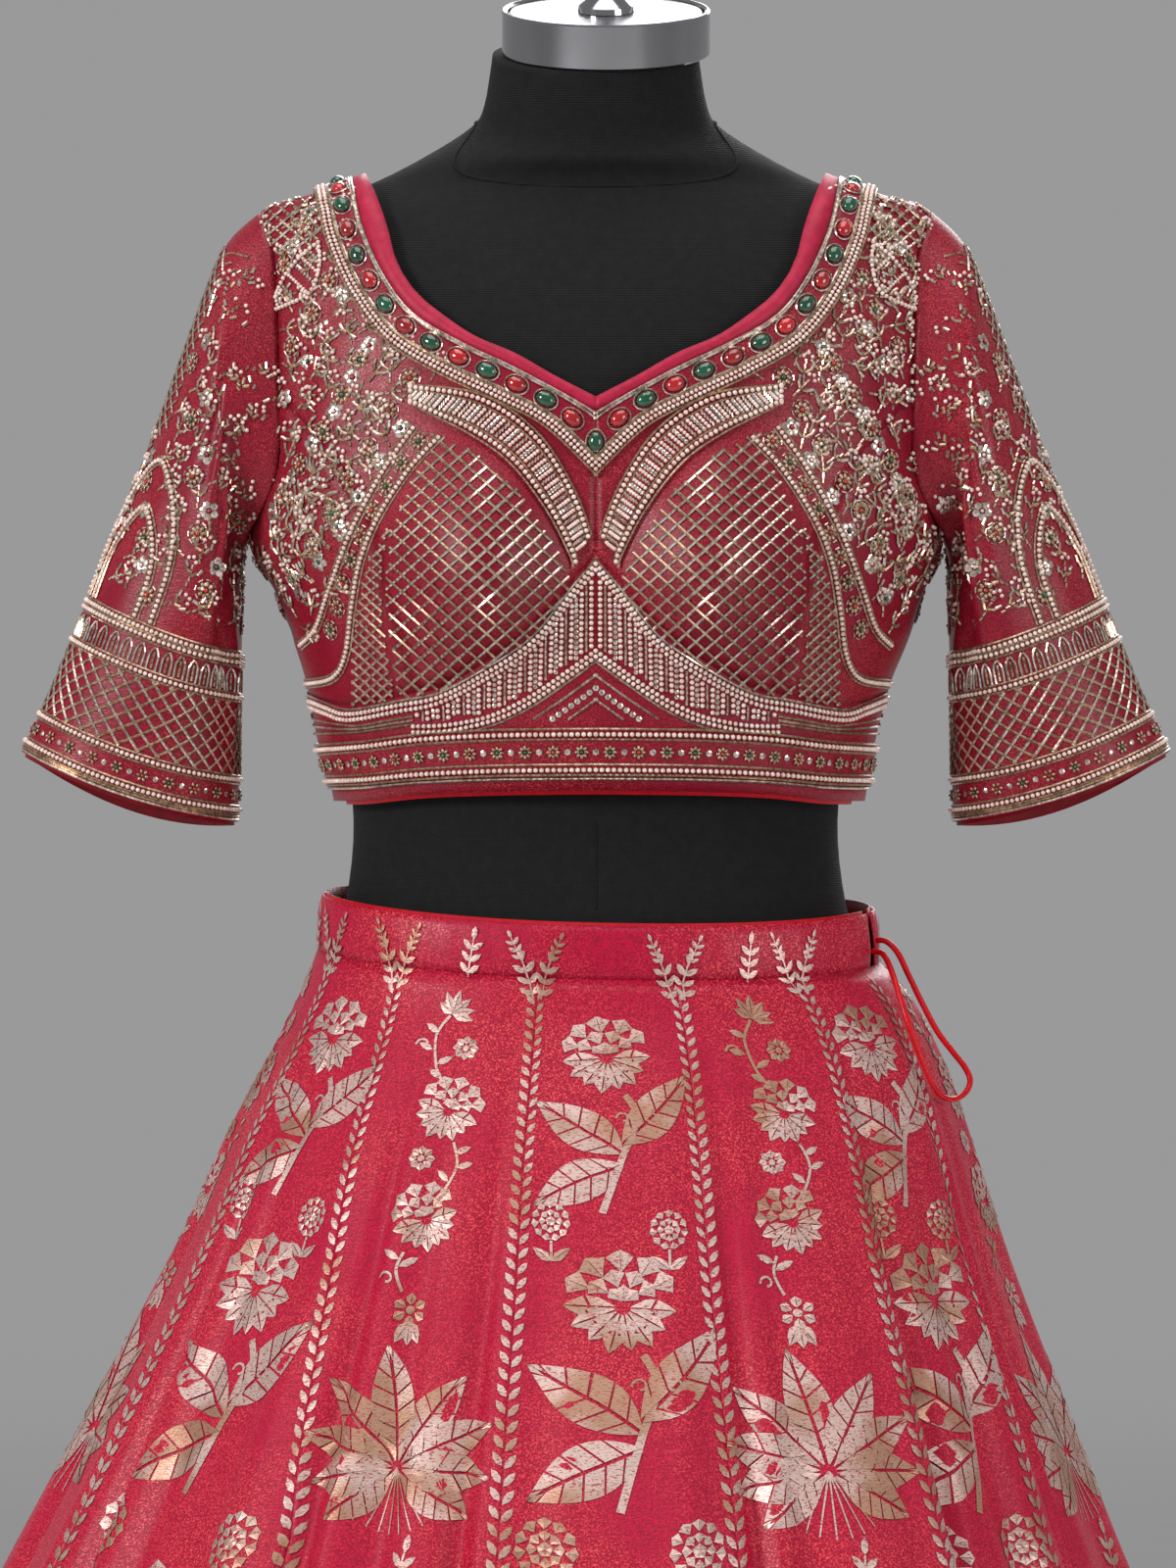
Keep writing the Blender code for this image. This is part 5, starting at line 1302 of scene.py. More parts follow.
def make_neck(side, word):
    """Facing and border strips round half the neck, then the stones and the rows of beads."""
    def round_track(distance):
        rise = TRACK_RISE_OUT if distance > 0.0 else TRACK_RISE_IN
        return round_neck(distance, STONE_LINE[0][1] - distance * rise, TRACK_CELLS, side)

    neck = front_line(NECK_EDGE, TRACK_CELLS, side) + back_line(BACK_NECK, BACK_TRIM_CELLS, side)[::-1][1:]
    cloth_piece(f"neck_facing_{word}", strip(neck, round_track(FACING_EDGE), (0.0, 0.5, 1.0)), FACING,
                [f"neck_facing_{word}"], shell=TRIM_SHELL)
    inner, outer = [round_track(distance) for distance in BORDER_EDGES]
    cloth_piece(f"neck_border_{word}", strip(inner, outer, (0.0, 0.25, 0.5, 0.75, 1.0)), TISSUE,
                [f"neck_border_{word}"], shell=TRIM_SHELL)
    region = f"neck_{word}"
    for row in NECK_BEADS:
        sew_row(region, row.kind, choli_track(round_track(row.at), 260), row.pitch, 0.0, row.size,
                TRIM_LIFT)
    stone_row = front_line(beside(STONE_LINE, 0.0, STONE_LINE[0][1], side), TRACK_CELLS, side)
    line = choli_track(stone_row, 200)
    for k in range(STONE_STEPS + 1):
        if k == 0 and side < 0:
            continue
        point, along, normal = on_track(line, line[2][-1] * k / STONE_STEPS)
        if k == 0:
            along = Vector((0.0, 0.0, 1.0))
        point = point + normal * (TRIM_LIFT + STONE_LIFT)
        strew(region, "emerald" if k % 2 == 0 else "ruby", point, along, normal, STONE_SIZE)
        for bead in range(STONE_RING):
            turn = 2 * math.pi * bead / STONE_RING
            across = normal.cross(along)
            out = along * (math.cos(turn) * STONE_RING_LONG) + across * (math.sin(turn) * STONE_RING_WIDE)
            lie = (across * math.cos(turn)
                   * STONE_RING_WIDE - along * math.sin(turn) * STONE_RING_LONG).normalized()
            strew(region, "silver", point + out - normal * BEAD_SINK, lie, normal, STONE_RING_SIZE)


def make_arch(side, word):
    """Pearl arch band over a cup: its strip, its edge rows, and slanting rows of pearls and cut beads."""
    upper, lower = front_line(ARCH_UPPER, ARCH_CELLS, side), front_line(ARCH_LOWER, ARCH_CELLS, side)
    cloth_piece(f"pearl_arch_{word}", strip(upper, lower, (0.0, 0.5, 1.0)), TISSUE,
                [f"pearl_arch_{word}"], shell=TRIM_SHELL)
    region = f"arch_{word}"
    for row in ARCH_BEADS:
        line = choli_track(between(upper, lower, row.at))
        sew_row(region, row.kind, line, row.pitch, 0.0, row.size, TRIM_LIFT)
    end_line = choli_track([upper[-1], lower[-1]], 12)
    sew_row(region, "pearl", end_line, 0.0031, 0.0, BAND_PEARL, TRIM_LIFT)
    for k in range(ARCH_SLOTS):
        kind = "pearl" if k % 2 == 0 else ("silver" if k % 4 == 1 else "sequin")
        for step in range(5):
            share = 0.30 + 0.40 * step / 4
            index = (k + 0.5 + (share - 0.5) * ARCH_SLANT) / ARCH_SLOTS * ARCH_CELLS
            index = min(max(index, 0.0), ARCH_CELLS - 0.01)
            low = int(index)
            place = []
            for line in (upper, lower):
                place.append(tuple(a + (b - a) * (index - low) for a, b in zip(line[low], line[low + 1])))
            spot = tuple(a + (b - a) * share for a, b in zip(*place))
            point = choli_point(spot)
            normal = face_normal(choli_face, *spot)
            across = (choli_point(place[1]) - choli_point(place[0])).normalized()
            size = {"pearl": SMALL_PEARL, "sequin": SMALL_SEQUIN}.get(kind, CUT_SIZE)
            strew(region, kind, point + normal * (TRIM_LIFT + 0.0009), across, normal, size)


def make_ogee(side, word):
    """Pearl rows under the bust, columns of pearls and sequins, and the pointed row below them."""
    region = f"midriff_{word}"
    for row in UNDER_BUST_BEADS:
        line = seen_line([(out, down + row.at) for out, down in UNDER_BUST], side)
        sew_row(region, row.kind, line, row.pitch, 0.0, row.size)
    for drop in (0.0, 6.0):
        line = seen_line([(out, down + drop) for out, down in CHEVRON], side)
        sew_row(region, "pearl", line, 0.0030, 0.0, ROW_PEARL)
    sew_row(region, "silver", seen_line([(out, down + 11.0) for out, down in CHEVRON], side), 0.0026)
    column = 0
    out = 4.5
    while out < 182.0:
        top = read_points(UNDER_BUST, out) + 23.0
        low = read_points(CHEVRON, out) - 6.0
        down = top
        while down < low:
            spot = seen(out, down, side)
            point, normal = choli_point(spot), face_normal(choli_face, *spot)
            if column % 2 == 0:
                strew(region, "pearl", point + normal * 0.0011, Vector((0, 0, 1)), normal, ROW_PEARL)
                down += 5.9
            elif column % 4 == 1:
                strew(region, "silver", point + normal * BEAD_SINK, Vector((0, 0, 1)), normal, CUT_SIZE)
                down += 5.2
            else:
                strew(region, "sequin", point + normal * BEAD_SINK, Vector((0, 0, 1)), normal, SMALL_SEQUIN)
                down += 5.4
        out += 5.2
        column += 1
    for drop, reach in ((25.0, 62.0), (38.0, 44.0), (50.0, 26.0)):
        points = [(out_at, read_points(CHEVRON, out_at) + drop) for out_at in (0.0, reach * 0.5, reach)]
        kind = "sequin" if drop == 38.0 else "silver"
        sew_row(region, kind, seen_line(points, side, 40), 0.0042 if kind == "sequin" else 0.0027, 0.0,
                (0.0034, 0.0034, 0.0014) if kind == "sequin" else None)
    for share, kind in ((0.25, "gold"), (0.5, "silver"), (0.75, "gold")):
        points = []
        for out_at in (188.0, 215.0, 245.0, 275.0, 300.0):
            top, low = read_points(UNDER_BUST, out_at) + 19.0, 744.0 + (out_at - 188.0) * 0.12
            points.append((out_at, top + (low - top) * share))
        sew_row(region, kind, seen_line(points, side, 60), 0.0027)


def make_hem_bands():
    """Beaded band round the choli's hem: pearl rows with star flowers between."""
    bands = []
    for side, word in ((-1, "left"), (1, "right")):
        edges = [front_line(edge, BAND_CELLS, side) for edge in (BAND_TOP, BAND_BOTTOM)]
        back = [straight_line((side * SIDE_ANGLE, edge[-1][1]), (side * BACK_ANGLE, HEM_BACK + rise),
                              BAND_CELLS)
                for edge, rise in zip((BAND_TOP, BAND_BOTTOM), HEM_BACK_EDGES)]
        bands.append((word, edges, back))
    shares = (0.0, 0.25, 0.5, 0.75, 1.0)
    left_edges, right_edges = bands[0][1], bands[1][1]
    top, low = [left[::-1] + right[1:] for left, right in zip(left_edges, right_edges)]
    cloth_piece("hem_band_front", strip(low, top, shares), TISSUE, ["hem_band_front"],
                shell=TRIM_SHELL)
    for word, _, (top, low) in bands:
        cloth_piece(f"hem_band_back_{word}", strip(low, top, shares), TISSUE,
                    [f"hem_band_back_{word}"], shell=TRIM_SHELL)
    for word, edges, back in bands:
        for (top, low), end in ((edges, "front"), (back, "back")):
            region = f"hem_band_{end}_{word}"
            for row in HEM_BEADS:
                line = choli_track(between(low, top, row.at), 160)
                sew_row(region, row.kind, line, row.pitch, 0.0, row.size, TRIM_LIFT)
            line = choli_track(between(low, top, STAR_ROW), 160)
            count = round(line[2][-1] / STAR_PITCH)
            for k in range(count):
                point, along, normal = on_track(line, line[2][-1] * (k + 0.5) / count)
                bead_flower(region, point + normal * TRIM_LIFT, along, normal, STAR_RADIUS, 8,
                            ("emerald", "ruby", "emerald")[k % 3], False)
                point, along, normal = on_track(line, line[2][-1] * k / count)
                strew(region, "sequin", point + normal * (TRIM_LIFT + 0.0006), along, normal, STAR_SEQUIN)


def make_curves(side, word):
    """The two curved double rows beside a cup and the small flowers between them."""
    region = f"curve_{word}"
    outer_line, inner_line = seen_line(CURVE_OUTER, side), seen_line(CURVE_INNER, side)
    for line in (outer_line, inner_line):
        edged_pearls(region, line, 0.0, 0.0, 0.0026)
    middle = [((a[0] + b[0]) / 2, (a[1] + b[1]) / 2) for a, b in zip(CURVE_OUTER, CURVE_INNER)]
    line = seen_line(middle, side)
    for k in range(9):
        point, along, normal = on_track(line, line[2][-1] * (k + 0.4) / 9.4)
        bead_flower(region, point, along, normal, 0.0050)


def make_feather(side, word):
    """Pearl leaf below the shoulder's net: an outline with slanting rows of pearls inside."""
    region = f"feather_{word}"
    for points in (FEATHER_UPPER, FEATHER_LOWER):
        sew_row(region, "pearl", seen_line(points, side, 40), 0.0027, 0.0, LEAF_PEARL)
    for k in range(7):
        share = (k + 0.7) / 8
        ends = []
        for points, shift in ((FEATHER_UPPER, 0.0), (FEATHER_LOWER, 0.10)):
            dense = smooth_line(points, 8)
            ends.append(dense[min(int((share + shift) * (len(dense) - 1)), len(dense) - 1)])
        sew_row(region, "pearl" if k % 2 == 0 else "sequin", seen_line(ends, side, 10), 0.0024, 0.0,
                LEAF_SEED)


def make_jaal(side, word):
    """Scattered sprigs and small flowers on the chest, side panels and back."""
    region = f"chest_{word}"
    edges = (list(CHEST_EDGE), list(SIDE_EDGE))
    for edge in edges:
        down = 200.0
        row = 0
        while down < 660.0:
            out = 140.0 + (10.0 if row % 2 else 0.0)
            while out < 365.0:
                jitter = (random.uniform(-3, 3), random.uniform(-3, 3))
                where = (out + jitter[0], down + jitter[1])
                if inside(where, edge):
                    spot = seen(*where, side)
                    place = choli_place(spot,
                                        random.uniform(0.6, 2.6) if row % 2 else random.uniform(-0.4, 1.4))
                    point, along, normal = place(0.0, 0.0)
                    choice = (row * 3 + int(out / 20.0)) % 7
                    if choice == 0:
                        bead_flower(region, point, along, normal, 0.0054)
                    elif choice == 3:
                        sequin_flower(region, point, along, normal, 0.0054)
                    else:
                        sprig(region, place, random.uniform(0.012, 0.018), random.uniform(-0.006, 0.006))
                out += 20.0
            down += 17.0
            row += 1
    region = f"back_{word}"
    for row, height in enumerate((1.150, 1.178, 1.206, 1.234, 1.262, 1.290, 1.318, 1.346, 1.372)):
        for column, degrees in enumerate(range(100 + 5 * (row % 2), 178, 11)):
            if height > 1.30 and degrees > 178 - (height - 1.30) * 620:
                continue
            if height > 1.235 and degrees < 112:
                continue
            place = choli_place((side * math.radians(degrees), height), random.uniform(0.6, 2.4))
            point, along, normal = place(0.0, 0.0)
            if (row + column) % 3 == 0:
                bead_flower(region, point, along, normal, 0.0048)
            else:
                sprig(region, place, 0.012, random.uniform(-0.004, 0.004))


# Sleeves

def refine_ring(ring, steps):
    """Closed ring with a smooth curve through its points."""
    closed = [tuple(p) for p in ring]
    padded = closed[-2:] + closed + closed[:3]
    dense = smooth_line(padded, steps)
    start = 2 * steps
    return [Vector(p) for p in dense[start:start + len(ring) * steps]]


class Sleeve:
    """The sleeve's surface, by its columns round the arm and a distance up from the cuff."""

    def __init__(self, side, lines):
        armhole = (lines["armhole_lower"][::-1] + lines["armhole_upper"][1:]
                   + lines["armhole_back"][::-1][1:-1])
        self.side = side
        rings = [[choli_point(spot) + Vector((side * SLEEVE_SEAM * 0.2, 0.0, 0.0)) for spot in armhole]]
        last = len(SLEEVE_ROWS) - 1
        for i, row in enumerate(SLEEVE_ROWS):
            rings.append(sleeve_ring(row, side, i / last))
        for _ in range(1):
            normals = grid_normals(rings, side)
            for i, ring in enumerate(rings):
                for j in range(len(ring)):
                    ring[j] = ring[j] + normals[i][j] * fold_offset(i, j, len(ring))
        around = [refine_ring(ring, 4) for ring in rings]
        columns = [smooth_line([tuple(ring[j]) for ring in around], 5) for j in range(len(around[0]))]
        self.grid = [[Vector(column[i]) for column in columns] for i in range(len(columns[0]))]
        self.wide = len(self.grid[0])
        rows = len(self.grid) - 1
        smooth = grid_normals(self.grid, side)
        for i in range(rows + 1):
            for j in range(self.wide):
                rise = 0.0
                for crease in SLEEVE_CREASES:
                    middle = crease.around_top + (crease.around_low - crease.around_top) * i / rows
                    apart = abs((j / self.wide - middle + 0.5) % 1.0 - 0.5) / crease.half_round
                    along = (i / rows - crease.row_top) / (crease.row_low - crease.row_top)
                    if apart < 1.0 and 0.0 < along < 1.0:
                        rise += crease.depth * math.cos(apart
                                                        * math.pi / 2) ** 2 * math.sin(math.pi * along)
                self.grid[i][j] = self.grid[i][j] + smooth[i][j] * rise
        self.gone = []
        for j in range(self.wide):
            gone = [0.0]
            for i in range(len(self.grid) - 1, 0, -1):
                gone.append(gone[-1] + (self.grid[i][j] - self.grid[i - 1][j]).length)
            self.gone.append(gone)

    def at(self, around, up):
        """Point at a share of the way round (0 under the arm, 0.25 front, 0.5 top) and up from the cuff."""
        place = (around % 1.0) * self.wide
        low = int(place) % self.wide
        points = []
        for j in (low, (low + 1) % self.wide):
            gone = self.gone[j]
            k = 0
            while k < len(gone) - 2 and gone[k + 1] < up:
                k += 1
            share = (up - gone[k]) / max(gone[k + 1] - gone[k], 1e-9)
            share = min(max(share, -0.2), 1.0)
            i = len(self.grid) - 1 - k
            points.append(self.grid[i][j].lerp(self.grid[i - 1][j], share))
        return points[0].lerp(points[1], place - int(place))

    def normal(self, around, up):
        turn, move = 0.006, 0.002
        sideways = self.at(around + turn, up) - self.at(around - turn, up)
        upwards = self.at(around, up + move) - self.at(around, max(up - move, 0.0))
        return sideways.cross(upwards).normalized() * self.side

    def line(self, places):
        return track([self.at(*place) for place in places], [self.normal(*place) for place in places])

    def place(self, around, up, turn):
        here, normal = self.at(around, up), self.normal(around, up)
        level = Vector((0.0, 0.0, 1.0)).cross(normal).normalized()
        ahead_way = level * math.cos(turn) + normal.cross(level) * math.sin(turn)
        rise = normal.cross(level)
        side_way = normal.cross(ahead_way)
        turn_step = 0.004
        step = self.at(around + turn_step, up) - here
        turn_rate = turn_step / step.length * math.copysign(1.0, step.dot(level))

        def place(ahead, aside):
            move = ahead_way * ahead + side_way * aside
            there = (around + move.dot(level) * turn_rate, max(up + move.dot(rise), 0.0))
            return self.at(*there), ahead_way, self.normal(*there)

        return place


ARM_TOP = 1.40
ARM_LONG = 0.30
ARM_OUT = 0.186
ARM_SPREAD = 0.06
CUFF_LINING_UP = (0.060, 0.030, 0.004, -0.002)
CUFF_LINING_STEPS = 60
RING_STEPS = 160
CUFF_EDGE_ROWS = ((0.0012, "silver", SILVER_PITCH), (0.0028, "gold", GOLD_PITCH))
CUFF_PEARL_ROWS = (0.0062, 0.0222, 0.0655, 0.0840, 0.0875)
CUFF_FLOWERS_UP = 0.0140
CUFF_FLOWER_PITCH = 0.0145
CUFF_ARCH_PITCH = 0.0082
CUFF_NET = (0.0260, 0.0620)
CUFF_NET_PITCH = 0.0102


def make_sleeve(side, word, lines):
    sleeve = Sleeve(side, lines)
    piece = f"sleeve_{word}"

    def arm(point):
        share = min(max((ARM_TOP - point.z) / ARM_LONG, 0.0), 1.0)
        return Vector((side * (ARM_OUT + ARM_SPREAD * share), 0.0, point.z - 0.02))

    cloth_piece(piece, sleeve.grid, TISSUE, [piece], ring=True, middle=arm)
    lining = []
    for up in CUFF_LINING_UP:
        lining.append([sleeve.at(j / CUFF_LINING_STEPS, max(up, 0.0))
                       - sleeve.normal(j / CUFF_LINING_STEPS, max(up, 0.0)) * (SHELL + TRIM_SHELL)
                       + Vector((0.0, 0.0, min(up, 0.0))) for j in range(CUFF_LINING_STEPS)])
    cloth_piece(f"cuff_lining_{word}", lining, INSIDE, [f"cuff_lining_{word}"], ring=True,
                middle=arm, shell=TRIM_SHELL)

    def ring_line(up):
        return sleeve.line([(k / RING_STEPS, up) for k in range(RING_STEPS + 1)])

    for up, kind, pitch in CUFF_EDGE_ROWS:
        sew_row(piece, kind, ring_line(up), pitch)
    for up in CUFF_PEARL_ROWS:
        edged_pearls(piece, ring_line(up), 0.0, 0.0, 0.0026)
    whole = ring_line(CUFF_FLOWERS_UP)
    count = round(whole[2][-1] / CUFF_FLOWER_PITCH)
    for k in range(count):
        point, along, normal = on_track(whole, whole[2][-1] * k / count)
        bead_flower(piece, point, along, normal, 0.0040, 6, ("emerald", "ruby")[k % 2], False)
        point, along, normal = on_track(whole, whole[2][-1] * (k + 0.5) / count)
        strew(piece, "sequin", point + normal * BEAD_SINK, along, normal, (0.0032, 0.0032, 0.0014))
    arches = round(ring_line(0.0745)[2][-1] / CUFF_ARCH_PITCH)
    for k in range(arches):
        middle, half = (k + 0.5) / arches, 0.33 / arches
        bow = [(middle - half, 0.0695), (middle - half, 0.0755), (middle - half * 0.5, 0.0790),
               (middle, 0.0800),
               (middle + half * 0.5, 0.0790), (middle + half, 0.0755), (middle + half, 0.0695)]
        sew_row(piece, "silver", sleeve.line(smooth_line(bow, 3)), 0.0025)
        for up in (0.0705, 0.0735, 0.0765):
            point, normal = sleeve.at(middle, up), sleeve.normal(middle, up)
            strew(piece, "gold", point + normal * BEAD_SINK,
                  (sleeve.at(middle, up + 0.002) - point).normalized(),
                  normal, CUT_SIZE)
    nets = round(ring_line(0.0440)[2][-1] / CUFF_NET_PITCH)
    low, high = CUFF_NET
    for k in range(nets):
        for kind, way in (("silver", 1.0), ("gold", -1.0)):
            places = []
            for step in range(13):
                share = step / 12
                places.append((k / nets + way * share * (high - low) / 0.0088 / nets,
                               low + (high - low) * share))
            sew_row(piece, kind, sleeve.line(places), 0.0028, 0.0, NET_SIZE)
    for rows, centre, half, base, top in ((("pearl", "gold"), 0.40, 0.092, 0.092, 0.172),
                                          (("pearl", "gold"), 0.40, 0.058, 0.092, 0.146),
                                          (("pearl", "gold"), 0.66, 0.080, 0.092, 0.165)):
        bow = [(centre - half, base), (centre - half, base + (top - base) * 0.45),
               (centre - half * 0.62, base + (top - base) * 0.80), (centre, top),
               (centre + half * 0.62, base + (top - base) * 0.80),
               (centre + half, base + (top - base) * 0.45),
               (centre + half, base)]
        line = sleeve.line(smooth_line(bow, 8))
        if "pearl" in rows:
            edged_pearls(piece, line, 0.0, 0.0, 0.0027)
        else:
            sew_row(piece, "gold", line, 0.0027)
    up = 0.104
    row = 0
    while up < 0.300:
        columns = 21
        for k in range(columns):
            around = (k + (0.5 if row % 2 else 0.0) + random.uniform(-0.12, 0.12)) / columns
            column = int(around % 1.0 * sleeve.wide) % sleeve.wide
            if up > sleeve.gone[column][-1] - 0.012 or (abs(around - 0.5) < 0.085 and up > 0.176):
                continue
            place = sleeve.place(around, up, random.uniform(0.4, 2.7))
            point, along, normal = place(0.0, 0.0)
            choice = (row * 3 + k) % 7
            if choice == 0:
                bead_flower(piece, point, along, normal, 0.0054)
            elif choice == 3:
                sequin_flower(piece, point, along, normal, 0.0054)
            else:
                sprig(piece, place, random.uniform(0.011, 0.016), random.uniform(-0.005, 0.005))
        up += 0.0135
        row += 1
    for kind, way in (("silver", 1.0), ("gold", -1.0)):
        for k in range(17):
            low_up = 0.180 + 0.0088 * (k - 3)
            places = []
            for step in range(9):
                share = step / 8
                up_here = low_up + share * 0.032
                around = 0.5 + way * (share - 0.5) * 0.15
                if 0.182 <= up_here <= 0.292:
                    places.append((around, up_here))
            if len(places) > 2:
                sew_row(piece, kind, sleeve.line(places), 0.0027)


# Skirt

def finer_skirt(angle, fall):
    """The skirt with the small creases that the solids leave out."""
    point = skirt_face(angle, fall)
    rise = 0.0
    for fold in SMALL_FOLDS:
        centre = math.radians(fold.at_waist + (fold.at_hem - fold.at_waist) * fall)
        apart = math.remainder(angle - centre, 2 * math.pi) / math.radians(fold.half_width)
        if abs(apart) < 1.0:
            rise += fold.depth * math.cos(apart * math.pi / 2) ** 2
    rise *= min(fall * 3.0, 1.0) ** 1.2
    return point + Vector((math.sin(angle), -math.cos(angle), 0.0)) * rise


class Kali:
    """One panel's surface, by a share across from its left seam and a distance down from the band."""

    def __init__(self, number):
        self.number = number
        first, second = KALI_SEAMS[number - 1], KALI_SEAMS[number]
        self.grid, self.falls = [], []
        for i in range(KALI_ROWS + 1):
            fall = (i / KALI_ROWS) ** 1.15
            start, end = seam_angle(first, fall), seam_angle(second, fall)
            self.grid.append([finer_skirt(start + (end - start) * j / KALI_COLUMNS, fall)
                              for j in range(KALI_COLUMNS + 1)])
        self.start, self.end = math.radians(first.at_waist), math.radians(second.at_waist)
        middle = KALI_COLUMNS // 2
        self.down = [0.0]
        for a, b in zip(self.grid, self.grid[1:]):
            self.down.append(self.down[-1] + (b[middle] - a[middle]).length)
        self.across = [sum((b - a).length for a, b in zip(row, row[1:])) for row in self.grid]

    def row_at(self, down):
        low, high = 0, len(self.down) - 1
        while high - low > 1:
            middle = (low + high) // 2
            if self.down[middle] <= down:
                low = middle
            else:
                high = middle
        return low, min(max((down - self.down[low]) / (self.down[high] - self.down[low]), 0.0), 1.0)

    def width(self, down):
        low, share = self.row_at(down)
        return self.across[low] + (self.across[low + 1] - self.across[low]) * share

    def at(self, aside, down, lift=0.0):
        """Point a distance right of the panel's middle and down from the band's seam, or up the band."""
        if down < 0.0:
            place = min(max(0.5 + aside / self.across[0], 0.0), 1.0)
            angle = self.start + (self.end - self.start) * place
            return band_point(angle, min(-down / BAND_TALL, 0.96), lift + TRIM_LIFT)
        low, share = self.row_at(down)
        place = min(max(0.5 + aside / self.width(down), 0.0), 1.0) * KALI_COLUMNS
        left = min(int(place), KALI_COLUMNS - 1)
        part = place - left
        corners = [self.grid[low][left], self.grid[low][left + 1], self.grid[low + 1][left],
                   self.grid[low + 1][left + 1]]
        top = corners[0].lerp(corners[1], part)
        foot = corners[2].lerp(corners[3], part)
        point = top.lerp(foot, share)
        if lift:
            normal = (corners[3] - corners[0]).cross(corners[1] - corners[2]).normalized()
            if normal.dot(Vector((point.x, point.y, 0.0))) < 0.0:
                normal = -normal
            point = point + normal * lift
        return point


THREAD_LOW = 0.00045
THREAD_HIGH = 0.00070
RIB = 0.035


def turned_way(turn):
    """Steps aside and down of one metre along a turn, in degrees from straight up the panel."""
    return Vector((math.sin(math.radians(turn)), -math.cos(math.radians(turn))))


def lay_leaf(shape, kali, aside, down, turn, length, width, peak=0.8, pieces=1, bend=0.0, rib=RIB):
    """Woven leaf or petal: two halves with the ground showing along the rib and its veins.

    A peak above 1 is widest near the tip, and pieces is how many parts the veins cut a half into.
    """
    ahead = turned_way(turn)
    side = Vector((-ahead.y, ahead.x))

    def spot(along, across, lift):
        place = Vector((aside,
                        down)) + ahead * (along * length) + side * (across + bend * length * along * along)
        return shape.verts.new(kali.at(place.x, place.y, lift))

    cuts = 3 if pieces == 1 else 2
    for half in (-1.0, 1.0):
        for piece in range(pieces):
            first, last = piece / pieces, (piece + (0.88 if piece < pieces - 1 else 1.0)) / pieces
            inner, outer = [], []
            for k in range(cuts + 1):
                along = first + (last - first) * k / cuts
                edge = min(along + (0.10 if pieces > 1 else 0.0), 1.0)
                swell = width / 2 * math.sin(math.pi * min(edge, 1.0) ** peak) if 0.0 < edge < 1.0 else 0.0
                gap = min(rib * width, swell * 0.5)
                inner.append(spot(along, half * gap, THREAD_HIGH))
                outer.append(spot(edge, half * max(swell, gap), THREAD_LOW))
            for k in range(cuts):
                ring = (inner[k], inner[k + 1], outer[k + 1], outer[k])
                shape.faces.new(ring if half > 0 else ring[::-1])


def lay_stem(shape, kali, points, width):
    """Flat woven stem along a line of places, each aside and down."""
    dense = even_steps(smooth_line(points, 6), max(len(points) * 4, 6), lambda p: Vector((p[0], p[1], 0.0)))
    left, right = [], []
    for index, (aside, down) in enumerate(dense):
        before = dense[max(index - 1, 0)]
        after = dense[min(index + 1, len(dense) - 1)]
        along = Vector((after[0] - before[0], after[1] - before[1])).normalized()
        across = Vector((-along.y, along.x)) * width / 2
        left.append(shape.verts.new(kali.at(aside - across.x, down - across.y, THREAD_LOW)))
        right.append(shape.verts.new(kali.at(aside + across.x, down + across.y, THREAD_LOW)))
    for a in range(len(left) - 1):
        shape.faces.new((left[a], left[a + 1], right[a + 1], right[a]))


def lay_frill(shape, kali, aside, down, inside_radius, outside_radius, start, end, frills, depth=0.10):
    """Ring or fan of cloth petals with a frilled outer edge, between two turns."""
    steps = max(int(abs(end - start) / 14.0), 6)
    rings = []
    for share, lift in ((0.0, THREAD_LOW), (0.55, THREAD_HIGH), (1.0, THREAD_LOW)):
        ring = []
        for k in range(steps + 1):
            turn = start + (end - start) * k / steps
            wave = 1.0 + depth * math.cos(math.pi * 2 * frills * k / steps) * share
            reach = (inside_radius + (outside_radius - inside_radius) * share) * wave
            place = Vector((aside, down)) + turned_way(turn) * reach
            ring.append(shape.verts.new(kali.at(place.x, place.y, lift)))
        rings.append(ring)
    for low, high in zip(rings, rings[1:]):
        for k in range(steps):
            shape.faces.new((low[k], low[k + 1], high[k + 1], high[k]))


def lay_flower(shape, kali, aside, down, radius, petals=7, turn=0.0):
    """Small open flower of round petals round a dot."""
    for k in range(petals):
        way = turn + 360.0 * k / petals
        foot = turned_way(way) * radius * 0.30
        lay_leaf(shape, kali, aside + foot.x, down + foot.y, way, radius * 0.70, radius * 0.62, 1.2)
    lay_frill(shape, kali, aside, down, 0.0, radius * 0.24, 0.0, 360.0, 5, 0.0)


def lay_peony(shape, kali, aside, down, radius, turn=0.0):
    """Large flower seen from the side: a frilled layered crown over a skirt of pointed petals."""
    way = turned_way(turn)
    heart = Vector((aside, down)) + way * radius * 0.10
    for start, reach, wide, turns in ((0.54, 0.42, 0.46, (-72.0, -42.0, -10.0, 24.0, 54.0)),
                                      (0.28, 0.34, 0.36, (-62.0, -24.0, 16.0, 52.0)),
                                      (0.02, 0.30, 0.26, (-50.0, -6.0, 42.0))):
        for degrees in turns:
            foot = turned_way(turn + degrees) * radius * start
            lay_leaf(shape, kali, heart.x + foot.x, heart.y + foot.y, turn + degrees, radius * reach,
                     radius * wide, 1.7, 1, 0.0, 0.012)
    for degrees, reach in ((86.0, 0.98), (112.0, 0.86), (138.0, 0.92), (163.0, 0.84), (188.0, 0.94),
                           (213.0, 0.84),
                           (238.0, 0.92), (264.0, 0.98)):
        foot = turned_way(turn + degrees) * radius * 0.12
        lay_leaf(shape, kali, aside + foot.x, down + foot.y, turn + degrees, radius * reach * 0.80,
                 radius * 0.40,
                 0.95, 2)


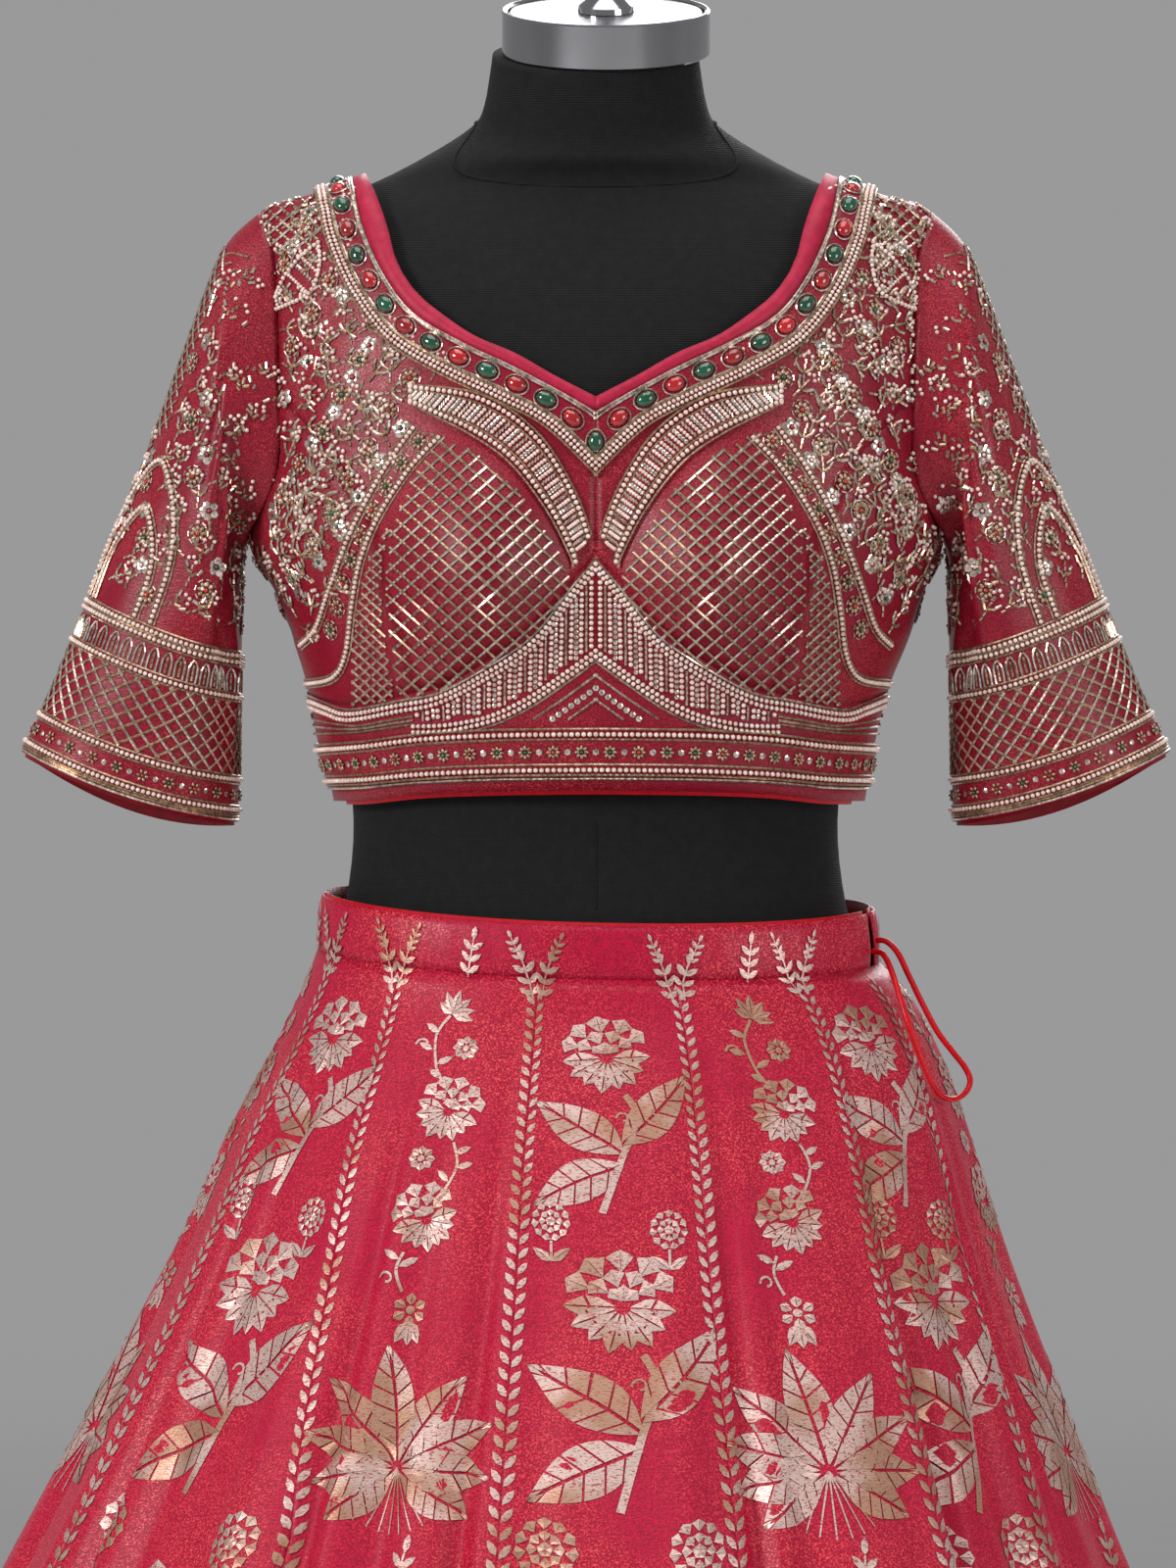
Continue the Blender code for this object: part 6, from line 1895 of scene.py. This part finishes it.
def lay_marigold(shape, kali, aside, down, radius):
    """Small round frilled flower on a stalk with two leaves."""
    for start, reach, wide, count in ((0.60, 0.40, 0.50, 11), (0.24, 0.36, 0.42, 8), (0.0, 0.26, 0.28, 5)):
        for k in range(count):
            foot = turned_way(360.0 * k / count) * radius * start
            lay_leaf(shape, kali, aside + foot.x, down + foot.y * 1.12, 360.0 * k / count, radius * reach,
                     radius * wide, 1.6, 1, 0.0, 0.012)
    lay_stem(shape, kali, ((aside, down + radius * 1.05), (aside, down + radius * 2.1)), radius * 0.14)
    for way in (-52.0, 52.0):
        lay_leaf(shape, kali, aside, down + radius * 2.15, way, radius * 1.2, radius * 0.52)


def lay_curl(shape, kali, aside, down, size, way):
    points = []
    for k in range(7):
        turn = k / 6 * 1.55 * math.pi
        reach = size * (1.0 - 0.65 * k / 6)
        points.append((aside + way * reach * math.cos(turn), down - reach * math.sin(turn)))
    lay_stem(shape, kali, points, size * 0.30)


def lay_stalk(shape, kali, aside, down, length, lean):
    """Stalk under a large flower, with scrolls near its top and three large veined leaves."""
    way = math.copysign(1.0, lean)
    fork = (aside + lean * length * 0.15, down + length * 0.55)
    lay_stem(shape, kali, ((aside, down), (aside - lean * length * 0.35, down + length * 0.20), fork,
                           (aside + lean * length * 0.75, down + length)), length * 0.050)
    for turn in (-1.0, 1.0):
        lay_curl(shape, kali, aside - lean * length * 0.35 + turn * length * 0.10, down + length * 0.20,
                 length * 0.055, turn)
    for turn, reach, start in ((46.0, 0.78, 0.42), (-50.0, 0.76, 0.50), (-112.0, 0.74, 0.60)):
        lay_leaf(shape, kali, fork[0] - way * length * 0.01, down + length * start, turn * way * -1.0,
                 length * reach, length * 0.34, 0.85, 6, 0.10 * way)


def lay_palm(shape, kali, aside, down, radius):
    """Fan of large veined leaves from one point, with fine stems below."""
    for turn, reach in ((-6.0, 1.10), (-40.0, 1.04), (30.0, 1.0), (-70.0, 0.94), (60.0, 0.96),
                        (-98.0, 0.86),
                        (90.0, 0.88), (-124.0, 0.78), (118.0, 0.82)):
        foot = turned_way(turn) * radius * 0.06
        lay_leaf(shape, kali, aside + foot.x, down + foot.y, turn, radius * reach, radius * 0.41, 0.88, 7,
                 0.06 * math.copysign(1.0, turn))
    for turn in (146.0, 158.0, 170.0, 182.0, 194.0, 206.0, 218.0):
        tip = Vector((aside, down)) + turned_way(turn) * radius * 0.62
        lay_stem(shape, kali, ((aside, down), tuple(tip)), radius * 0.014)


def lay_sprig(shape, kali, aside, down, size, turn):
    """Short stem with three pairs of leaves and one at its tip."""
    ahead = turned_way(turn)
    tip = (aside + ahead.x * size, down + ahead.y * size)
    lay_stem(shape, kali, ((aside, down), tip), size * 0.04)
    for k in range(3):
        here = (aside + ahead.x * size * (0.12 + 0.30 * k), down + ahead.y * size * (0.12 + 0.30 * k))
        for side in (-1, 1):
            lay_small_leaf(shape, kali, here[0], here[1], turn + 46 * side, size * 0.36, size * 0.17)
    lay_small_leaf(shape, kali, tip[0], tip[1], turn, size * 0.36, size * 0.17)


def lay_vine(shape, kali, side, forked):
    """This panel's half of the vine along a seam: leaves up and away from the seam, to the hem's border."""
    length = kali.down[-1]
    down = 0.012 + (0.003 if side > 0 else 0.0)
    while down < length - 0.070:
        leaf = 0.0066 + 0.0125 * min(down, 0.28) + 0.003 * max(down - 0.28, 0.0)
        aside = side * (kali.width(down) / 2 - 0.0007)
        lay_small_leaf(shape, kali, aside, down, -side * 38.0, leaf, leaf * 0.44)
        down += leaf * 0.98
    edge = side * (kali.width(0.0) / 2 - 0.0007)
    if forked:
        lay_sprig(shape, kali, edge, 0.012, 0.021, -side * 17.0)
        lay_sprig(shape, kali, edge - side * 0.0065, -0.008, 0.013, -side * 24.0)


def lay_small_leaf(shape, kali, aside, down, turn, length, width):
    """Leaf of the vine: one raised point over an outline of six."""
    ahead = turned_way(turn)
    side = Vector((-ahead.y, ahead.x))
    outline = []
    for along, across in ((0.0, 0.0), (0.3, -0.42), (0.68, -0.40), (1.0, 0.0), (0.68, 0.40), (0.3, 0.42)):
        spot = Vector((aside, down)) + ahead * (along * length) + side * (across * width)
        outline.append(shape.verts.new(kali.at(spot.x, spot.y, THREAD_LOW)))
    crown_spot = Vector((aside, down)) + ahead * (0.5 * length)
    crown = shape.verts.new(kali.at(crown_spot.x, crown_spot.y, THREAD_HIGH))
    for a, b in zip(outline, outline[1:] + outline[:1]):
        shape.faces.new((a, b, crown))


CENTRE_PANELS = (9, 1, 3, 5, 7, 11)
BY_OPENING = ((11, 1), (12, -1))


def weave_centre(shape, kali):
    """Motifs of the panels with a large upright flower and marigolds."""
    lay_peony(shape, kali, -0.002, 0.045, 0.0235)
    lay_stalk(shape, kali, 0.006, 0.066, 0.068, -0.24)
    for side in (-1, 1):
        lay_marigold(shape, kali, side * kali.width(0.150) * 0.30 - 0.002, 0.141 + 0.002 * side, 0.0105)
    lay_peony(shape, kali, 0.002, 0.187, 0.0310, 8.0)
    lay_stalk(shape, kali, 0.012, 0.214, 0.088, -0.22)
    for down, radius in ((0.385, 0.044), (0.640, 0.054)):
        for side in (-1, 1):
            lay_marigold(shape, kali, side * kali.width(down - 0.06) * 0.31, down - 0.062, 0.0165)
        lay_peony(shape, kali, 0.0, down, radius, 4.0)
        lay_stalk(shape, kali, 0.010, down + radius * 0.85, radius * 2.7, -0.24)
    for side in (-1, 1):
        lay_marigold(shape, kali, side * kali.width(0.86) * 0.30, 0.840, 0.0190)
    lay_palm(shape, kali, 0.0, 0.905, 0.058)


def weave_side(shape, kali):
    """Motifs of the panels with a climbing stem of small flowers over a palm of leaves."""
    for top, step in ((0.0, 1.0), (0.350, 1.45), (0.705, 1.05)):
        def at(aside, down):
            return aside * step, top + down * step

        lay_sprig(shape, kali, *at(0.004, 0.002), 0.020 * step, 8.0)
        for way, reach in ((-52, 0.010), (-20, 0.013), (12, 0.014), (44, 0.013), (76, 0.012), (104, 0.012)):
            lay_leaf(shape, kali, *at(-0.002, 0.023), way, reach * step, 0.0052 * step)
        lay_stem(shape, kali, (at(-0.003, 0.024), at(-0.009, 0.036), at(-0.006, 0.054), at(0.0, 0.064)),
                 0.0016 * step)
        for aside, down, way in ((-0.008, 0.034, -60), (-0.010, 0.044, -70), (-0.006, 0.052, 60),
                                 (-0.002, 0.060, -60)):
            lay_small_leaf(shape, kali, *at(aside, down), way, 0.009 * step, 0.0042 * step)
        lay_curl(shape, kali, *at(-0.016, 0.042), 0.0042 * step, -1.0)
        lay_flower(shape, kali, *at(0.008, 0.042), 0.0070 * step, 8)
        lay_peony(shape, kali, *at(0.004, 0.079), 0.0200 * step, 24.0)
        lay_stem(shape, kali, (at(0.010, 0.096), at(0.014, 0.108), at(0.010, 0.120), at(0.004, 0.128)),
                 0.0016 * step)
        for aside, down, way in ((0.012, 0.102, 64), (0.014, 0.110, 70), (0.010, 0.118, -50)):
            lay_small_leaf(shape, kali, *at(aside, down), way, 0.009 * step, 0.0042 * step)
        lay_flower(shape, kali, *at(-0.006, 0.106), 0.0070 * step, 8)
        lay_peony(shape, kali, *at(0.0, 0.140), 0.0205 * step, -16.0)
        lay_stem(shape, kali, (at(-0.010, 0.158), at(-0.013, 0.168), at(-0.009, 0.180)), 0.0016 * step)
        for aside, down, way in ((-0.012, 0.162, -64), (-0.012, 0.166, 62)):
            lay_small_leaf(shape, kali, *at(aside, down), way, 0.011 * step, 0.0046 * step)
        lay_curl(shape, kali, *at(-0.018, 0.173), 0.0045 * step, -1.0)
        lay_flower(shape, kali, *at(-0.004, 0.190), 0.0095 * step, 6)
        for way in (-152, 180, 152):
            lay_leaf(shape, kali, *at(-0.004, 0.196), way, 0.014 * step, 0.0072 * step)
        if step > 1.1 or top == 0.0:
            lay_palm(shape, kali, *at(-0.002, 0.278), (0.060 if top == 0.0 else 0.055) * step)


def weave_hem(shape, kali):
    """Border above the hem: a row of pointed leaves between lines."""
    length = kali.down[-1]
    for inset, width in ((0.058, 0.0022), (0.050, 0.0014), (0.016, 0.0014), (0.008, 0.0026)):
        down = length - inset
        half = kali.width(down) / 2 - 0.003
        lay_stem(shape, kali, [(half * k / 6, down) for k in range(-6, 7)], width)
    down = length - 0.020
    count = round(kali.width(down) / 0.020)
    for k in range(count):
        aside = kali.width(down) * ((k + 0.5) / count - 0.5)
        lay_leaf(shape, kali, aside, down, 0.0, 0.026, 0.011)
        for way in (-52, 52):
            lay_small_leaf(shape, kali, aside, down, way, 0.011, 0.005)


def make_skirt():
    panels = [Kali(number) for number in range(1, len(KALI_SEAMS))]
    for kali in panels:
        name = f"kali_{kali.number:02d}"
        cloth_piece(name, kali.grid, BROCADE, [name])
        shape = bmesh.new()
        for side in (-1, 1):
            lay_vine(shape, kali, side, (kali.number, side) not in BY_OPENING)
        (weave_centre if kali.number in CENTRE_PANELS else weave_side)(shape, kali)
        weave_hem(shape, kali)
        shape.normal_update()
        for face in shape.faces:
            centre = face.calc_center_median()
            if face.normal.dot(Vector((centre.x, centre.y, 0.0))) < 0.0:
                face.normal_flip()
        to_object(f"{name}_zari", shape, ZARI)


def make_bands():
    """Waistband casing in two halves, with its lining's edge above it."""
    opening = math.radians(OPENING_AT)
    for word, start, end in (("front", -SIDE_ANGLE, opening), ("back", -SIDE_ANGLE, opening - 2 * math.pi)):
        way = math.copysign(1.0, end - start)
        start += way * 0.004
        end -= way * 0.043
        cells = 90
        rows = []
        for up in (0.0, 0.15, 0.35, 0.6, 0.85, 1.0):
            crown = 0.0012 * math.sin(math.pi * up)
            rows.append([band_point(start + (end - start) * k / cells, up,
                                    crown + 0.0004 * math.sin(k * 1.7 + up * 3.0) * math.sin(math.pi * up))
                         for k in range(cells + 1)])
        cloth_piece(f"waistband_{word}", rows, BROCADE, [f"waistband_{word}"])
        rows = []
        for up in (0.45, 0.8, 1.05):
            rows.append([band_point(start + (end - start) * k / cells, up, -SHELL - 0.0010)
                         for k in range(cells + 1)])
        cloth_piece(f"waistband_lining_{word}", rows, LINING, [f"waistband_lining_{word}"],
                    shell=TRIM_SHELL)


# Dress form and stand

FORM_NECK_SEAM = 1.4180
FORM_SEAM_RISE = 0.038
FORM_FRONT_SEAM = (1.036, 1.092)
SEAM_RADIUS = 0.0008
FORM_TRIM = 0.0010
FORM_CLEAR = 0.0018


def make_form():
    """Jersey-covered form with a smooth skin through the solid's rings."""
    trim = FORM_TRIM
    rings = [form_ring(row.height, row.side - trim, row.front - trim, row.back - trim) for row in HIP_ROWS]
    for row in EASE_ROWS:
        inset = FORM_CLEAR + row.ease + trim
        widths = [read_row(CHOLI_ROWS, row.height, "height", word) - inset for word in ("left", "right")]
        front = read_row(CHOLI_ROWS, row.height, "height", "front") - inset
        back = read_row(CHOLI_ROWS, row.height, "height", "back") - inset
        rings.append(form_ring(row.height, min(widths), front, back, bust=BUST_HEIGHT))
    rings += [form_ring(row.height, row.side - trim, row.front - trim, row.back - trim)
              for row in SHOULDER_ROWS]
    rings += [form_ring(row.height, row.side, row.depth, row.depth, row.forward, row.lean)
              for row in NECK_ROWS]
    columns = [smooth_line([tuple(ring[j]) for ring in rings], 3) for j in range(FORM_CELLS)]
    grid = [[Vector(column[i]) for column in columns] for i in range(len(columns[0]))]
    shape = bmesh.new()
    bmesh.ops.create_grid(shape, x_segments=FORM_CELLS, y_segments=len(grid) - 1, size=1.0)
    shape.verts.ensure_lookup_table()
    for i, row in enumerate(grid):
        for j in range(FORM_CELLS + 1):
            shape.verts[i * (FORM_CELLS + 1) + j].co = row[j % FORM_CELLS]
    bmesh.ops.remove_doubles(shape, verts=shape.verts, dist=1e-6)
    bmesh.ops.holes_fill(shape, edges=[edge for edge in shape.edges if edge.is_boundary], sides=FORM_CELLS)
    bmesh.ops.recalc_face_normals(shape, faces=shape.faces)
    form = to_object("form_body", shape, JERSEY)
    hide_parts("form_body")
    reach = FORM_CELLS * 3 // 8
    seam = []
    for k in range(-reach, reach + 1):
        height = FORM_NECK_SEAM + FORM_SEAM_RISE * min(1.0 - math.cos(2 * math.pi * k / FORM_CELLS), 1.0)
        for low, high in zip(grid, grid[1:]):
            start, end = low[k % FORM_CELLS], high[k % FORM_CELLS]
            if start.z <= height < end.z:
                seam.append(start.lerp(end, (height - start.z) / (end.z - start.z)))
                break
    tube("form_neck_seam", seam, SEAM_RADIUS, JERSEY)
    tube("form_front_seam", [row[0] for row in grid if FORM_FRONT_SEAM[0] < row[0].z < FORM_FRONT_SEAM[1]],
         0.0006, JERSEY)


def tube(name, points, radius, material):
    curve = bpy.data.curves.new(name, "CURVE")
    curve.dimensions = "3D"
    curve.bevel_depth = radius
    curve.bevel_resolution = 3
    curve.use_fill_caps = True
    dense = [Vector(p) for p in smooth_line([tuple(p) for p in points], 6)]
    spline = curve.splines.new("POLY")
    spline.points.add(len(dense) - 1)
    for knot, point in zip(spline.points, dense):
        knot.co = (*point, 1.0)
    curve.materials.append(material)
    thing = bpy.data.objects.new(name, curve)
    scene.collection.objects.link(thing)
    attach(thing, "root")
    return thing, sum((b - a).length for a, b in zip(dense, dense[1:]))


def make_metal():
    top, inside_radius = RING_TALL, RING_RADIUS - RING_WALL
    turned("neck_ring", ((inside_radius, 0.0), (RING_RADIUS - 0.001, 0.0), (RING_RADIUS, 0.001),
                         (RING_RADIUS, top - 0.001), (RING_RADIUS - 0.0006, top - 0.0002),
                         (RING_RADIUS - 0.0014, top), (inside_radius, top - 0.001), (inside_radius, 0.0)),
           CHROME, ["neck_ring"], RING_BASE, NECK_LEAN)
    up = Vector((0.0, -math.sin(NECK_LEAN), math.cos(NECK_LEAN)))
    cap_low = RING_TALL - CAP_TALL - 0.0015
    turned("neck_cap", ((0.0, 0.0), (CAP_RADIUS, 0.0), (CAP_RADIUS, CAP_TALL - 0.001),
                        (CAP_RADIUS - 0.001, CAP_TALL), (0.0, CAP_TALL)),
           CAP_METAL, ["neck_cap"], RING_BASE + up * cap_low, NECK_LEAN)
    profile = [Vector((radius, height)) for radius, height in FINIAL_PROFILE[::-1]]
    smooth = [profile[0], profile[1]] + [Vector(p) for p in smooth_line([tuple(p) for p in profile[2:]], 4)]
    turned("finial", [tuple(p) for p in smooth], CHROME, ["finial"],
           RING_BASE + up * (cap_low + CAP_TALL + 0.0003), NECK_LEAN, 48)
    for name, material in (("stand_pole", CHROME), ("stand_collar", CHROME), ("stand_base", BASE_PAINT)):
        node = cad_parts[name]
        for place in node.material_slots:
            place.material = material


# Camera and cord first, then every piece, the lights and the floor

def make_camera():
    camera = bpy.data.objects.new("camera", bpy.data.cameras.new("camera"))
    scene.collection.objects.link(camera)
    camera.location = (VIEW_X, -VIEW_DISTANCE, VIEW_HEIGHT)
    camera.rotation_euler = (math.pi / 2, 0.0, 0.0)
    camera.data.sensor_width = 36.0
    camera.data.lens = 36.0 * VIEW_DISTANCE / VIEW_SPAN
    camera.data.clip_start, camera.data.clip_end = 0.1, 60.0
    scene.camera = camera


def make_cord():
    cord, length = tube("drawstring", CORD_ROUTE, CORD_RADIUS, SATIN)
    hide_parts("drawstring")


cut_sizes = []


def cloth_piece(name, grid, material, nodes, ring=False, middle=centre_line, shell=SHELL):
    thing = cloth(name, grid, material, nodes, ring, middle, shell)
    width, length, area = measured(thing, grid, ring)
    cut_sizes.append((name, round(width, 3), round(length, 3), round(area, 4)))
    full = width * length
    max(width, 0.0101)
    max(length, 0.0101)
    min(max(area, full * 0.31), full)
    return thing


Lamp = namedtuple("Lamp", "name place size power")
LAMPS = (
    Lamp("key", (-3.2, -2.5, 2.6), 1.3, 112.0),
    Lamp("fill", (2.9, -2.4, 1.8), 1.8, 46.0),
    Lamp("top", (0.0, -0.4, 4.0), 2.4, 46.0),
    Lamp("back", (0.6, 3.2, 2.8), 2.0, 60.0),
)
LAMPS_AIM = Vector((0.0, 0.0, 0.95))
BACKDROP = (0.62, 0.62, 0.63, 1.0)
BACKDROP_STRENGTH = 0.52
FLOOR_SIZE = 14.0
FLOOR_FADES = (3.0, 11.0)
FLOOR_TONES = ((0.3, (0.62, 0.62, 0.62)), (0.7, (0.66, 0.66, 0.66)))


def make_lights():
    world = bpy.data.worlds.new("studio")
    scene.world = world
    world.use_nodes = True
    world.node_tree.nodes["Background"].inputs["Color"].default_value = BACKDROP
    world.node_tree.nodes["Background"].inputs["Strength"].default_value = BACKDROP_STRENGTH
    for lamp in LAMPS:
        light = bpy.data.lights.new(lamp.name, "AREA")
        light.energy = lamp.power
        light.size = lamp.size
        thing = bpy.data.objects.new(lamp.name, light)
        scene.collection.objects.link(thing)
        thing.location = lamp.place
        thing.rotation_euler = (LAMPS_AIM - Vector(lamp.place)).to_track_quat("-Z", "Y").to_euler()


def make_floor():
    shape = bmesh.new()
    bmesh.ops.create_grid(shape, x_segments=1, y_segments=1, size=FLOOR_SIZE)
    mesh = bpy.data.meshes.new("floor")
    shape.to_mesh(mesh)
    shape.free()
    material, nodes, links, shader = new_material("floor", 0.9)
    where = coordinates(nodes, links, (1.0, 1.0, 1.0))
    links.new(ramp(nodes, links, speckle(nodes, links, where, 3.0), FLOOR_TONES),
              shader.inputs["Base Color"])
    away = nodes.new("ShaderNodeVectorMath")
    away.operation = "LENGTH"
    links.new(where, away.inputs[0])
    fade = nodes.new("ShaderNodeMapRange")
    fade.interpolation_type = "SMOOTHSTEP"
    fade.inputs["From Min"].default_value, fade.inputs["From Max"].default_value = FLOOR_FADES
    fade.inputs["To Min"].default_value = 1.0
    fade.inputs["To Max"].default_value = 0.0
    links.new(away.outputs["Value"], fade.inputs["Value"])
    links.new(fade.outputs["Result"], shader.inputs["Alpha"])
    mesh.materials.append(material)
    floor = bpy.data.objects.new("floor", mesh)
    scene.collection.objects.link(floor)




def main():
    scene.view_settings.view_transform = "Standard"
    make_camera()
    make_cord()
    halves = {"left": side_lines(-1), "right": side_lines(1)}
    make_choli(halves)
    global CELLS_ARMHOLE_UPPER, CELLS_ARMHOLE_LOWER, CELLS_ARMHOLE_BACK
    CELLS_ARMHOLE_UPPER, CELLS_ARMHOLE_LOWER = SLEEVE_FRONT_CELLS - 5, 5
    CELLS_ARMHOLE_BACK = SLEEVE_BACK_CELLS
    for word, side in (("left", -1), ("right", 1)):
        make_neck(side, word)
        make_arch(side, word)
        make_ogee(side, word)
        make_curves(side, word)
        lattice(f"cup_{word}", LATTICE_EDGE, side)
        lattice(f"cup_side_{word}", LATTICE_SIDE, side, 12.0, 11.0)
        lattice(f"shoulder_{word}", SHOULDER_EDGE, side, 15.0, 13.0)
        make_feather(side, word)
        make_jaal(side, word)
        make_sleeve(side, word, sleeve_lines(side))
    make_hem_bands()
    make_skirt()
    make_bands()
    sew_beads()
    make_form()
    make_metal()
    make_lights()
    make_floor()


def sleeve_lines(side):
    """Armhole lines at the solids' own cells, so that the sleeve's rings meet them."""
    lines = {"armhole_upper": front_line(ARMHOLE_UPPER, CELLS_ARMHOLE_UPPER, side),
             "armhole_lower": front_line(ARMHOLE_LOWER, CELLS_ARMHOLE_LOWER, side)}
    back_points = [(side * (math.pi - abs(angle)), z) for angle, z in
                   [front_spot(x, z, side) for x, z in ARMHOLE_LOWER[::-1] + ARMHOLE_UPPER[1:]]]
    lines["armhole_back"] = even_steps(smooth_line(back_points), CELLS_ARMHOLE_BACK, choli_point)
    return lines


main()
for line in cut_sizes:
    print("CUT", *line)
